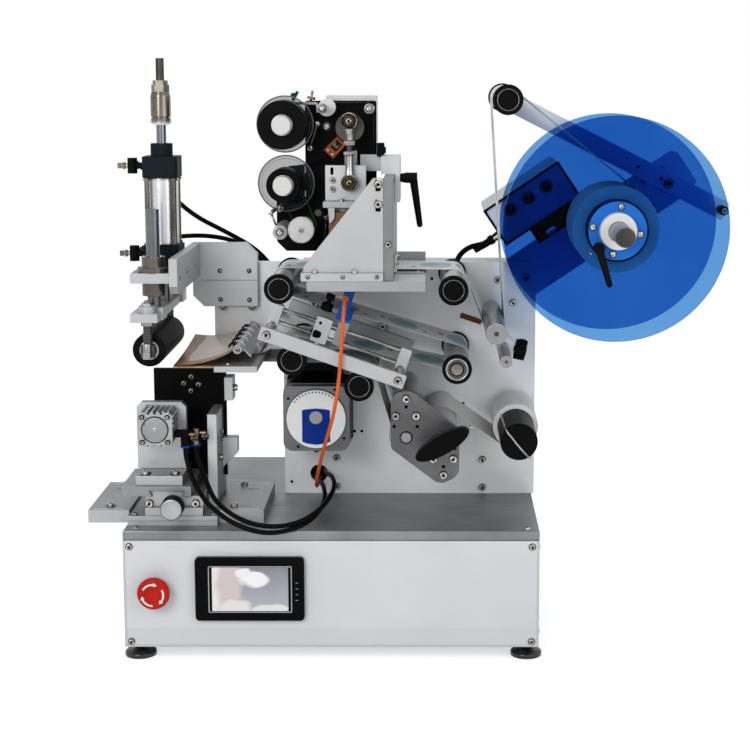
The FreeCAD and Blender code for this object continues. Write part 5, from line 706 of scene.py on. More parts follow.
def block(bm, x0, x1, y0, y1, z0, z1):
    corners = [bm.verts.new((x, y, z)) for x in (x0, x1) for y in (y0, y1) for z in (z0, z1)]
    for a, b, c, d in ((0, 1, 3, 2), (4, 6, 7, 5), (0, 4, 5, 1), (2, 3, 7, 6), (0, 2, 6, 4), (1, 5, 7, 3)):
        bm.faces.new((corners[a], corners[b], corners[c], corners[d]))
    return corners


def lathe(bm, profile, sides=48, axis="Y", centre=(0, 0, 0)):
    """A closed surface turned from (radius, place along the axis) corners."""
    rings = []
    for radius, along in profile:
        ring = []
        for k in range(sides if radius > 1e-9 else 1):
            a = 2 * pi * k / sides
            u, v = radius * cos(a), radius * sin(a)
            spot = {"Y": (u, along, v), "Z": (u, v, along), "X": (along, u, v)}[axis]
            ring.append(bm.verts.new([s + c for s, c in zip(spot, centre)]))
        rings.append(ring)
    faces = []
    for a, b in zip(rings, rings[1:]):
        for k in range(sides):
            quad = [a[k % len(a)], a[(k + 1) % len(a)], b[(k + 1) % len(b)], b[k % len(b)]]
            quad = list(dict.fromkeys(quad))
            if len(quad) > 2:
                faces.append(bm.faces.new(quad))
    for ring in (rings[0], rings[-1]):
        if len(ring) > 1:
            faces.append(bm.faces.new(ring))
    bmesh.ops.recalc_face_normals(bm, faces=faces)
    return faces


def slab(bm, outline, y0, y1):
    """A plate parallel to XZ from its (x, z) outline."""
    front = [bm.verts.new((x, y0, z)) for x, z in outline]
    back = [bm.verts.new((x, y1, z)) for x, z in outline]
    faces = [bm.faces.new(front), bm.faces.new(back[::-1])]
    for k in range(len(outline)):
        n = (k + 1) % len(outline)
        faces.append(bm.faces.new((front[n], front[k], back[k], back[n])))
    bmesh.ops.recalc_face_normals(bm, faces=faces)
    return faces


def rounded(w, h, r, steps=5, centre=(0, 0), tilt=0.0):
    """The (x, z) outline of a rounded rectangle."""
    points = []
    for cx, cz, a0 in ((w / 2 - r, h / 2 - r, 0), (r - w / 2, h / 2 - r, 90), (r - w / 2, r - h / 2, 180),
        (w / 2 - r, r - h / 2, 270)):
        for k in range(steps + 1):
            a = radians(a0 + 90 * k / steps)
            x, z = cx + r * cos(a), cz + r * sin(a)
            c, s = cos(radians(tilt)), sin(radians(tilt))
            points.append((centre[0] + x * c - z * s, centre[1] + x * s + z * c))
    return points


def placed(bm, turn=None, move=(0, 0, 0)):
    """Turns and moves a mesh in millimetres, then puts it in the frame in metres."""
    if turn is not None:
        bmesh.ops.transform(bm, matrix=turn.to_4x4(), verts=bm.verts)
    for vert in bm.verts:
        vert.co = at(*(vert.co + Vector(move)))
    return bm


def piece(name, bm, finish, body, slot, nodes=(), bevel=0.4, turn=None, move=(0, 0, 0), angle=38):
    obj = new_object(name, placed(bm, turn, move), finish)
    shaded(obj, bevel, angle)
    return into(obj, body, slot, *nodes)


def turned(name, finish, body, slot, centre, profile, axis="Y", nodes=(), bevel=0.3, sides=64):
    bm = bmesh.new()
    if axis == "Y":
        lathe(bm, profile, sides, "Y", (centre[0], 0, centre[1]))
    elif axis == "Z":
        lathe(bm, profile, sides, "Z", (centre[0], centre[1], 0))
    else:
        lathe(bm, profile, sides, "X", (0, centre[0], centre[1]))
    return piece(name, bm, finish, body, slot, nodes, bevel)


HEADS = {}


def recess_reach(shape, a):
    """How far a head's recess reaches at an angle, for a head of unit radius."""
    if shape == "hex":
        return 0.52 * cos(pi / 6) / cos((a % (pi / 3)) - pi / 6)
    if shape == "cross":
        near = min(abs((a % (pi / 2)) - q) for q in (0, pi / 2))
        return min(0.62, 0.12 / max(sin(near), 0.05), 0.12 / max(abs(cos(near)), 0.05) * 6)
    return 0.16 / max(abs(sin(a)), 0.16 / 0.92)


def recessed_head(bm, shape, outer, top, floor, sides=24):
    """A round head with a driver recess; `outer` is (radius, height) from the top's rim to the base."""
    rings = [[(recess_reach(shape, a) * 0.96, floor) for a in (2 * pi * k / sides for k in range(sides))],
        [(recess_reach(shape, a), top) for a in (2 * pi * k / sides for k in range(sides))]]
    rings += [[corner] * sides for corner in outer]
    made = []
    for ring in rings:
        made.append([bm.verts.new((r * cos(2 * pi * k / sides), r * sin(2 * pi * k / sides), z))
                for k, (r, z) in enumerate(ring)])
    for a, b in zip(made, made[1:]):
        for k in range(sides):
            n = (k + 1) % sides
            bm.faces.new((a[n], a[k], b[k], b[n]))
    bm.faces.new(made[0])
    bm.faces.new(made[-1][::-1])
    bmesh.ops.recalc_face_normals(bm, faces=bm.faces)


def head(kind):
    """Screw heads of unit radius on the XY plane, facing Z."""
    if kind in HEADS:
        return HEADS[kind]
    bm = bmesh.new()
    if kind == "socket":
        recessed_head(bm, "hex", [(0.9, 1.1), (1.0, 1.0), (1.0, 0.0)], 1.1, 0.4)
    elif kind == "button":
        recessed_head(bm, "hex", [(0.72, 0.56), (0.92, 0.3), (1.0, 0.0)], 0.66, 0.2)
    elif kind == "cross":
        recessed_head(bm, "cross", [(0.78, 0.42), (0.94, 0.22), (1.0, 0.0)], 0.56, 0.15)
    elif kind == "slot":
        recessed_head(bm, "slot", [(0.95, 0.5), (1.0, 0.42), (1.0, 0.0)], 0.5, 0.2)
    elif kind == "nut":
        points = [(cos(pi * k / 3), sin(pi * k / 3)) for k in range(6)]
        rings = [[bm.verts.new((x * f, y * f, z)) for x, y in points]
            for f, z in ((1.0, 0.0), (1.0, 0.78), (0.88, 0.9), (0.55, 0.9), (0.55, 1.3))]
        for a, b in zip(rings, rings[1:]):
            for k in range(6):
                bm.faces.new((a[k], a[(k + 1) % 6], b[(k + 1) % 6], b[k]))
        bm.faces.new(rings[-1])
        bm.faces.new(rings[0][::-1])
    elif kind == "hole":
        # A shallow dark dish drawn where a hole is; it carries the painted shadow finish it is given.
        lathe(bm, [(0.0, 0.02), (0.8, 0.02), (0.98, 0.07), (1.0, -0.05), (0.0, -0.05)], 24, "Z")
    if kind not in ("nut", "hole"):
        # A thin flat ring round the head's foot, drawn only to carry the painted shadow line under the head.
        lathe(bm, [(1.0, 0.02), (1.16, 0.05), (1.16, 0.0), (1.0, 0.0)], 24, "Z")
    obj = new_object("head_" + kind, bm, "screw")
    shade = obj.data.attributes.new("in_shadow", "FLOAT", "FACE")
    # Faces in the recess and on that ring are marked in_shadow for the painted shade.
    for face in obj.data.polygons:
        reach = max(hypot(*obj.data.vertices[k].co.xy) for k in face.vertices)
        near = min(hypot(*obj.data.vertices[k].co.xy) for k in face.vertices)
        in_painted_shade = kind != "nut" and (reach < 0.52 or near > 0.999 and reach > 1.1)
        shade.data[face.index].value = 1.0 if in_painted_shade else 0.0
    HEADS[kind] = obj
    return obj


def screws(name, kind, body, slot, places, finish="screw", size=1.0):
    """Heads at (x, y, z, radius, facing) places in millimetres."""
    mesh = bpy.data.meshes.new(name + "_places")
    mesh.from_pydata([at(*p[:3]) for p in places], [], [])
    mesh.attributes.new("facing", "FLOAT_VECTOR", "POINT")
    mesh.attributes.new("size", "FLOAT", "POINT")
    for i, place in enumerate(places):
        mesh.attributes["size"].data[i].value = place[3] * MM
        mesh.attributes["facing"].data[i].vector = Vector(place[4])
    obj = grown(name, SCREW_TREE, mesh, {"Head": head(kind), "Head Radius": size}, finish)
    return into(obj, body, slot)


FRONT, LEFT, RIGHT, UP, BACK, DOWN = (0, -1, 0), (-1, 0, 0), (1, 0, 0), (0, 0, 1), (0, 1, 0), (0, 0, -1)


def add(name, bm, finish, node, bevel=0.3, turn=None, move=(0, 0, 0), angle=38):
    """A small part on the same body as one of the CAD nodes."""
    return piece(name, bm, finish, BODY_OF[node], SLOT_OF[node], (), bevel, turn, move, angle)


def made(shape, *sizes):
    """A new mesh with one turned, boxed or sliced shape in it."""
    bm = bmesh.new()
    shape(bm, *sizes)
    return bm


def stud(name, finish, node, x, z, radius, y0, y1, chamfer=0.4, sides=48):
    """A round part along Y with broken edges."""
    bm = bmesh.new()
    c = chamfer
    lathe(bm, [(0, y0), (radius - c, y0), (radius, y0 + c), (radius, y1 - c), (radius - c, y1), (0, y1)], sides,
        "Y", (x, 0, z))
    return add(name, bm, finish, node, 0)


def hoop(name, finish, node, x, z, inner, outer, y0, y1, sides=64):
    """A flat ring about a Y axis."""
    bm = bmesh.new()
    rings = [[bm.verts.new((x + r * cos(2 * pi * k / sides), y, z + r * sin(2 * pi * k / sides)))
            for k in range(sides)] for r, y in ((inner, y0), (outer, y0), (outer, y1), (inner, y1))]
    for a, b in zip(rings, rings[1:] + rings[:1]):
        for k in range(sides):
            n = (k + 1) % sides
            bm.faces.new((a[k], a[n], b[n], b[k]))
    bmesh.ops.recalc_face_normals(bm, faces=bm.faces)
    return add(name, bm, finish, node, 0)


def wire(name, finish, node, points, radius, sides=12):
    """A bent wire or small rod through places in millimetres."""
    obj = new_object(name, swept([at(*p) for p in smooth_path(points)], radius * MM, sides), finish)
    for face in obj.data.polygons:
        face.use_smooth = len(face.vertices) == 4
    return into(obj, BODY_OF[node], SLOT_OF[node])


def smooth_path(points, steps=5):
    """The same path with its inner corners rounded off."""
    if len(points) < 3:
        return points
    path = [Vector(points[0])]
    for a, b, c in zip(points, points[1:], points[2:]):
        a, b, c = Vector(a), Vector(b), Vector(c)
        start, end = b + (a - b) * 0.35, b + (c - b) * 0.35
        for k in range(steps + 1):
            t = k / steps
            path.append(start * (1 - t) ** 2 + b * 2 * t * (1 - t) + end * t ** 2)
    return path + [Vector(points[-1])]


def on(node, name, kind, places, finish="screw"):
    return screws(name, kind, BODY_OF[node], SLOT_OF[node], places, finish)


def facing(where, radius, *places):
    """Screw places of one size, all looking the same way."""
    return [(*p, radius, where) for p in places]


def round_row(name, bm, finish, body, slot, count, centre, first=0.0, sweep=2 * pi):
    """A part spaced round a Y axis; the part is drawn about the origin in millimetres."""
    for vert in bm.verts:
        vert.co = vert.co * MM
    part = new_object(name + "_one", bm, finish)
    obj = grown(name, RING_TREE, bpy.data.meshes.new(name + "_base"),
        {"Part": part, "Count": count, "Centre": at(*centre), "First Angle": first, "Sweep": sweep}, finish)
    bpy.data.objects.remove(part)
    return into(obj, body, slot)


def straight_row(name, bm, finish, body, slot, count, first, last):
    for vert in bm.verts:
        vert.co = vert.co * MM
    part = new_object(name + "_one", bm, finish)
    obj = grown(name, ROW_TREE, bpy.data.meshes.new(name + "_base"),
        {"Part": part, "Count": count, "First": at(*first), "Last": at(*last)}, finish)
    bpy.data.objects.remove(part)
    return into(obj, body, slot)


# The label web: one band grown along the path over the rollers

def band_tree():
    """A thin band swept along a path, keeping how far along the path each point lies."""
    tree, given, out = tree_with("band_along_a_path", [
            ("Path", "NodeSocketGeometry", None), ("Width", "NodeSocketFloat", 0.093),
            ("Thickness", "NodeSocketFloat", 0.0003), ("Finish", "NodeSocketMaterial", None)])
    link = tree.links.new
    curve = tree.nodes.new("GeometryNodeMeshToCurve")
    upright = tree.nodes.new("GeometryNodeSetCurveNormal")
    upright.mode = "FREE"
    upright.inputs["Normal"].default_value = (0, 1, 0)
    reach = tree.nodes.new("GeometryNodeSplineParameter")
    keep = tree.nodes.new("GeometryNodeStoreNamedAttribute")
    keep.data_type = "FLOAT"
    keep.domain = "POINT"
    keep.inputs["Name"].default_value = "along"
    profile = tree.nodes.new("GeometryNodeCurvePrimitiveQuadrilateral")
    sweep = tree.nodes.new("GeometryNodeCurveToMesh")
    sweep.inputs["Fill Caps"].default_value = True
    link(given.outputs["Path"], curve.inputs["Mesh"])
    link(curve.outputs["Curve"], upright.inputs["Curve"])
    link(upright.outputs["Curve"], keep.inputs["Geometry"])
    link(reach.outputs["Length"], keep.inputs["Value"])
    link(keep.outputs["Geometry"], sweep.inputs["Curve"])
    link(given.outputs["Width"], profile.inputs["Width"])
    link(given.outputs["Thickness"], profile.inputs["Height"])
    link(profile.outputs["Curve"], sweep.inputs["Profile Curve"])
    finish_tree(tree, given, out, sweep.outputs["Mesh"])
    return tree


BAND_TREE = band_tree()


def wrapped_path(stops):
    """The path of a band over circles (x, z, radius, turn), turn +1 when clockwise from the front."""
    lines = []
    for (x1, z1, r1, s1), (x2, z2, r2, s2) in zip(stops, stops[1:]):
        span, k = hypot(x2 - x1, z2 - z1), s2 * r2 - s1 * r1
        heading = atan2(z2 - z1, x2 - x1) + atan2(k, sqrt(max(span * span - k * k, 0.0)))
        side = (-sin(heading), cos(heading))
        lines.append(((x1 + s1 * r1 * side[0], z1 + s1 * r1 * side[1]),
                (x2 + s2 * r2 * side[0], z2 + s2 * r2 * side[1]), heading))
    path, marks = [lines[0][0]], []
    for (before, after), (x, z, r, s) in zip(zip(lines, lines[1:]), stops[1:-1]):
        first = before[2] + s * pi / 2
        sweep = (s * (before[2] - after[2])) % (2 * pi)
        steps = max(2, int(degrees(sweep) / 7))
        marks.append(len(path) + steps // 2)
        path += [(x + r * cos(first - s * sweep * k / steps), z + r * sin(first - s * sweep * k / steps))
            for k in range(steps + 1)]
    path.append(lines[-1][1])
    return path, marks


def run_length(path):
    return sum(hypot(b[0] - a[0], b[1] - a[1]) for a, b in zip(path, path[1:]))


def band(name, path, y0, y1, thickness, finish):
    mesh = bpy.data.meshes.new(name + "_path")
    mesh.from_pydata([at(x, (y0 + y1) / 2, z) for x, z in path], [(k, k + 1) for k in range(len(path) - 1)], [])
    obj = grown(name, BAND_TREE, mesh, {"Width": (y1 - y0) * MM, "Thickness": thickness * MM}, finish)
    for face in obj.data.polygons:
        face.use_smooth = True
    obj.data.set_sharp_from_angle(angle=radians(50))
    return obj


def web_finish(tip_at, bare_from):
    """Pale release liner that carries printed labels as far as the peel tip."""
    f = Finish("label_web_print")
    along = f.node("ShaderNodeAttribute", attribute_name="along").outputs["Fac"]
    parts = f.node("ShaderNodeSeparateXYZ", {"Vector": f.place})
    across = f.math("SUBTRACT", parts.outputs["Y"], at(0, 121.5, 0).y)
    pitch = f.math("SUBTRACT", f.math("FRACT", f.math("DIVIDE", along, 0.078)), 0.5)
    wobble = f.math("MULTIPLY", f.math("SUBTRACT", f.noise(60, detail=2), 0.5), 0.16)

    def patch(centre, middle, length, width, soft=0.12):
        """1 inside an oval patch of the label, 0 outside, with a torn edge."""
        u = f.math("DIVIDE", f.math("SUBTRACT", pitch, centre), length)
        v = f.math("DIVIDE", f.math("SUBTRACT", across, middle), width)
        away = f.math("ADD", f.math("ADD", f.math("MULTIPLY", u, u), f.math("MULTIPLY", v, v)), wobble)
        return f.spread(away, 1.0, 0.0, 1.0 - soft, 1.0)

    liner = f.mix(f.spread(f.noise(30, detail=4), 0, 1, 0.35, 0.65), rgb(206, 209, 210), rgb(194, 198, 200))
    label_edge = f.math("LESS_THAN", f.math("ABSOLUTE", f.math("SUBTRACT", f.math("ABSOLUTE", pitch), 0.46)),
        0.006)
    tone = f.mix(f.math("MULTIPLY", label_edge, 0.5), liner, rgb(150, 156, 160))
    tone = f.mix(patch(0.0, 0.0, 0.27, 0.030), tone, rgb(118, 158, 164))
    tone = f.mix(patch(0.08, 0.004, 0.13, 0.017), tone, rgb(84, 128, 138))
    tone = f.mix(patch(-0.36, 0.004, 0.05, 0.012), tone, rgb(166, 122, 92))
    tone = f.mix(patch(0.37, -0.018, 0.04, 0.006), tone, rgb(52, 78, 92))
    fibre = f.noise(1500, (1, 1, 1), detail=3)
    bare = f.mix(f.spread(fibre, 0, 1, 0.4, 0.6), rgb(168, 146, 120), rgb(156, 134, 108))
    back = f.mix(f.spread(fibre, 0, 1, 0.4, 0.6), rgb(196, 194, 188), rgb(184, 182, 176))
    tone = f.mix(f.math("GREATER_THAN", along, bare_from), tone, bare)
    tone = f.mix(f.math("GREATER_THAN", along, tip_at), tone, back)
    f.set(base_color=tone, roughness=f.spread(fibre, 0.34, 0.5), specular_ior_level=0.4)
    f.bumps(fibre, 0.1)
    return f.material


# The CAD solids in their finishes

def roller_ends(x0, z0):
    """Black end flanges on a silver roller."""
    return lambda x, y, z, n: "black_anodised" if y < 1.4 or y > 169.6 or hypot(x - x0, z - z0) > 16.3 else None


dress("base_cabinet", "cabinet_paint", [(370, 270, 47, "black_plastic"), (145, 260, 52, "black_plastic")], 0.8)
dress("base_top_plate", "deck_plate", bevel=0.5)


def cover_finish():
    """The front cover's powder coat, with painted shade on its folded edges and on the lower band below the bend
    line.
    """
    f = Finish("front_cover_powder_coat")
    spot = f.node("ShaderNodeSeparateXYZ", {"Vector": f.place})
    x, z = spot.outputs["X"], spot.outputs["Z"]
    tone = f.mix(f.spread(f.noise(9, detail=4), 0, 1, 0.35, 0.65), rgb(203, 206, 209), rgb(196, 200, 203))
    # Painted shade: the lower band, below the bend at 44 mm, a little darker.
    tone = f.mix(f.spread(z, 0.4, 0.0, 0.044, 0.0455), tone, rgb(186, 190, 193))
    # Painted shade: the folded side edges and the bottom edge darker.
    rim = f.math("MAXIMUM", f.math("GREATER_THAN", f.math("ABSOLUTE", f.math("SUBTRACT", x, at(255, 0, 0).x)),
            0.2515), f.math("LESS_THAN", z, 0.0235))
    tone = f.mix(f.math("MULTIPLY", rim, 0.55), tone, rgb(168, 172, 175))
    grain = f.noise(1500, detail=3)
    f.set(base_color=tone, roughness=f.spread(grain, 0.4, 0.56))
    f.bumps(grain, 0.2)
    return f.material


MATERIALS["cover_paint"] = cover_finish()
dress("base_front_cover", "cover_paint", [(39.4, 13.5, 93.7, "black_plastic")], 0.6)
dress("leveling_feet", "foot_black", rule=lambda x, y, z, n: "steel" if min(
        hypot(x - a, y - b) for a in (14, 496) for b in (28, 357)) < 5.6 and z > 8.4 else None)
dress("touch_panel", "gloss_black", bevel=0.8)
dress("stop_button", "red_plastic")
dress("main_panel", "panel", bevel=0.6)
dress("drive_housing", "cabinet_paint", [(293.4, 199.5, 286.5, "belt_black"),
        (413.0, 206.5, 285.8, "belt_black")])
dress("panel_shafts", "steel", [(466.7, 101.5, 379.6, "white_plastic")])
dress("star_knob", "black_plastic")
dress("bearing_plate", "plate_steel", [(347.4, 89, 321, "steel"), (391.9, 89, 252.4, "steel")], 0.8)
dress("traction_roller", "drive_rubber", rule=lambda x, y, z, n: "steel" if hypot(x - 347,
        z - 286.5) < 9 or y > 177
    else None)
dress("pinch_lever", "lens_black", bevel=3.0, rule=lambda x, y, z, n: "steel" if y > -30 else None)
dress("pinch_roller", "drive_rubber", rule=lambda x, y, z, n: "steel" if hypot(x - 388.8,
        z - 286.5) < 10 else None)
dress("rewind_mandrel", "black_anodised", [(482.5, 121.5, 281, "paper")],
    rule=lambda x, y, z, n: "cream_paper" if 74.5 < y < 75.6 and hypot(x - 482.5, z - 281) > 23 else None)
dress("stepper_motor", "black_plastic", [(230.3, 100.5, 285, "turned_aluminium"),
        (230.3, 155, 338, "black_anodised")],
    rule=lambda x, y, z, n: "plate_steel" if y < 118.5 and z < 328 else None)
dress("motor_pulley", "aluminium")
dress("reel_support", "support_plate", [(604.7, 80, 530.4, "turned_aluminium"),
        (752.8, 170, 546.3, "black_plastic")], rule=lambda x, y, z, n: "dark_steel" if y < -29.5 else None)
dress("reel_discs", "acrylic", bevel=0.2)
dress("reel_hub", "hub_blue", rule=lambda x, y, z, n: "white_plastic" if y < 52.8 else
    ("hub_navy" if hypot(x - 604.7, z - 530.4) > 36.4 and y < 68 else None))
dress("label_roll", "paper", rule=lambda x, y, z, n: "cream_paper" if abs(n.y) > 0.9 else None)
dress("reel_clamp_lever", "black_plastic", bevel=0.9)
dress("coder_clamp_lever", "black_plastic", bevel=0.9)
dress("control_box", "aluminium_y", [(461.8, 220, 506.4, "black_plastic")], 0.8,
    rule=lambda x, y, z, n: ("panel" if y > 188 else "black_anodised") if n.y < -0.9 or y < 187.4 else None)
for k in (1, 2, 3):
    dress("control_knob_%d" % k, "black_plastic", rule=lambda x, y, z, n: "steel" if y > 185.5 else None)

dress("press_arm", "aluminium_z", [(71.7, 76, 481.4, "aluminium_y"), (42.8, 80.5, 478.5, "aluminium_y"),
        (44.5, 8, 480, "nickel"), (44.5, 162, 480, "nickel")])
dress("press_cylinder", "black_cast", [
        (44.5, 85, 551.8, "bright_tube"), (28, 68.5, 551.8, "nickel"), (28, 101.5, 551.8, "nickel"),
        (61, 68.5, 551.8, "nickel"), (61, 101.5, 551.8, "nickel"), (6.5, 90, 498.5, "black_plastic"),
        (6.5, 90, 607, "black_plastic")], rule=lambda x, y, z, n: "brass" if x < 1.5 else None)
dress("press_yoke", "aluminium_y", [
        (40, 63, 392.4, "steel"), (44.5, 8, 494.2, "guide_steel"), (44.5, 162, 494.2, "guide_steel"),
        (44.5, 85, 583.2, "guide_steel"), (40, -16.5, 416.9, "steel"), (40, 142.5, 416.9, "steel")],
    rule=lambda x, y, z, n: "dark_steel" if z < 402.5 and y < -5 else "nickel" if 660.5 < z < 712 and abs(y - 85) < 14 else
    ("white_plastic" if 657 < z <= 660.5 and abs(y - 85) < 14 else ("dark_steel" if z >= 712 else None)))
dress("press_roller", "press_rubber", bevel=0.8)


def facing_shade(x, y, z, n):
    """Painted shade by facing: tops and sides darker than the lit fronts."""
    return "ground_top" if n.z > 0.7 else ("ground_side" if abs(n.x) > 0.7 else None)


def slide_finish(x, y, z, n):
    """The slide's plates with painted shade by facing, a darker front strip, and painted shade on the clamp body
    where its fins stand.
    """
    if z > 300 or (z > 265 and x > 57 and n.x > 0.7):
        return "ground_side" if n.z > 0.5 or n.x > 0.7 else None
    if z > 265:
        return None
    return "ground_top" if n.y < -0.7 and 199 < z < 217 else facing_shade(x, y, z, n)


dress("stage_base", "aluminium", bevel=0.7, rule=facing_shade)
dress("stage_slide", "aluminium", [(39, 76, 270.5, "aluminium_z"), (37.9, 48.5, 287, "turned_aluminium"),
        (72, 42, 273, "black_plastic"), (78, 52, 273, "black_plastic")],
    rule=lambda x, y, z, n: slide_finish(x, y, z, n) if not (35 < y < 59 and 261 < z < 285 and x > 58.8) else
    ("collar_blue" if z < 264.5 else ("brass" if x > (79.5 if y < 47.5 else 91.5) else None)))
dress("clamp_pusher", "aluminium", rule=lambda x, y, z, n: "press_rubber" if y > 88 else None)
dress("stage_knob", "black_plastic", rule=lambda x, y, z, n: "turned_aluminium" if y < -11.4 else None)
dress("backstop", "black_anodised", [(102.5, 97.5, 238.5, "aluminium_z"), (118.5, 121, 238, "aluminium_z"),
        (118.5, 122, 322, "aluminium_z"), (64.5, 137, 192, "aluminium")],
    rule=lambda x, y, z, n: facing_shade(x, y, z, n) if x > 93.5 else None)


def shaded_plate():
    """The peeling plate's top, with the amber shade that the film casts painted on it, and bare aluminium beyond
    it.
    """
    f = Finish("amber_shaded_plate")
    across = f.node("ShaderNodeSeparateXYZ", {"Vector": f.place}).outputs["X"]
    cloud = f.noise(26, detail=3)
    grain = f.noise(1200, detail=3)
    reach = f.math("ADD", across, f.math("MULTIPLY", f.math("SUBTRACT", cloud, 0.5), 0.05))
    # Painted shade: the amber cast by the film, fading into bare aluminium further right.
    amber = f.mix(f.spread(cloud, 0, 1, 0.4, 0.6), rgb(158, 132, 98), rgb(128, 102, 72))
    tone = f.mix(f.spread(reach, 0, 1, at(112, 0, 0).x, at(142, 0, 0).x), amber, rgb(146, 146, 146))
    f.set(base_color=tone, roughness=f.spread(grain, 0.3, 0.46), metallic=0.3)
    f.bumps(grain, 0.08)
    return f.material


MATERIALS["film_shaded"] = shaded_plate()
dress("peel_plate", "film_shaded", [(142, 87.5, 368.3, "aluminium_y"), (151.1, 85.5, 386.5, "rod_frosted")],
    rule=lambda x, y, z, n: "film_shaded" if n.z > 0.8 and 366 < z < 374 and x < 150 else None)
dress("guide_frame", "aluminium", [(179.5, 87, 412, "steel"), (337.6, 87, 356.6, "steel"),
        (183, 62, 421.9, "aluminium_z"), (341.1, 62, 366.5, "aluminium_z"),
        (260.7, 62, 390.4, "chrome"), (266.2, 62, 406, "chrome")])


def sensor_shell():
    """The sensor's blue housing above its grey metal fork."""
    f = Finish("two_tone_sensor_shell")
    spot = f.node("ShaderNodeSeparateXYZ", {"Vector": f.place})
    low = at(265, 0, 416.2)
    along = f.math("ADD", f.math("MULTIPLY", f.math("SUBTRACT", spot.outputs["X"], low.x), 0.18),
        f.math("SUBTRACT", spot.outputs["Z"], low.z))
    grain = f.noise(1500, detail=3)
    fork = f.mix(f.spread(f.noise(30), 0, 1), rgb(150, 151, 153), rgb(134, 136, 138))
    blue = f.mix(f.spread(f.noise(30), 0, 1), rgb(32, 96, 172), rgb(24, 80, 152))
    part = f.spread(along, 0, 1, -0.0002, 0.0002)
    f.set(base_color=f.mix(part, fork, blue), roughness=f.spread(grain, 0.3, 0.44),
        metallic=f.spread(part, 0.4, 0, 0, 1), specular_ior_level=0.1)
    f.bumps(grain, 0.08)
    return f.material


MATERIALS["sensor_shell"] = sensor_shell()
dress("sensor_carriage", "aluminium_z", [(267.4, 71, 408.8, "sensor_shell")])
# Painted shade: the upright behind the gusset takes the side shade tone, and the table's lower front faces take
# the front shade tone.
dress("print_table", "aluminium", [(299.5, 122, 476.8, "drive_rubber"), (326, 82, 537, "ground_side")], 0.7,
    lambda x, y, z, n: "aluminium_front_shade" if n.y < -0.7 and z < 476 else None)
dress("coder_frame", "black_anodised", [
        (312.5, 101, 591.5, "aluminium_z"), (275, 131.5, 576, "steel"), (275, 168, 661, "aluminium_z"),
        (194, 100, 657.4, "steel"), (194.8, 100, 583.7, "steel"), (217, 100, 529.9, "steel"),
        (242.4, 110, 677.3, "steel"), (299.9, 110, 677, "steel"), (186.3, 124.5, 551.7, "steel"),
        (236.5, 110, 549, "dark_steel"), (190.5, 101, 526.4, "frosted")])
for node in ("ribbon_supply", "ribbon_takeup"):
    z = 657.4 if node == "ribbon_supply" else 583.7
    x = 194.0 if node == "ribbon_supply" else 194.8
    dress(node, "ribbon", [(x, 122.9, z, "smoky_clear"), (x, 84, z, "speckled")])
dress("ribbon_wheel", "speckled")
dress("crank_disc", "dark_steel")
dress("print_slider", "aluminium_z", [(266.5, 106, 552.5, "white_plastic"), (266.5, 104, 528, "copper"),
        (266.5, 104, 502.5, "dark_steel"), (270, 103.4, 559.2, "aluminium")],
    rule=lambda x, y, z, n: "aluminium_z" if x < 256.2 and 507 < z < 549 else None)
ROLLERS = {1: (195, 465.5), 2: (403.5, 464), 3: (408, 368.5), 4: (209.4, 379), 5: (290, 347.3), 6: (466.9, 690)}
for k, (x, z) in ROLLERS.items():
    name = "guide_roller_%d" % k
    dress(name, "turned_aluminium", [(408, -0.2, 368.5, "chrome")] if k == 3 else [], 0.7,
        rule=roller_ends(x, z))
    if k != 3:
        hoop(name + "_face_line", "steel", name, x, z, 12.4, 12.8, -4.12, -3.8)


# The label web

WEB_STOPS = [(604.7, 530.4, 54.4, -1), (466.9, 690, 15.9, -1), (454.9, 413.4, 13.4, 1), (403.5, 464, 15.9, -1),
    (195, 465.5, 15.9, -1), (408, 368.5, 15.9, 1), (209.4, 379, 15.9, -1), (158, 378.9, 6.9, 1),
    (68, 371, 1.4, -1), (117, 365.6, 1.4, -1), (209.4, 379, 15.9, -1), (290, 347.3, 15.9, 1),
    (347, 286.5, 21.4, -1), (388.8, 286.5, 20.4, 1), (483, 281, 28.9, -1)]
web_line, web_marks = wrapped_path(WEB_STOPS)
MATERIALS["web_print"] = web_finish(run_length(web_line[:web_marks[7] + 1]) * MM,
    run_length(web_line[:web_marks[6] + 1]) * MM)
web = band("label_web_band", web_line, 75, 168, 0.25, "web_print")
into(web, "machine", SLOT_OF["label_web"], "label_web")


# Front: screws, stop button, touch screen

on("base_front_cover", "cover_screws", "button", facing(FRONT, 4.0, (8.2, -2, 147.7), (501, -2, 147.7),
        (8.2, -2, 27), (501, -2, 27)))
on("base_top_plate", "deck_screws", "button", facing(UP, 4.2, (15.4, 12, 166.6), (495.4, 12, 166.6),
        (15.4, 372, 166.6), (495.4, 372, 166.6)))
on("base_cabinet", "cabinet_side_screws", "button",
    facing(RIGHT, 3.6, *[(510, y, z) for y in (16, 192, 369) for z in (34, 143)]) +
    facing(LEFT, 3.6, *[(0, y, z) for y in (16, 192, 369) for z in (34, 143)]) +
    facing(BACK, 3.6, *[(x, 385, z) for x in (14, 255, 496) for z in (34, 143)]))


def arrow_arc(bm, first, sweep, radius, width, y0, y1, steps=12):
    """A curved arrow about the origin, as one flat plate."""
    outer, inner = [], []
    for k in range(steps + 1):
        a = radians(first + sweep * k / steps)
        outer.append(((radius + width / 2) * cos(a), (radius + width / 2) * sin(a)))
        inner.append(((radius - width / 2) * cos(a), (radius - width / 2) * sin(a)))
    end, point = radians(first + sweep), radians(first + sweep * 1.28)
    tip = [((radius + width * 1.25) * cos(end), (radius + width * 1.25) * sin(end)),
        (radius * cos(point), radius * sin(point)),
        ((radius - width * 1.25) * cos(end), (radius - width * 1.25) * sin(end))]
    slab(bm, outer + tip + inner[::-1], y0, y1)


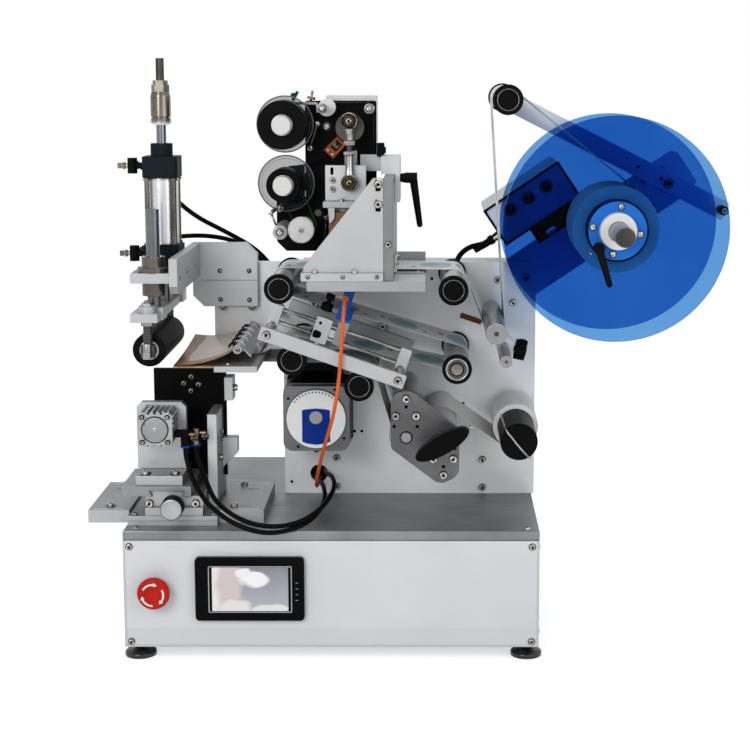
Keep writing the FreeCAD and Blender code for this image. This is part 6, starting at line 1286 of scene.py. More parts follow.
arrows = bmesh.new()
for first in (150, 30, 270):
    arrow_arc(arrows, first, -66, 13.2, 2.2, -26.35, -25.6)
add("stop_button_arrows", arrows, "print_white", "stop_button", 0.1, move=(39.4, 0, 93.7))
hoop("stop_button_groove", "red_plastic", "stop_button", 39.4, 93.7, 8.6, 9.4, -26.3, -25.7)


def film_finish():
    """The screen under its wrinkled protective film, with the soft shapes it mirrors painted on as reflections.
    """
    f = Finish("screen_protective_film")
    spot = f.node("ShaderNodeSeparateXYZ", {"Vector": f.place})
    ripple = f.math("MULTIPLY", f.math("SUBTRACT", f.noise(34, detail=1.5), 0.5), 0.24)
    across = f.math("ADD", f.spread(spot.outputs["X"], 0, 1, at(109, 0, 0).x, at(203, 0, 0).x), ripple)
    rise = f.math("ADD", f.spread(spot.outputs["Z"], 0, 1, 0.068, 0.124), ripple)

    def glare(cu, cv, wide, tall):
        """A soft-edged oval of painted reflection in the film."""
        u = f.math("DIVIDE", f.math("SUBTRACT", across, cu), wide)
        v = f.math("DIVIDE", f.math("SUBTRACT", rise, cv), tall)
        return f.spread(f.math("ADD", f.math("MULTIPLY", u, u), f.math("MULTIPLY", v, v)), 1, 0, 0.6, 1.05)

    fine = f.noise(300, detail=3)
    # Darker towards the top; the pale left part and the ovals below are painted reflections.
    tone = f.mix(rise, rgb(168, 170, 178), rgb(116, 121, 132))
    tone = f.mix(f.spread(across, 1, 0, 0.36, 0.44), tone, rgb(196, 184, 184))
    tone = f.mix(f.spread(across, 1, 0, 0.03, 0.12), tone, rgb(222, 216, 216))
    tone = f.mix(glare(0.3, 0.0, 0.24, 0.3), tone, rgb(218, 212, 212))
    tone = f.mix(glare(0.56, 0.72, 0.2, 0.2), tone, rgb(230, 230, 230))
    tone = f.mix(glare(0.42, 0.88, 0.1, 0.12), tone, rgb(226, 226, 226))
    tone = f.mix(glare(0.76, 0.04, 0.26, 0.12), tone, rgb(214, 214, 216))
    f.set(base_color=tone, roughness=f.spread(fine, 0.08, 0.2), coat_weight=0.4, coat_roughness=0.1)
    f.bumps(fine, 0.1)
    return f.material


MATERIALS["film"] = film_finish()
add("screen_film", made(slab, rounded(93.2, 55.2, 1.2, 3, (155.9, 95.8)), -8.6, -7.9), "film", "touch_panel", 0)
edge = bmesh.new()
for cx, cz, w, h in ((155.9, 124.6, 101, 1.1), (155.9, 67.0, 101, 1.1), (105.4, 95.8, 1.3, 57),
    (206.4, 95.8, 1.2, 57)):
    slab(edge, rounded(w, h, 0.5, 3, (cx, cz)), -9.3, -8.9)
add("screen_film_edge", edge, "frosted", "touch_panel", 0)
straight_row("screen_key_marks", made(block, -1.6, 1.6, -0.12, 0.12, -0.35, 0.35), "print_grey",
    BODY_OF["touch_panel"], SLOT_OF["touch_panel"], 4, (213, -9.1, 82), (213, -9.1, 104))

for k, (x, y) in enumerate([(14, 28), (496, 28), (14, 357), (496, 357)]):
    foot = bmesh.new()
    points = [(8.4 * cos(pi * i / 3), 8.4 * sin(pi * i / 3)) for i in range(6)]
    low, high = ([foot.verts.new((x + a, y + b, z)) for a, b in points] for z in (13.6, 18.6))
    for i in range(6):
        foot.faces.new((low[i], low[(i + 1) % 6], high[(i + 1) % 6], high[i]))
    foot.faces.new(high)
    foot.faces.new(low[::-1])
    add("leveling_foot_nut_%d" % (k + 1), foot, "steel", "leveling_feet", 0.5)


# Panel, housing, bearing plate, motor

on("main_panel", "panel_screws", "socket", facing(
        FRONT, 4.2, (463, 180, 453.4), (483.7, 180, 423.3), (500.6, 180, 456.1), (444.6, 180, 213.2),
        (444.6, 180, 175.6), (251.2, 180, 215.2), (251.2, 180, 176.8)))
on("main_panel", "panel_holes", "hole", facing(
        FRONT, 2.0, (275.1, 180, 251.4), (284.6, 180, 251.4), (191.2, 180, 182.7), (377.2, 180, 455.1),
        (418.8, 180, 289.1)) + facing(FRONT, 4.0, (224.2, 180, 226.4)), "shadow")
on("drive_housing", "housing_screws", "button",
    facing(RIGHT, 3.4, *[(511.5, y, z) for y in (200, 302) for z in (180.8, 347.7, 450)]) +
    facing(LEFT, 3.4, *[(200, y, z) for y in (200, 302) for z in (180.8, 330)]) +
    facing(BACK, 3.4, *[(x, 310, z) for x in (212, 356, 500) for z in (180, 450)]))
straight_row("housing_louvres", made(slab, [(-26, -1.4), (26, -1.4), (26, 1.4), (-26, 1.4)], -0.5, 1.6),
    "shadow", "machine", SLOT_OF["drive_housing"], 7, (356, 309.4, 370), (356, 309.4, 412))
add("panel_edge_strip", made(slab, [(0, -3.6), (29, -3.6), (29, 3.6), (0, 3.6)], 0, 1), "brown_strip",
    "main_panel", 0.1, Matrix.Rotation(radians(19), 3, "Y"), (414.7, 178.9, 407.2))

on("bearing_plate", "bearing_plate_screws", "socket", facing(
        FRONT, 4.3, (347.1, -10, 333.7), (334.4, -10, 313), (358.9, -10, 313), (379.7, -10, 259.9),
        (403.7, -10, 260.2), (391.9, -10, 240.4)))
on("bearing_plate", "bearing_plate_holes", "hole", facing(
        FRONT, 2.2, (346.9, -10, 323.9), (332.5, -10, 299.9), (360.3, -10, 299.9), (405.7, -10, 272.8),
        (391.9, -10, 250.4)), "shadow")
stud("traction_shaft_end", "steel", "traction_roller", 346.8, 286.4, 6.4, -11.2, -8, 0.8)
hoop("traction_shaft_seat", "shadow", "bearing_plate", 346.8, 286.4, 7.0, 7.9, -10.2, -9.8)
tip = Vector((cos(radians(30)), sin(radians(30))))
stud("handle_tip_screw", "steel", "pinch_lever", 390.3 + tip.x * 39.5, 286.5 + tip.y * 39.5, 2.0, -46, -39, 0.5)

stud("motor_label", "print_white", "stepper_motor", 230.3, 285, 37.6, 98.55, 99.2, 0.15, 96)
add("motor_label_panel", made(slab, [(-17.8, 11.6), (-12, 13), (0, 14), (12, 13), (17.8, 11.6), (17.8, -29),
        (12, -31.6), (0, -33.2), (-12, -31.6), (-17.8, -29)], 98.3, 98.6), "print_blue", "stepper_motor", 0,
    move=(230.3, 0, 285))
stud("motor_label_dot", "print_grey", "stepper_motor", 230.1, 287.1, 8.2, 98.1, 98.35, 0.05)
round_row("motor_label_ticks", made(block, -0.75, 0.75, -0.12, 0.12, 34.0, 36.2), "print_black", "machine",
    SLOT_OF["stepper_motor"], 15, (230.3, 98.5, 285), radians(-50), radians(107))
on("stepper_motor", "motor_screws", "hole", facing(
        FRONT, 1.9, (194.9, 102, 311), (254.1, 102, 322.7), (206.9, 102, 248.6), (265.6, 102, 259.6)), "shadow")

# Rewind: wire clip that holds the spent liner on the mandrel
wire("rewind_clip", "steel", "rewind_mandrel", [
        (464.6, 72, 297.2), (465.2, 20, 298.2), (466.2, -8, 297.4), (470.0, -12.4, 291.5), (473.4, -12.2, 287.9),
        (481.6, -12.2, 276.9), (493.3, -12.2, 263.8)], 1.3)
wire("rewind_clip_far_leg", "steel", "rewind_mandrel", [
        (493.3, -12.2, 263.8), (496.8, -8, 260.2), (500.5, 30, 262.6), (500.5, 72, 262.6)], 1.3)
stud("rewind_centre_mark", "shadow", "rewind_mandrel", 483, 281, 2.2, -10.3, -9.8, 0.1)


# Brake bar, small bar, reel

round_row("tension_collar_knurl", made(block, -0.34, 0.34, -6.6, 6.6, 13.7, 14.35), "white_plastic", "machine",
    SLOT_OF["panel_shafts"], 40, (466.7, 101.5, 379.6))
stud("brake_bar_centre", "dark_steel", "panel_shafts", 454.9, 413.4, 3.0, -14.3, -13.8, 0.1)
stud("small_bar_centre", "dark_steel", "panel_shafts", 466.7, 379.6, 2.0, -14.3, -13.8, 0.1)
lobe = bmesh.new()
for k in range(5):
    a = 2 * pi * k / 5
    lathe(lobe, [(0, -4.4), (2.6, -4.4), (3.6, -3.4), (3.6, 3.4), (2.6, 4.4), (0, 4.4)], 16, "X",
        (10, 10.6 * cos(a), 10.6 * sin(a)))
add("star_knob_lobes", lobe, "black_plastic", "star_knob", 0.3, Matrix.Rotation(radians(12), 3, "Y"),
    (480.5, 101.5, 376.6))

on("reel_hub", "hub_screws", "cross", facing(
        FRONT, 3.9, (608.6, 53, 559.6), (574.4, 53, 534.8), (632.2, 53, 526.2), (599, 53, 501.6)))
hoop("hub_shadow_line", "hub_navy", "reel_hub", 604.7, 530.4, 36.4, 38.2, 52.7, 53.3)
hoop("spindle_bore_ring", "print_grey", "reel_hub", 604.7, 530.4, 12.3, 13.0, 40.7, 41.2)
t = radians(34)


def along_support(run, rise):
    """A place on the sloping reel support, measured from the spindle."""
    return 604.7 + run * cos(t) - rise * sin(t), 530.4 + run * sin(t) + rise * cos(t)


places = [along_support(r, w) for r, w in ((-176, 16), (-176, -16), (-128, 0), (70, 18), (96, 16), (96, -16),
        (60, -17))]
on("reel_support", "support_screws", "socket", facing(FRONT, 4.0, *[(x, 190, z) for x, z in places]))
arm = Vector((752.8 - 466.9, 546.3 - 690)).normalized()
across = Vector((-arm.y, arm.x))
spots = [Vector((466.9, 690)) + arm * r for r in (198, 232)]
on("reel_support", "guide_arm_bolt", "socket", facing(FRONT, 6.2, (684.2, 182, 579.6)))
on("reel_support", "guide_arm_screws", "hole", facing(FRONT, 2.4, *[(s.x, 182, s.y) for s in spots]), "shadow")
on("reel_support", "arm_stop_screw", "socket", facing(FRONT, 3.6, (752.8, 158, 546.3)))
lever = radians(219)
on("reel_clamp_lever", "reel_lever_screw", "button",
    [(604.7 + 42.5 * cos(lever), 47, 530.4 + 42.5 * sin(lever), 2.6, (cos(lever), 0, sin(lever)))])


# Control box

c, s = cos(radians(34)), sin(radians(34))


def on_box(run, height):
    return 474.2 + run * c - height * s, 497.5 + run * s + height * c


rim = bmesh.new()
for (r0, h0), (r1, h1) in (((0, 0), (117, 3)), ((0, 52), (117, 55)), ((0, 3), (3, 52)), ((114, 3), (117, 52))):
    slab(rim, [on_box(r0, h0), on_box(r1, h0), on_box(r1, h1), on_box(r0, h1)], 186.2, 187.3)
add("control_box_rim", rim, "black_anodised", "control_box", 0.2)
for k in (1, 2, 3):
    x, z = on_box(31 + 27.5 * (k - 1), 36)
    hoop("control_knob_%d_skirt" % k, "steel", "control_box", x, z, 7.0, 9.0, 188.6, 190.2)
    line = bmesh.new()
    block(line, -0.5, 0.5, -0.2, 0.2, 1.4, 5.6)
    front = min(v.co.y for v in frame["nodes"]["control_knob_%d" % k].data.vertices) / MM - CORNER.y / MM
    add("control_knob_%d_mark" % k, line, "print_white", "control_knob_%d" % k, 0, move=(x, front - 0.05, z))
straight_row("control_box_scale_marks", made(block, -2.6, 2.6, -0.1, 0.1, -0.5, 0.5), "print_white", "machine",
    SLOT_OF["control_box"], 3, (*on_box(31, 22)[:1], 189.6, on_box(31, 22)[1]),
    (*on_box(86, 22)[:1], 189.6, on_box(86, 22)[1]))
on("control_box", "control_box_screws", "button", [
        (*on_box(r, h)[:1], 327, on_box(r, h)[1], 2.6, BACK) for r in (8, 109) for h in (8, 47)])
relief = bmesh.new()
lathe(relief, [(0, 0), (6.2, 0), (6.6, 1), (6.2, 6), (5.0, 7), (4.9, 14), (4.1, 22), (3.6, 30), (0, 30)], 24,
    "X")
ahead = Vector((448.13 - 456.42, 0, 496.80 - 502.40)).normalized()
add("control_box_strain_relief", relief, "black_plastic", "control_box", 0.2,
    ahead.to_track_quat("X", "Z").to_matrix(), (458.5, 220, 503.8))


# Press head

on("press_arm", "bracket_holes", "hole", facing(
        FRONT, 3.3, (102.1, 170, 465.9), (102.1, 170, 428.4), (139.8, 170, 465.9), (139.8, 170, 427.9)), "shadow")
on("press_arm", "bracket_hole_screws", "button", facing(
        FRONT, 2.7, (102.1, 170.4, 465.2), (102.1, 170.4, 427.7), (139.8, 170.4, 465.2), (139.8, 170.4, 427.2)))
on("press_arm", "arm_side_holes", "hole", facing(RIGHT, 2.4, *[(76.7, y, 478) for y in (4, 61, 124)]), "shadow")
for k, x in enumerate((104.4, 142.4)):
    stud("bracket_pin_%d" % (k + 1), "steel", "press_arm", x, 419.2, 5.0, 170.5, 177.5, 1.0)
add("bracket_seam", made(block, 77.5, 150.5, 169.6, 170.4, 453.7, 454.2), "dark_steel", "press_arm", 0)
for y in (8, 162):
    add("bushing_lip_%d" % y, made(lathe, [(8.3, 503.0), (13.2, 503.0), (13.8, 502.2), (13.8, 500.8),
            (8.3, 500.8)], 48, "Z", (44.5, y, 0)), "steel", "press_arm", 0)
    add("guide_rod_end_%d" % y, made(lathe, [(7.0, 560.2), (7.6, 559.4), (7.0, 559.4), (0, 559.4), (0, 560.2)],
            32, "Z", (44.5, y, 0)), "steel", "press_yoke", 0)
for z in (510.8, 592.2):
    for x in (28, 61):
        for y in (68.5, 101.5):
            bm = bmesh.new()
            points = [(4.6 * cos(pi * i / 3), 4.6 * sin(pi * i / 3)) for i in range(6)]
            low, high = ([bm.verts.new((x + a, y + b, h)) for a, b in points]
                for h in ((z, z + 2.6) if z < 550 else (z - 2.6, z)))
            for i in range(6):
                bm.faces.new((low[i], low[(i + 1) % 6], high[(i + 1) % 6], high[i]))
            bm.faces.new(high)
            bm.faces.new(low[::-1])
            add("tie_rod_nut_%d_%d_%d" % (z, x, y), bm, "nickel", "press_cylinder", 0.3)
tube_ring = bmesh.new()
lathe(tube_ring, [(0, 0), (19.9, 0), (20.3, 0.4), (20.3, 1.6), (19.9, 2.0), (0, 2.0)], 64, "Z",
    (44.5, 85, 510.6))
lathe(tube_ring, [(0, 0), (19.9, 0), (20.3, 0.4), (20.3, 1.6), (19.9, 2.0), (0, 2.0)], 64, "Z",
    (44.5, 85, 590.4))
add("cylinder_tube_collars", tube_ring, "steel", "press_cylinder", 0)
for z in (498.5, 607.0):
    add("flow_control_needle_%d" % z, made(lathe, [(0, -8.6), (3.4, -8.6), (3.9, -8.0), (3.9, -4.4),
            (3.4, -3.9), (1.7, -3.9), (1.7, -2.6), (4.4, -2.6), (4.9, -2.0), (4.9, 0.6), (4.4, 1.2), (2.6, 1.2),
            (2.6, 2.0), (0, 2.0)], 6, "X", (-1.4, 85, z)), "nickel", "press_cylinder", 0.15)
    add("flow_control_collar_%d" % z, made(lathe, [(3.4, 0), (5.6, 0), (6.2, 0.6), (6.2, 2.4), (5.6, 3.0),
            (3.4, 3.0)], 32, "Y", (8, 100.4, z)), "collar_blue", "press_cylinder", 0)


def threads(name, finish, node, x, y, radius, z0, z1, pitch=1.75):
    """Thread crests as a stack of thin rings."""
    ring = bmesh.new()
    lathe(ring, [(radius * 0.9, -pitch * 0.42), (radius, -pitch * 0.1), (radius, pitch * 0.1),
            (radius * 0.9, pitch * 0.42)], 24, "Z")
    bmesh.ops.delete(ring, geom=[f for f in ring.faces if len(f.verts) > 4], context="FACES_ONLY")
    count = int((z1 - z0) / pitch)
    return straight_row(name, ring, finish, BODY_OF[node], SLOT_OF[node], count, (x, y, z0), (x, y, z1))


threads("stroke_stud_thread", "dark_steel", "press_yoke", 44.5, 85, 4.2, 712, 737)
threads("front_hanger_thread", "dark_steel", "press_yoke", 40, -16.5, 5.6, 403, 428)
threads("rear_hanger_thread", "dark_steel", "press_yoke", 40, 142.5, 5.6, 403, 428)
nuts = [(40, y, z) for y in (-16.5, 142.5) for z in (444,)]
on("press_yoke", "hanger_nuts", "nut", facing(UP, 7.2, *nuts))
add("hanger_square_nut", made(block, 35.6, 44.4, -28.6, -26.4, 384.2, 393.0), "steel", "press_yoke", 0.6)
add("hanger_rod_end", made(lathe, [(0, 390.0), (4.5, 390.0), (4.9, 390.6), (4.9, 402.0), (0, 402.0)], 32, "Z",
        (40, -22.6, 0)), "steel", "press_yoke", 0)
add("adjuster_lower_lip", made(lathe, [(11.6, 659.6), (12.9, 659.9), (12.9, 661.4), (11.6, 661.8)], 48, "Z",
        (44.5, 85, 0)), "steel", "press_yoke", 0)
hoop("press_roller_bearing", "steel", "press_roller", 40, 392.4, 5.2, 11.5, -9.5, -8.6)
hoop("press_roller_bearing_gap", "shadow", "press_roller", 40, 392.4, 7.4, 9.2, -9.7, -9.3)
hoop("press_roller_rear_bearing", "steel", "press_roller", 40, 392.4, 5.2, 11.5, 134.6, 135.5)


# Stage, clamp, backstop

on("stage_base", "stage_wing_screws", "socket", facing(
        UP, 4.4, (130.5, 160, 183), (130.5, 52, 183), (-24, 160, 183), (-24, 52, 183)))
on("stage_base", "stage_block_screws", "socket", facing(FRONT, 4.4, (29, 30, 193.8), (86, 30, 193.8)))
on("stage_base", "stage_plate_screws", "button", facing(UP, 3.8, (10, 31, 179), (106, 31, 179)))
for side, (x0, x1) in {"left": (-44, -6), "right": (118, 164)}.items():
    for name, (y0, y1) in {"front": (40, 43), "rear": (167, 170)}.items():
        add("stage_wing_groove_%s_%s" % (side, name), made(block, x0, x1, y0, y1, 182.9, 183.15),
            "white_plastic", "stage_base", 0)
slot_line = bmesh.new()
block(slot_line, 24.5, 94.5, 24.7, 25.2, 189.4, 189.9)
block(slot_line, 2.5, 112.5, 22.8, 23.1, 172.8, 173.2)
add("stage_joint_lines", slot_line, "dark_steel", "stage_base", 0)
on("stage_slide", "slide_end_screws", "hole", facing(LEFT, 2.2, (-5, 45, 209.6), (-5, 98, 209.6)), "shadow")
on("stage_slide", "foot_screws", "socket", facing(UP, 4.4, (23, 38, 228), (60, 38, 228), (23, 94, 228),
        (60, 94, 228)))
for x in (23, 60):
    add("foot_slot_%d" % x, made(slab, rounded(10.5, 20, 5.2, 6), -0.15, 0.25), "shadow", "stage_slide", 0,
        Matrix.Rotation(radians(-90), 3, "X"), (x, 42, 228.1))
round_row("hand_knob_knurl", made(block, -0.34, 0.34, -9.5, 9.5, 13.2, 13.85), "black_plastic", "stage_knob",
    SLOT_OF["stage_knob"], 44, (61.8, 0.5, 196.5))
stud("hand_knob_cap", "turned_aluminium", "stage_knob", 61.8, 196.5, 11.6, -12.8, -11.6, 0.4, 64)
stage = BODY_OF["stage_slide"]
for k, (dx, dz) in enumerate([(-15.6, 15.6), (15.6, 15.6), (-15.6, -15.6), (15.6, -15.6)]):
    hoop("clamp_bolt_seat_%d" % (k + 1), "steel", "stage_slide", 37.9 + dx, 287 + dz, 3.3, 4.5, 26.4, 27.2)
    hoop("clamp_bolt_gap_%d" % (k + 1), "shadow", "stage_slide", 37.9 + dx, 287 + dz, 1.9, 3.3, 26.7, 27.3)
    on("stage_slide", "clamp_bolt_%d" % (k + 1), "socket", facing(FRONT, 1.9, (37.9 + dx, 27.4, 287 + dz)))
hoop("clamp_bore_gap", "shadow", "stage_slide", 37.9, 287, 15.6, 17.0, 26.7, 27.2)
stud("clamp_bore_cap", "ground_top", "stage_slide", 37.9, 287, 15.5, 25.8, 27.5, 1.2, 64)
stud("clamp_cap_dimple", "steel", "stage_slide", 37.9, 287, 3.0, 25.5, 26.2, 0.5)
for k, a in enumerate((150, 210)):
    stud("clamp_clip_eye_%d" % (k + 1), "dark_steel", "stage_slide", 37.9 + 15.4 * cos(radians(a)),
        287 + 15.4 * sin(radians(a)), 1.5, 25.6, 26.6, 0.2)
straight_row("clamp_top_fins", made(block, -1.3, 1.3, -20.5, 20.5, 0, 1.7), "turned_aluminium", stage,
    SLOT_OF["stage_slide"], 6, (21.5, 48.5, 308), (54.3, 48.5, 308))
straight_row("clamp_side_fins", made(block, 0, 1.5, -20.5, 20.5, -1.3, 1.3), "turned_aluminium", stage,
    SLOT_OF["stage_slide"], 3, (59.2, 48.5, 292), (59.2, 48.5, 304))
for name, x0, y, z in (("front", 79.2, 42, 273), ("rear", 91.2, 52, 273)):
    add("elbow_needle_" + name, made(lathe, [(0, 0), (2.4, 0), (2.4, 1), (4.6, 1), (4.9, 1.6), (4.9, 3.4),
            (4.6, 4), (1.9, 4), (1.9, 6), (3.2, 6), (3.5, 6.4), (3.5, 9.2), (3.2, 9.6), (0, 9.6)], 6, "X",
            (x0, y, z)), "nickel", "stage_slide", 0.15)
    add("elbow_collar_" + name, made(lathe, [(3.2, 0), (5.4, 0), (6.2, 0.5), (6.2, 2.0), (5.6, 2.6),
            (3.2, 2.6)], 32, "Z", (72.6 if name == "front" else 84.6, y, 261.6)), "collar_blue", "stage_slide", 0)

on("backstop", "backstop_screws", "button", facing(
        FRONT, 3.4, (68.3, 129, 334.2), (58.6, 129, 325.6), (77.4, 129, 324.2), (67.4, 129, 315.8)))
on("backstop", "side_plate_screws", "socket", facing(RIGHT, 4.2, (124, 120, 322), (108.5, 90, 238)) +
    facing(RIGHT, 2.6, (108.5, 104, 268), (108.5, 104, 258)))
on("backstop", "leg_screws", "socket", facing(UP, 3.6, (30, 140, 205), (99, 140, 205)))
ridge = bmesh.new()
block(ridge, 42, 43, 128.6, 129.2, 210, 344)
block(ridge, 92, 93, 128.6, 129.2, 210, 344)
add("backstop_pad_edges", ridge, "press_rubber", "backstop", 0)


# Peel plate, film rod, clips

FILM_LINE = [(67.5, 372.6), (78, 372.7), (90, 373.6), (103, 376), (116, 379.8), (128, 384.6), (139.5, 390.8)]
FILM_ROWS = [-3, 8, 20, 40, 70, 100, 130, 155, 176]


def guide_film():
    """The clear amber film that hangs from the rod down to the peeling edge, with a painted cream glare over all
    but a strip along its front and its peeling edge.
    """
    f = Finish("amber_guide_film")
    spot = f.node("ShaderNodeSeparateXYZ", {"Vector": f.place})
    wave = f.math("MULTIPLY", f.math("SUBTRACT", f.noise(16, detail=1), 0.5), 0.016)
    from_edge = f.math("SUBTRACT", f.math("ADD", spot.outputs["X"], wave), at(67, 0, 0).x)
    from_front = f.math("SUBTRACT", f.math("ADD", spot.outputs["Y"], wave), at(0, -3, 0).y)
    # Painted glare: pale cream away from the front and the peeling edge.
    glare = f.math("MINIMUM", f.spread(from_edge, 0, 1, 0.013, 0.015), f.spread(from_front, 0, 1, 0.026, 0.03))
    glare_colour = f.mix(f.spread(f.noise(14, detail=1), 0, 1, 0.4, 0.6), rgb(186, 176, 164), rgb(172, 161, 147))
    amber = f.mix(f.spread(f.noise(60, detail=3), 0, 1, 0.4, 0.6), rgb(128, 82, 42), rgb(100, 62, 32))
    f.set(base_color=f.mix(glare, amber, glare_colour), roughness=f.spread(f.noise(200), 0.3, 0.36),
        specular_ior_level=0.1)
    f.bumps(f.noise(20, detail=1), 0.01)
    return f.material


MATERIALS["amber_film"] = guide_film()
film = bmesh.new()
sheet = []
for lift in (0.0, 0.3):
    sheet.append([[film.verts.new((x, y, z + lift + 9 * (max(y, 0) / 176) ** 2 * (1 - (x - 67.5) / 80)))
            for y in FILM_ROWS] for x, z in FILM_LINE])
bottom, top = sheet
for i in range(len(FILM_LINE) - 1):
    for j in range(len(FILM_ROWS) - 1):
        bottom_face = (bottom[i][j], bottom[i][j + 1], bottom[i + 1][j + 1], bottom[i + 1][j])
        film.faces.new(bottom_face)
        film.faces.new((top[i][j], top[i + 1][j], top[i + 1][j + 1], top[i][j + 1]))
rim = [(i, 0) for i in range(len(FILM_LINE))] + [(len(FILM_LINE) - 1, j) for j in range(1, len(FILM_ROWS))]
rim += [(i, len(FILM_ROWS) - 1) for i in range(len(FILM_LINE) - 2, -1, -1)]
rim += [(0, j) for j in range(len(FILM_ROWS) - 2, 0, -1)]
for (a, b), (c, d) in zip(rim, rim[1:] + rim[:1]):
    film.faces.new((bottom[a][b], bottom[c][d], top[c][d], top[a][b]))
bmesh.ops.recalc_face_normals(film, faces=film.faces)
add("guide_film", film, "amber_film", "peel_plate", 0, angle=60)
add("film_notched_strip", made(slab, [(138.6, 391.6), (141.8, 399.6), (143.0, 399.2), (139.8, 391.2)], 2, 176),
    "brown_strip", "peel_plate", 0.2)
straight_row("film_clips", made(slab, [(-1.0, 1.5), (1.5, 7.6), (-3.2, 8.2), (-7.6, 4.4), (-8.4, 0.6),
        (-5.8, 1.6), (-4.4, 4.6), (-2.2, 5.4)], -3.8, 3.8), "black_plastic", "machine", SLOT_OF["peel_plate"], 5,
    (139.6, 15, 391), (139.6, 150, 391))
straight_row("film_tabs", made(slab, [(-1.0, 0.4), (1.2, 5.8), (0.6, 6.2), (-7.4, 2.6), (-7.0, 1.9),
        (-1.6, 1.6)], -9.5, 9.5), "white_plastic", "machine", SLOT_OF["peel_plate"], 4, (139.6, 32, 391),
    (139.6, 133, 391))
on("peel_plate", "peel_block_screws", "button", facing(UP, 3.2, (131, 12, 371.6), (131, 158, 371.6)))
on("peel_plate", "film_rod_screw", "button", facing(FRONT, 3.0, (145, -9, 393)))


# Sensor frame

on("guide_frame", "frame_bar_screws", "socket", facing(FRONT, 4.3, (180.5, -14, 411.9), (337.2, -14, 356.8)))
on("guide_frame", "frame_rear_screws", "socket", facing(FRONT, 4.6, (223.7, 172, 423.7), (313.1, 172, 393.2)))
tilt = Matrix.Rotation(radians(19.4), 3, "Y")
for name, x, z in (("left", 179.5, 412), ("right", 337.6, 356.6)):
    for y in (55, 69):
        hoop("shaft_collar_%s_%d" % (name, y), "steel", "guide_frame", x, z, 5.05, 6.6, y - 0.6, y + 0.6)
on("sensor_carriage", "carriage_hole", "hole", facing(FRONT, 2.0, (240.2, 56, 415.5)), "shadow")
add("carriage_wing_knob", made(lathe, [(0, 0), (6.4, 0), (8.0, 1.4), (8.4, 6.0), (7.4, 9.6), (0, 10.4)], 5,
        "Z"), "black_plastic", "sensor_carriage", 1.4, Matrix.Rotation(radians(180 + 19), 3, "Y"),
    (236.5, 61, 406.5))
add("sensor_adjusting_knob", made(lathe, [(0, 0), (6.8, 0), (7.4, 0.8), (7.4, 9.2), (6.6, 10), (3.2, 10),
        (3.2, 15), (5.6, 15), (5.6, 22), (0, 22)], 24, "Z"), "black_plastic", "sensor_carriage", 0.3,
    Matrix.Rotation(radians(19), 3, "Y"), (246.5, 62, 430))
add("sensor_upper_shell", made(slab, [(258.4, 420.6), (269.6, 454.3), (282.8, 454.3), (279.5, 443.0),
        (271.5, 416.2)], 56.2, 66), "sensor_blue", "sensor_carriage", 0.8)
add("sensor_grommet", made(lathe, [(2.4, -4.6), (4.0, -4.6), (5.4, -3.4), (5.8, -0.6), (5.8, 1.0), (2.4, 1.0)],
        32, "Y", (272.66, 56, 423.86)), "sensor_blue", "sensor_carriage", 0)
relief = [(p - at(0, 0, 0)) / MM for p in centreline("sensor_relief", CORDS["sensor_cable"][2])]
relief = [p for p in relief[:relief.index(max(relief, key=lambda p: p.z)) + 1] if p.y < 55]
boot = swept(relief, 3.6)
for i, vert in enumerate(boot.verts):
    middle = relief[i // 16]
    vert.co = middle + (vert.co - middle) * (1 - 0.22 * (i // 16) / len(relief))
add("sensor_strain_relief", boot, "sensor_blue", "sensor_carriage", 0)
add("cable_grommet", made(lathe, [(2.4, -2.4), (3.4, -2.4), (4.1, -1.4), (4.1, 1.6), (2.4, 1.6)], 32, "Y",
        tuple(relief[-1])), "cable_orange", "sensor_carriage", 0)


# Print table and bracket

on("print_table", "foot_front_screws", "button", facing(FRONT, 2.5, (230.8, -14, 481.4), (272, -14, 481.4),
        (312.5, -14, 481.4)))
on("print_table", "foot_cap_screws", "socket", facing(UP, 3.3, (238.5, -12.6, 486), (286, -12.6, 486)))
on("print_table", "gusset_screws", "socket", facing(FRONT, 4.3, (314.2, -10, 591.0), (314.2, -10, 567.5)))
on("print_table", "table_screws", "button", facing(UP, 3.4, (360, 160, 476.4), (360, 76, 476.4)))
on("print_table", "upright_screws", "socket", facing(FRONT, 3.6, (326, -10, 520)) +
    facing(RIGHT, 3.6, (332, 10, 486), (332, 150, 486)))
add("table_rear_flange", made(block, 332, 369, 176, 180, 476, 491), "aluminium", "print_table", 0.5)
plugs = bmesh.new()
for z in (583.0, 560.0):
    slab(plugs, rounded(7.5, 17, 3.7, 5, (314.5, z)), -4.5, -3.5)
add("gusset_slot_backs", plugs, "shadow", "print_table", 0)


# Hot foil coder

CRANK_Y = 92


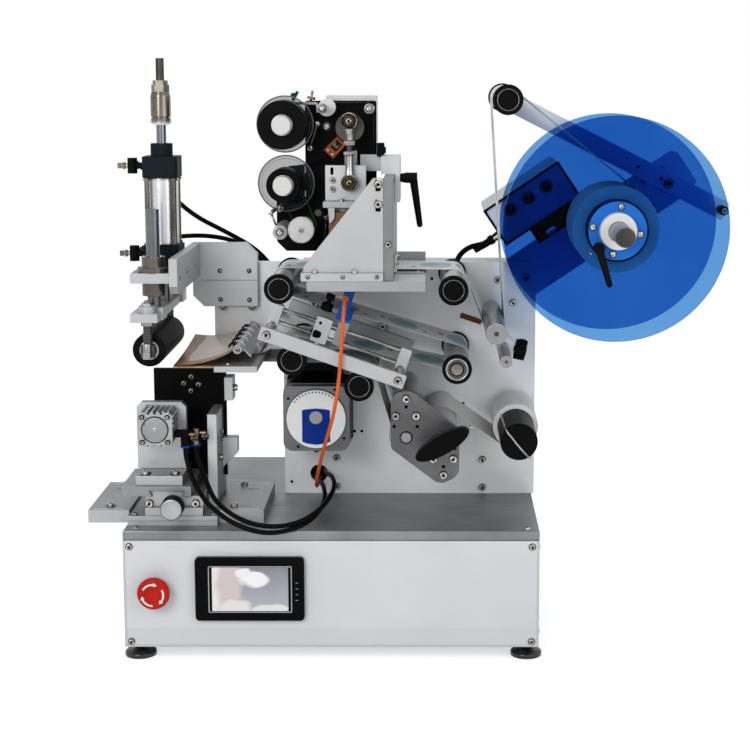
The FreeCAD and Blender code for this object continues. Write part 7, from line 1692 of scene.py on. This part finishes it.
def rod_link():
    """The crank's link: two rod ends locked with nuts on a threaded stud."""
    for name, z in (("upper", 662), ("lower", 586)):
        hoop("rod_eye_" + name, "chrome", "connecting_rod", 275, z, 8.3, 10.5, 86.6, 97.4)
        hoop("rod_liner_" + name, "bronze", "connecting_rod", 275, z, 4.6, 8.3, 87.0, 96.8)
        hoop("rod_ball_" + name, "steel", "connecting_rod", 275, z, 3.2, 4.6, 86.4, 97.8)
    bm = bmesh.new()
    lathe(bm, [(0, 652.2), (6.2, 652.2), (5.2, 648.5), (4.7, 644), (4.7, 638.5), (0, 638.5)], 32, "Z",
        (275, CRANK_Y, 0))
    lathe(bm, [(0, 638.3), (5.9, 638.3), (6.8, 637.5), (6.8, 632.5), (5.9, 631.7), (0, 631.7)], 6, "Z",
        (275, CRANK_Y, 0))
    lathe(bm, [(0, 625.2), (6.0, 625.2), (6.9, 624.4), (6.9, 620.2), (6.0, 619.4), (0, 619.4)], 6, "Z",
        (275, CRANK_Y, 0))
    lathe(bm, [(0, 619.2), (5.0, 619.2), (5.0, 606), (5.4, 600), (6.4, 595.8), (0, 595.8)], 32, "Z",
        (275, CRANK_Y, 0))
    add("rod_shanks_and_nuts", bm, "chrome", "connecting_rod", 0.2)
    stud_line = bmesh.new()
    profile = [(0, 632.2)]
    for k in range(5):
        profile += [(3.4, 631.6 - k * 1.4), (4.1, 630.9 - k * 1.4)]
    lathe(stud_line, profile + [(3.4, 624.6), (0, 624.6)], 24, "Z", (275, CRANK_Y, 0))
    add("rod_stud_thread", stud_line, "dark_steel", "connecting_rod", 0)


rod_link()
for part in [o for o in bpy.data.objects if o.name.startswith("rod_")]:
    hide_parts("connecting_rod")
on("print_slider", "link_pin_screw", "button", facing(FRONT, 4.0, (275, 85.4, 586)))
add("slider_slot", made(slab, rounded(3.8, 9.6, 1.9, 6, (253, 600.0)), 97.7, 98.1), "shadow", "print_slider", 0)
on("print_slider", "slider_screws", "socket", facing(FRONT, 3.4, (253.4, 98, 588.6), (253.7, 98, 577.2)))
on("print_slider", "shelf_screws", "socket", facing(UP, 3.2, (265.6, 87, 563), (288.2, 87, 563)))
add("ribbon_guard", made(slab, [(248.6, 557.5), (257, 557.5), (257, 543), (252.4, 536.4), (250.2, 537.2)], 81.5,
        84.5), "aluminium_z", "print_slider", 0.3)
spot = bmesh.new()
slab(spot, rounded(5.5, 4.5, 0.8, 3, (264.5, 538)), 85.3, 86.3)
add("heater_lead_hole", spot, "shadow", "print_slider", 0)

stud("foil_guide_disc", "white_plastic", "coder_frame", 246.1, 677.8, 11, 118, 124, 0.8, 64)
for name, x, z, y in (("left", 242.4, 677.3, 84), ("right", 299.9, 677, 84)):
    hoop("foil_pin_flange_" + name, "steel", "coder_frame", x, z, 4.6, 6.4, y + 5, y + 6.5)
    on("coder_frame", "foil_pin_screw_" + name, "cross", facing(FRONT, 3.4, (x, y, z)))
on("coder_frame", "coder_plate_screw", "cross", facing(FRONT, 5.0, (244.3, 136, 654.1)))
stud("foil_swivel", "steel", "coder_frame", 225.4, 627.6, 3.4, 108, 136, 0.5)
stud("foil_swivel_upper", "steel", "coder_frame", 234.6, 657.8, 3.0, 110, 136, 0.5)
wire("foil_swivel_link", "bronze", "coder_frame", [(234.6, 109.5, 657.8), (225.4, 109.5, 627.6)], 1.0)
on("coder_frame", "foil_swivel_screw", "button", facing(FRONT, 3.2, (225.4, 108, 627.6)))
# Painted highlight: thin paler steel strips along the top and right rim of the black plate, standing for the
# light caught on its edge.
rim_line = bmesh.new()
block(rim_line, 246, 299, 130, 136.2, 683.2, 683.9)
block(rim_line, 303.4, 304.2, 130, 136.2, 617, 674)
add("coder_edge_strips", rim_line, "dark_steel", "coder_frame", 0)

add("foil_sensor", made(slab, [(258.4, 641.9), (269.4, 631), (253.2, 614), (241.3, 625)], 118, 128),
    "orange_plastic", "coder_frame", 1.0)
add("foil_sensor_label", made(slab, [(258.2, 637.8), (264.8, 631.2), (256.6, 622.9), (249.9, 629.6)], 117.6,
        118.2), "print_black", "coder_frame", 0)
eye = bmesh.new()
for k, (u, v) in enumerate(((0.0, 3.4), (0.0, 1.6), (0.0, -0.4), (0.0, -2.2))):
    block(eye, -3.2 + 0.7 * (k % 2), 3.0 - 1.3 * (k % 3), -0.1, 0.1, v - 0.35, v + 0.35)
add("foil_sensor_label_lines", eye, "print_grey", "coder_frame", 0, Matrix.Rotation(radians(-45), 3, "Y"),
    (257.4, 117.5, 630.4))
on("coder_frame", "foil_sensor_screws", "cross", facing(FRONT, 1.9, (246.9, 118, 624.9), (252.8, 118, 619.3)))
wire("foil_sensor_lead", "cable_black", "coder_frame", smooth_path([
        (246.5, 125, 618), (241, 127, 612), (233, 129, 608.2), (222, 130, 606.4), (210, 131, 604.4),
        (200, 139, 603)]), 1.3)
stud("foil_tension_knob", "belt_green", "coder_frame", 203.5, 692.5, 3.4, 124, 136, 1.0)
wire("foil_brake_stem", "belt_green", "coder_frame", [(202.5, 130, 686), (208.8, 130, 697.5)], 2.0)
wire("foil_brake_post", "brass", "coder_frame", [(224.9, 130, 685), (227.6, 130, 698.5)], 1.5)
add("foil_brake_nut", made(lathe, [(0, -1.8), (4.6, -1.8), (5.2, -1.2), (5.2, 1.2), (4.6, 1.8), (0, 1.8)], 6,
        "Z"), "brass", "coder_frame", 0.2, Matrix.Rotation(radians(12), 3, "Y"), (225.8, 130, 689.5))
add("foil_brake_bracket", made(slab, [(196, 684.5), (232, 684.5), (236, 680.5), (236, 674), (246, 674),
        (246, 671), (232, 671), (231, 681), (196, 681)], 133, 136), "steel", "coder_frame", 0.3)

BELT = [(194.8, 583.7, 12.6), (217, 529.9, 13.4)]
tilt_of_belt = atan2(BELT[1][1] - BELT[0][1], BELT[1][0] - BELT[0][0])
loop = []
for k, (x, z, r) in enumerate(BELT):
    first = tilt_of_belt + (pi / 2 if k == 0 else -pi / 2)
    loop += [(x + r * cos(first + pi * s / 12), 129.0, z + r * sin(first + pi * s / 12)) for s in range(13)]
ring = swept([at(*p) for p in loop + loop[:1]], 1.2 * MM, 10)
belt = new_object("takeup_round_belt", ring, "belt_green")
shaded(belt, 0)
into(belt, BODY_OF["coder_frame"], SLOT_OF["coder_frame"])
for name, x, z, y in (("a", 188.8, 553.4, 98), ("b", 237.4, 547.9, 98), ("c", 244.0, 539.4, 129)):
    stud("arm_pin_" + name, "steel", "coder_frame", x, z, 4.2, y, 136, 0.5)
    on("coder_frame", "arm_pin_screw_" + name, "button", facing(FRONT, 3.2, (x, y, z)))
wire("nip_arm_rod", "steel", "coder_frame", [(178.2, 84, 549), (184.2, 84, 533.4)], 1.4)
stud("nip_arm_pivot", "steel", "coder_frame", 178.2, 549.2, 2.8, 78, 136, 0.4)
wire("pull_spring_rod", "dark_steel", "coder_frame", [(244.0, 130.5, 539.4), (240.4, 130.5, 511)], 1.4)
on("coder_frame", "nip_roller_screw", "cross", facing(FRONT, 4.2, (190.5, 66, 526.4)))
hoop("nip_roller_ring", "steel", "coder_frame", 190.5, 526.4, 5.4, 6.4, 65.4, 66.2)


def front_of(node):
    """The design Y of a node's front in millimetres."""
    return min((Vector(c) - CORNER).y for c in frame["nodes"][node].bound_box) / MM


for node, x, z in (("ribbon_supply", 194.0, 657.4), ("ribbon_takeup", 194.8, 583.7)):
    hoop(node + "_rim", "frosted", node, x, z, 33.8, 35.6, 112.2, 113.6)
    hoop(node + "_rim_line", "frosted", node, x, z, 30.6, 31.0, 112.2, 112.6)
    hoop(node + "_hub_groove", "steel", node, x, z, 11.6, 12.9, 69.4, 70.2)
    hoop(node + "_hub_gap", "shadow", node, x, z, 11.3, 13.6, 69.6, 70.1)
on("ribbon_wheel", "ribbon_wheel_screw", "socket", facing(FRONT, 2.6, (217, front_of("ribbon_wheel"), 529.9)))
hoop("ribbon_wheel_chamfer", "aluminium", "ribbon_wheel", 217, 529.9, 14.4, 15.2,
    front_of("ribbon_wheel") - 0.15, front_of("ribbon_wheel") + 0.3)

pin_front = front_of("crank_disc")
on("crank_disc", "crank_pin_screw", "button", facing(FRONT, 4.0, (275, pin_front, 662)))
plug = bmesh.new()
block(plug, 308, 317.5, 116, 128, 617, 634)
block(plug, 312, 319.5, 118, 126, 621, 629)
add("coder_plug", plug, "black_plastic", "coder_frame", 0.8)

# Open bearing in the third roller's end

hoop("roller_three_bore", "steel", "guide_roller_3", 408, 368.5, 11.9, 13.5, -5.0, -3.6)
stud("roller_three_recess", "dark_steel", "guide_roller_3", 408, 368.5, 12.0, -4.3, -3.6, 0.1, 64)
hoop("roller_three_gap", "shadow", "guide_roller_3", 408, 368.5, 7.0, 8.6, -4.5, -4.2)
stud("roller_three_centre", "nickel", "guide_roller_3", 408, 368.5, 6.8, -4.8, -4.2, 0.3)
add("coder_plate_shoulder", made(slab, [(184, 546), (184, 562), (196, 578), (196, 604), (216, 604), (216, 546)],
        137, 142), "black_anodised", "coder_frame", 0.3)


# Floor, background and light

def stage_floor():
    f = Finish("studio_floor")
    rays = f.nodes.new("ShaderNodeLightPath")
    plain = f.nodes.new("ShaderNodeBsdfDiffuse")
    plain.inputs["Color"].default_value = (0.86, 0.86, 0.86, 1)
    glow = f.node("ShaderNodeEmission", {"Color": (1, 1, 1, 1)})
    reach = f.math("MAXIMUM", rays.outputs["Is Camera Ray"], rays.outputs["Is Glossy Ray"])
    reach = f.math("MAXIMUM", reach, rays.outputs["Is Transmission Ray"])
    f.links.new(f.math("MULTIPLY", reach, 0.53), glow.inputs["Strength"])
    both = f.nodes.new("ShaderNodeAddShader")
    f.links.new(plain.outputs[0], both.inputs[0])
    f.links.new(glow.outputs[0], both.inputs[1])
    f.links.new(both.outputs[0], f.nodes["Material Output"].inputs["Surface"])
    f.nodes.remove(f.shader)
    bm = bmesh.new()
    low = [bm.verts.new((x, y, 0)) for x, y in ((-6, -6), (6, -6), (6, 6), (-6, 6))]
    bm.faces.new(low)
    floor = new_object("studio_floor", bm, f.material)


def set_world():
    world = bpy.data.worlds.new("studio")
    world.use_nodes = True
    nodes, links = world.node_tree.nodes, world.node_tree.links
    rays = nodes.new("ShaderNodeLightPath")
    share = nodes.new("ShaderNodeMath")
    share.operation = "MAXIMUM"
    links.new(rays.outputs["Is Camera Ray"], share.inputs[0])
    links.new(rays.outputs["Is Glossy Ray"], share.inputs[1])
    seen = nodes.new("ShaderNodeMath")
    seen.operation = "MAXIMUM"
    links.new(share.outputs[0], seen.inputs[0])
    links.new(rays.outputs["Is Transmission Ray"], seen.inputs[1])
    level = nodes.new("ShaderNodeMapRange")
    level.inputs["To Min"].default_value = 0.56
    level.inputs["To Max"].default_value = 1.0
    links.new(seen.outputs[0], level.inputs["Value"])
    nodes["Background"].inputs["Color"].default_value = (1, 1, 1, 1)
    links.new(level.outputs["Result"], nodes["Background"].inputs["Strength"])
    bpy.context.scene.world = world


def area_lamp(name, place, target, size, watts):
    data = bpy.data.lights.new(name, "AREA")
    data.shape = "DISK"
    data.size = size
    data.energy = watts
    lamp = bpy.data.objects.new(name, data)
    spot = at(*place)
    lamp.location = spot
    lamp.rotation_euler = (at(*target) - spot).to_track_quat("-Z", "Y").to_euler()
    bpy.context.collection.objects.link(lamp)


stage_floor()
set_world()
area_lamp("key_lamp", (-450, -1550, 1050), (300, 100, 350), 0.9, 15)
area_lamp("fill_lamp", (1500, -1200, 900), (350, 100, 350), 1.2, 7)
area_lamp("top_lamp", (350, 200, 1900), (350, 150, 300), 1.0, 4)

bpy.context.scene.view_settings.view_transform = "Standard"

for one in list(HEADS.values()):
    bpy.data.objects.remove(one)
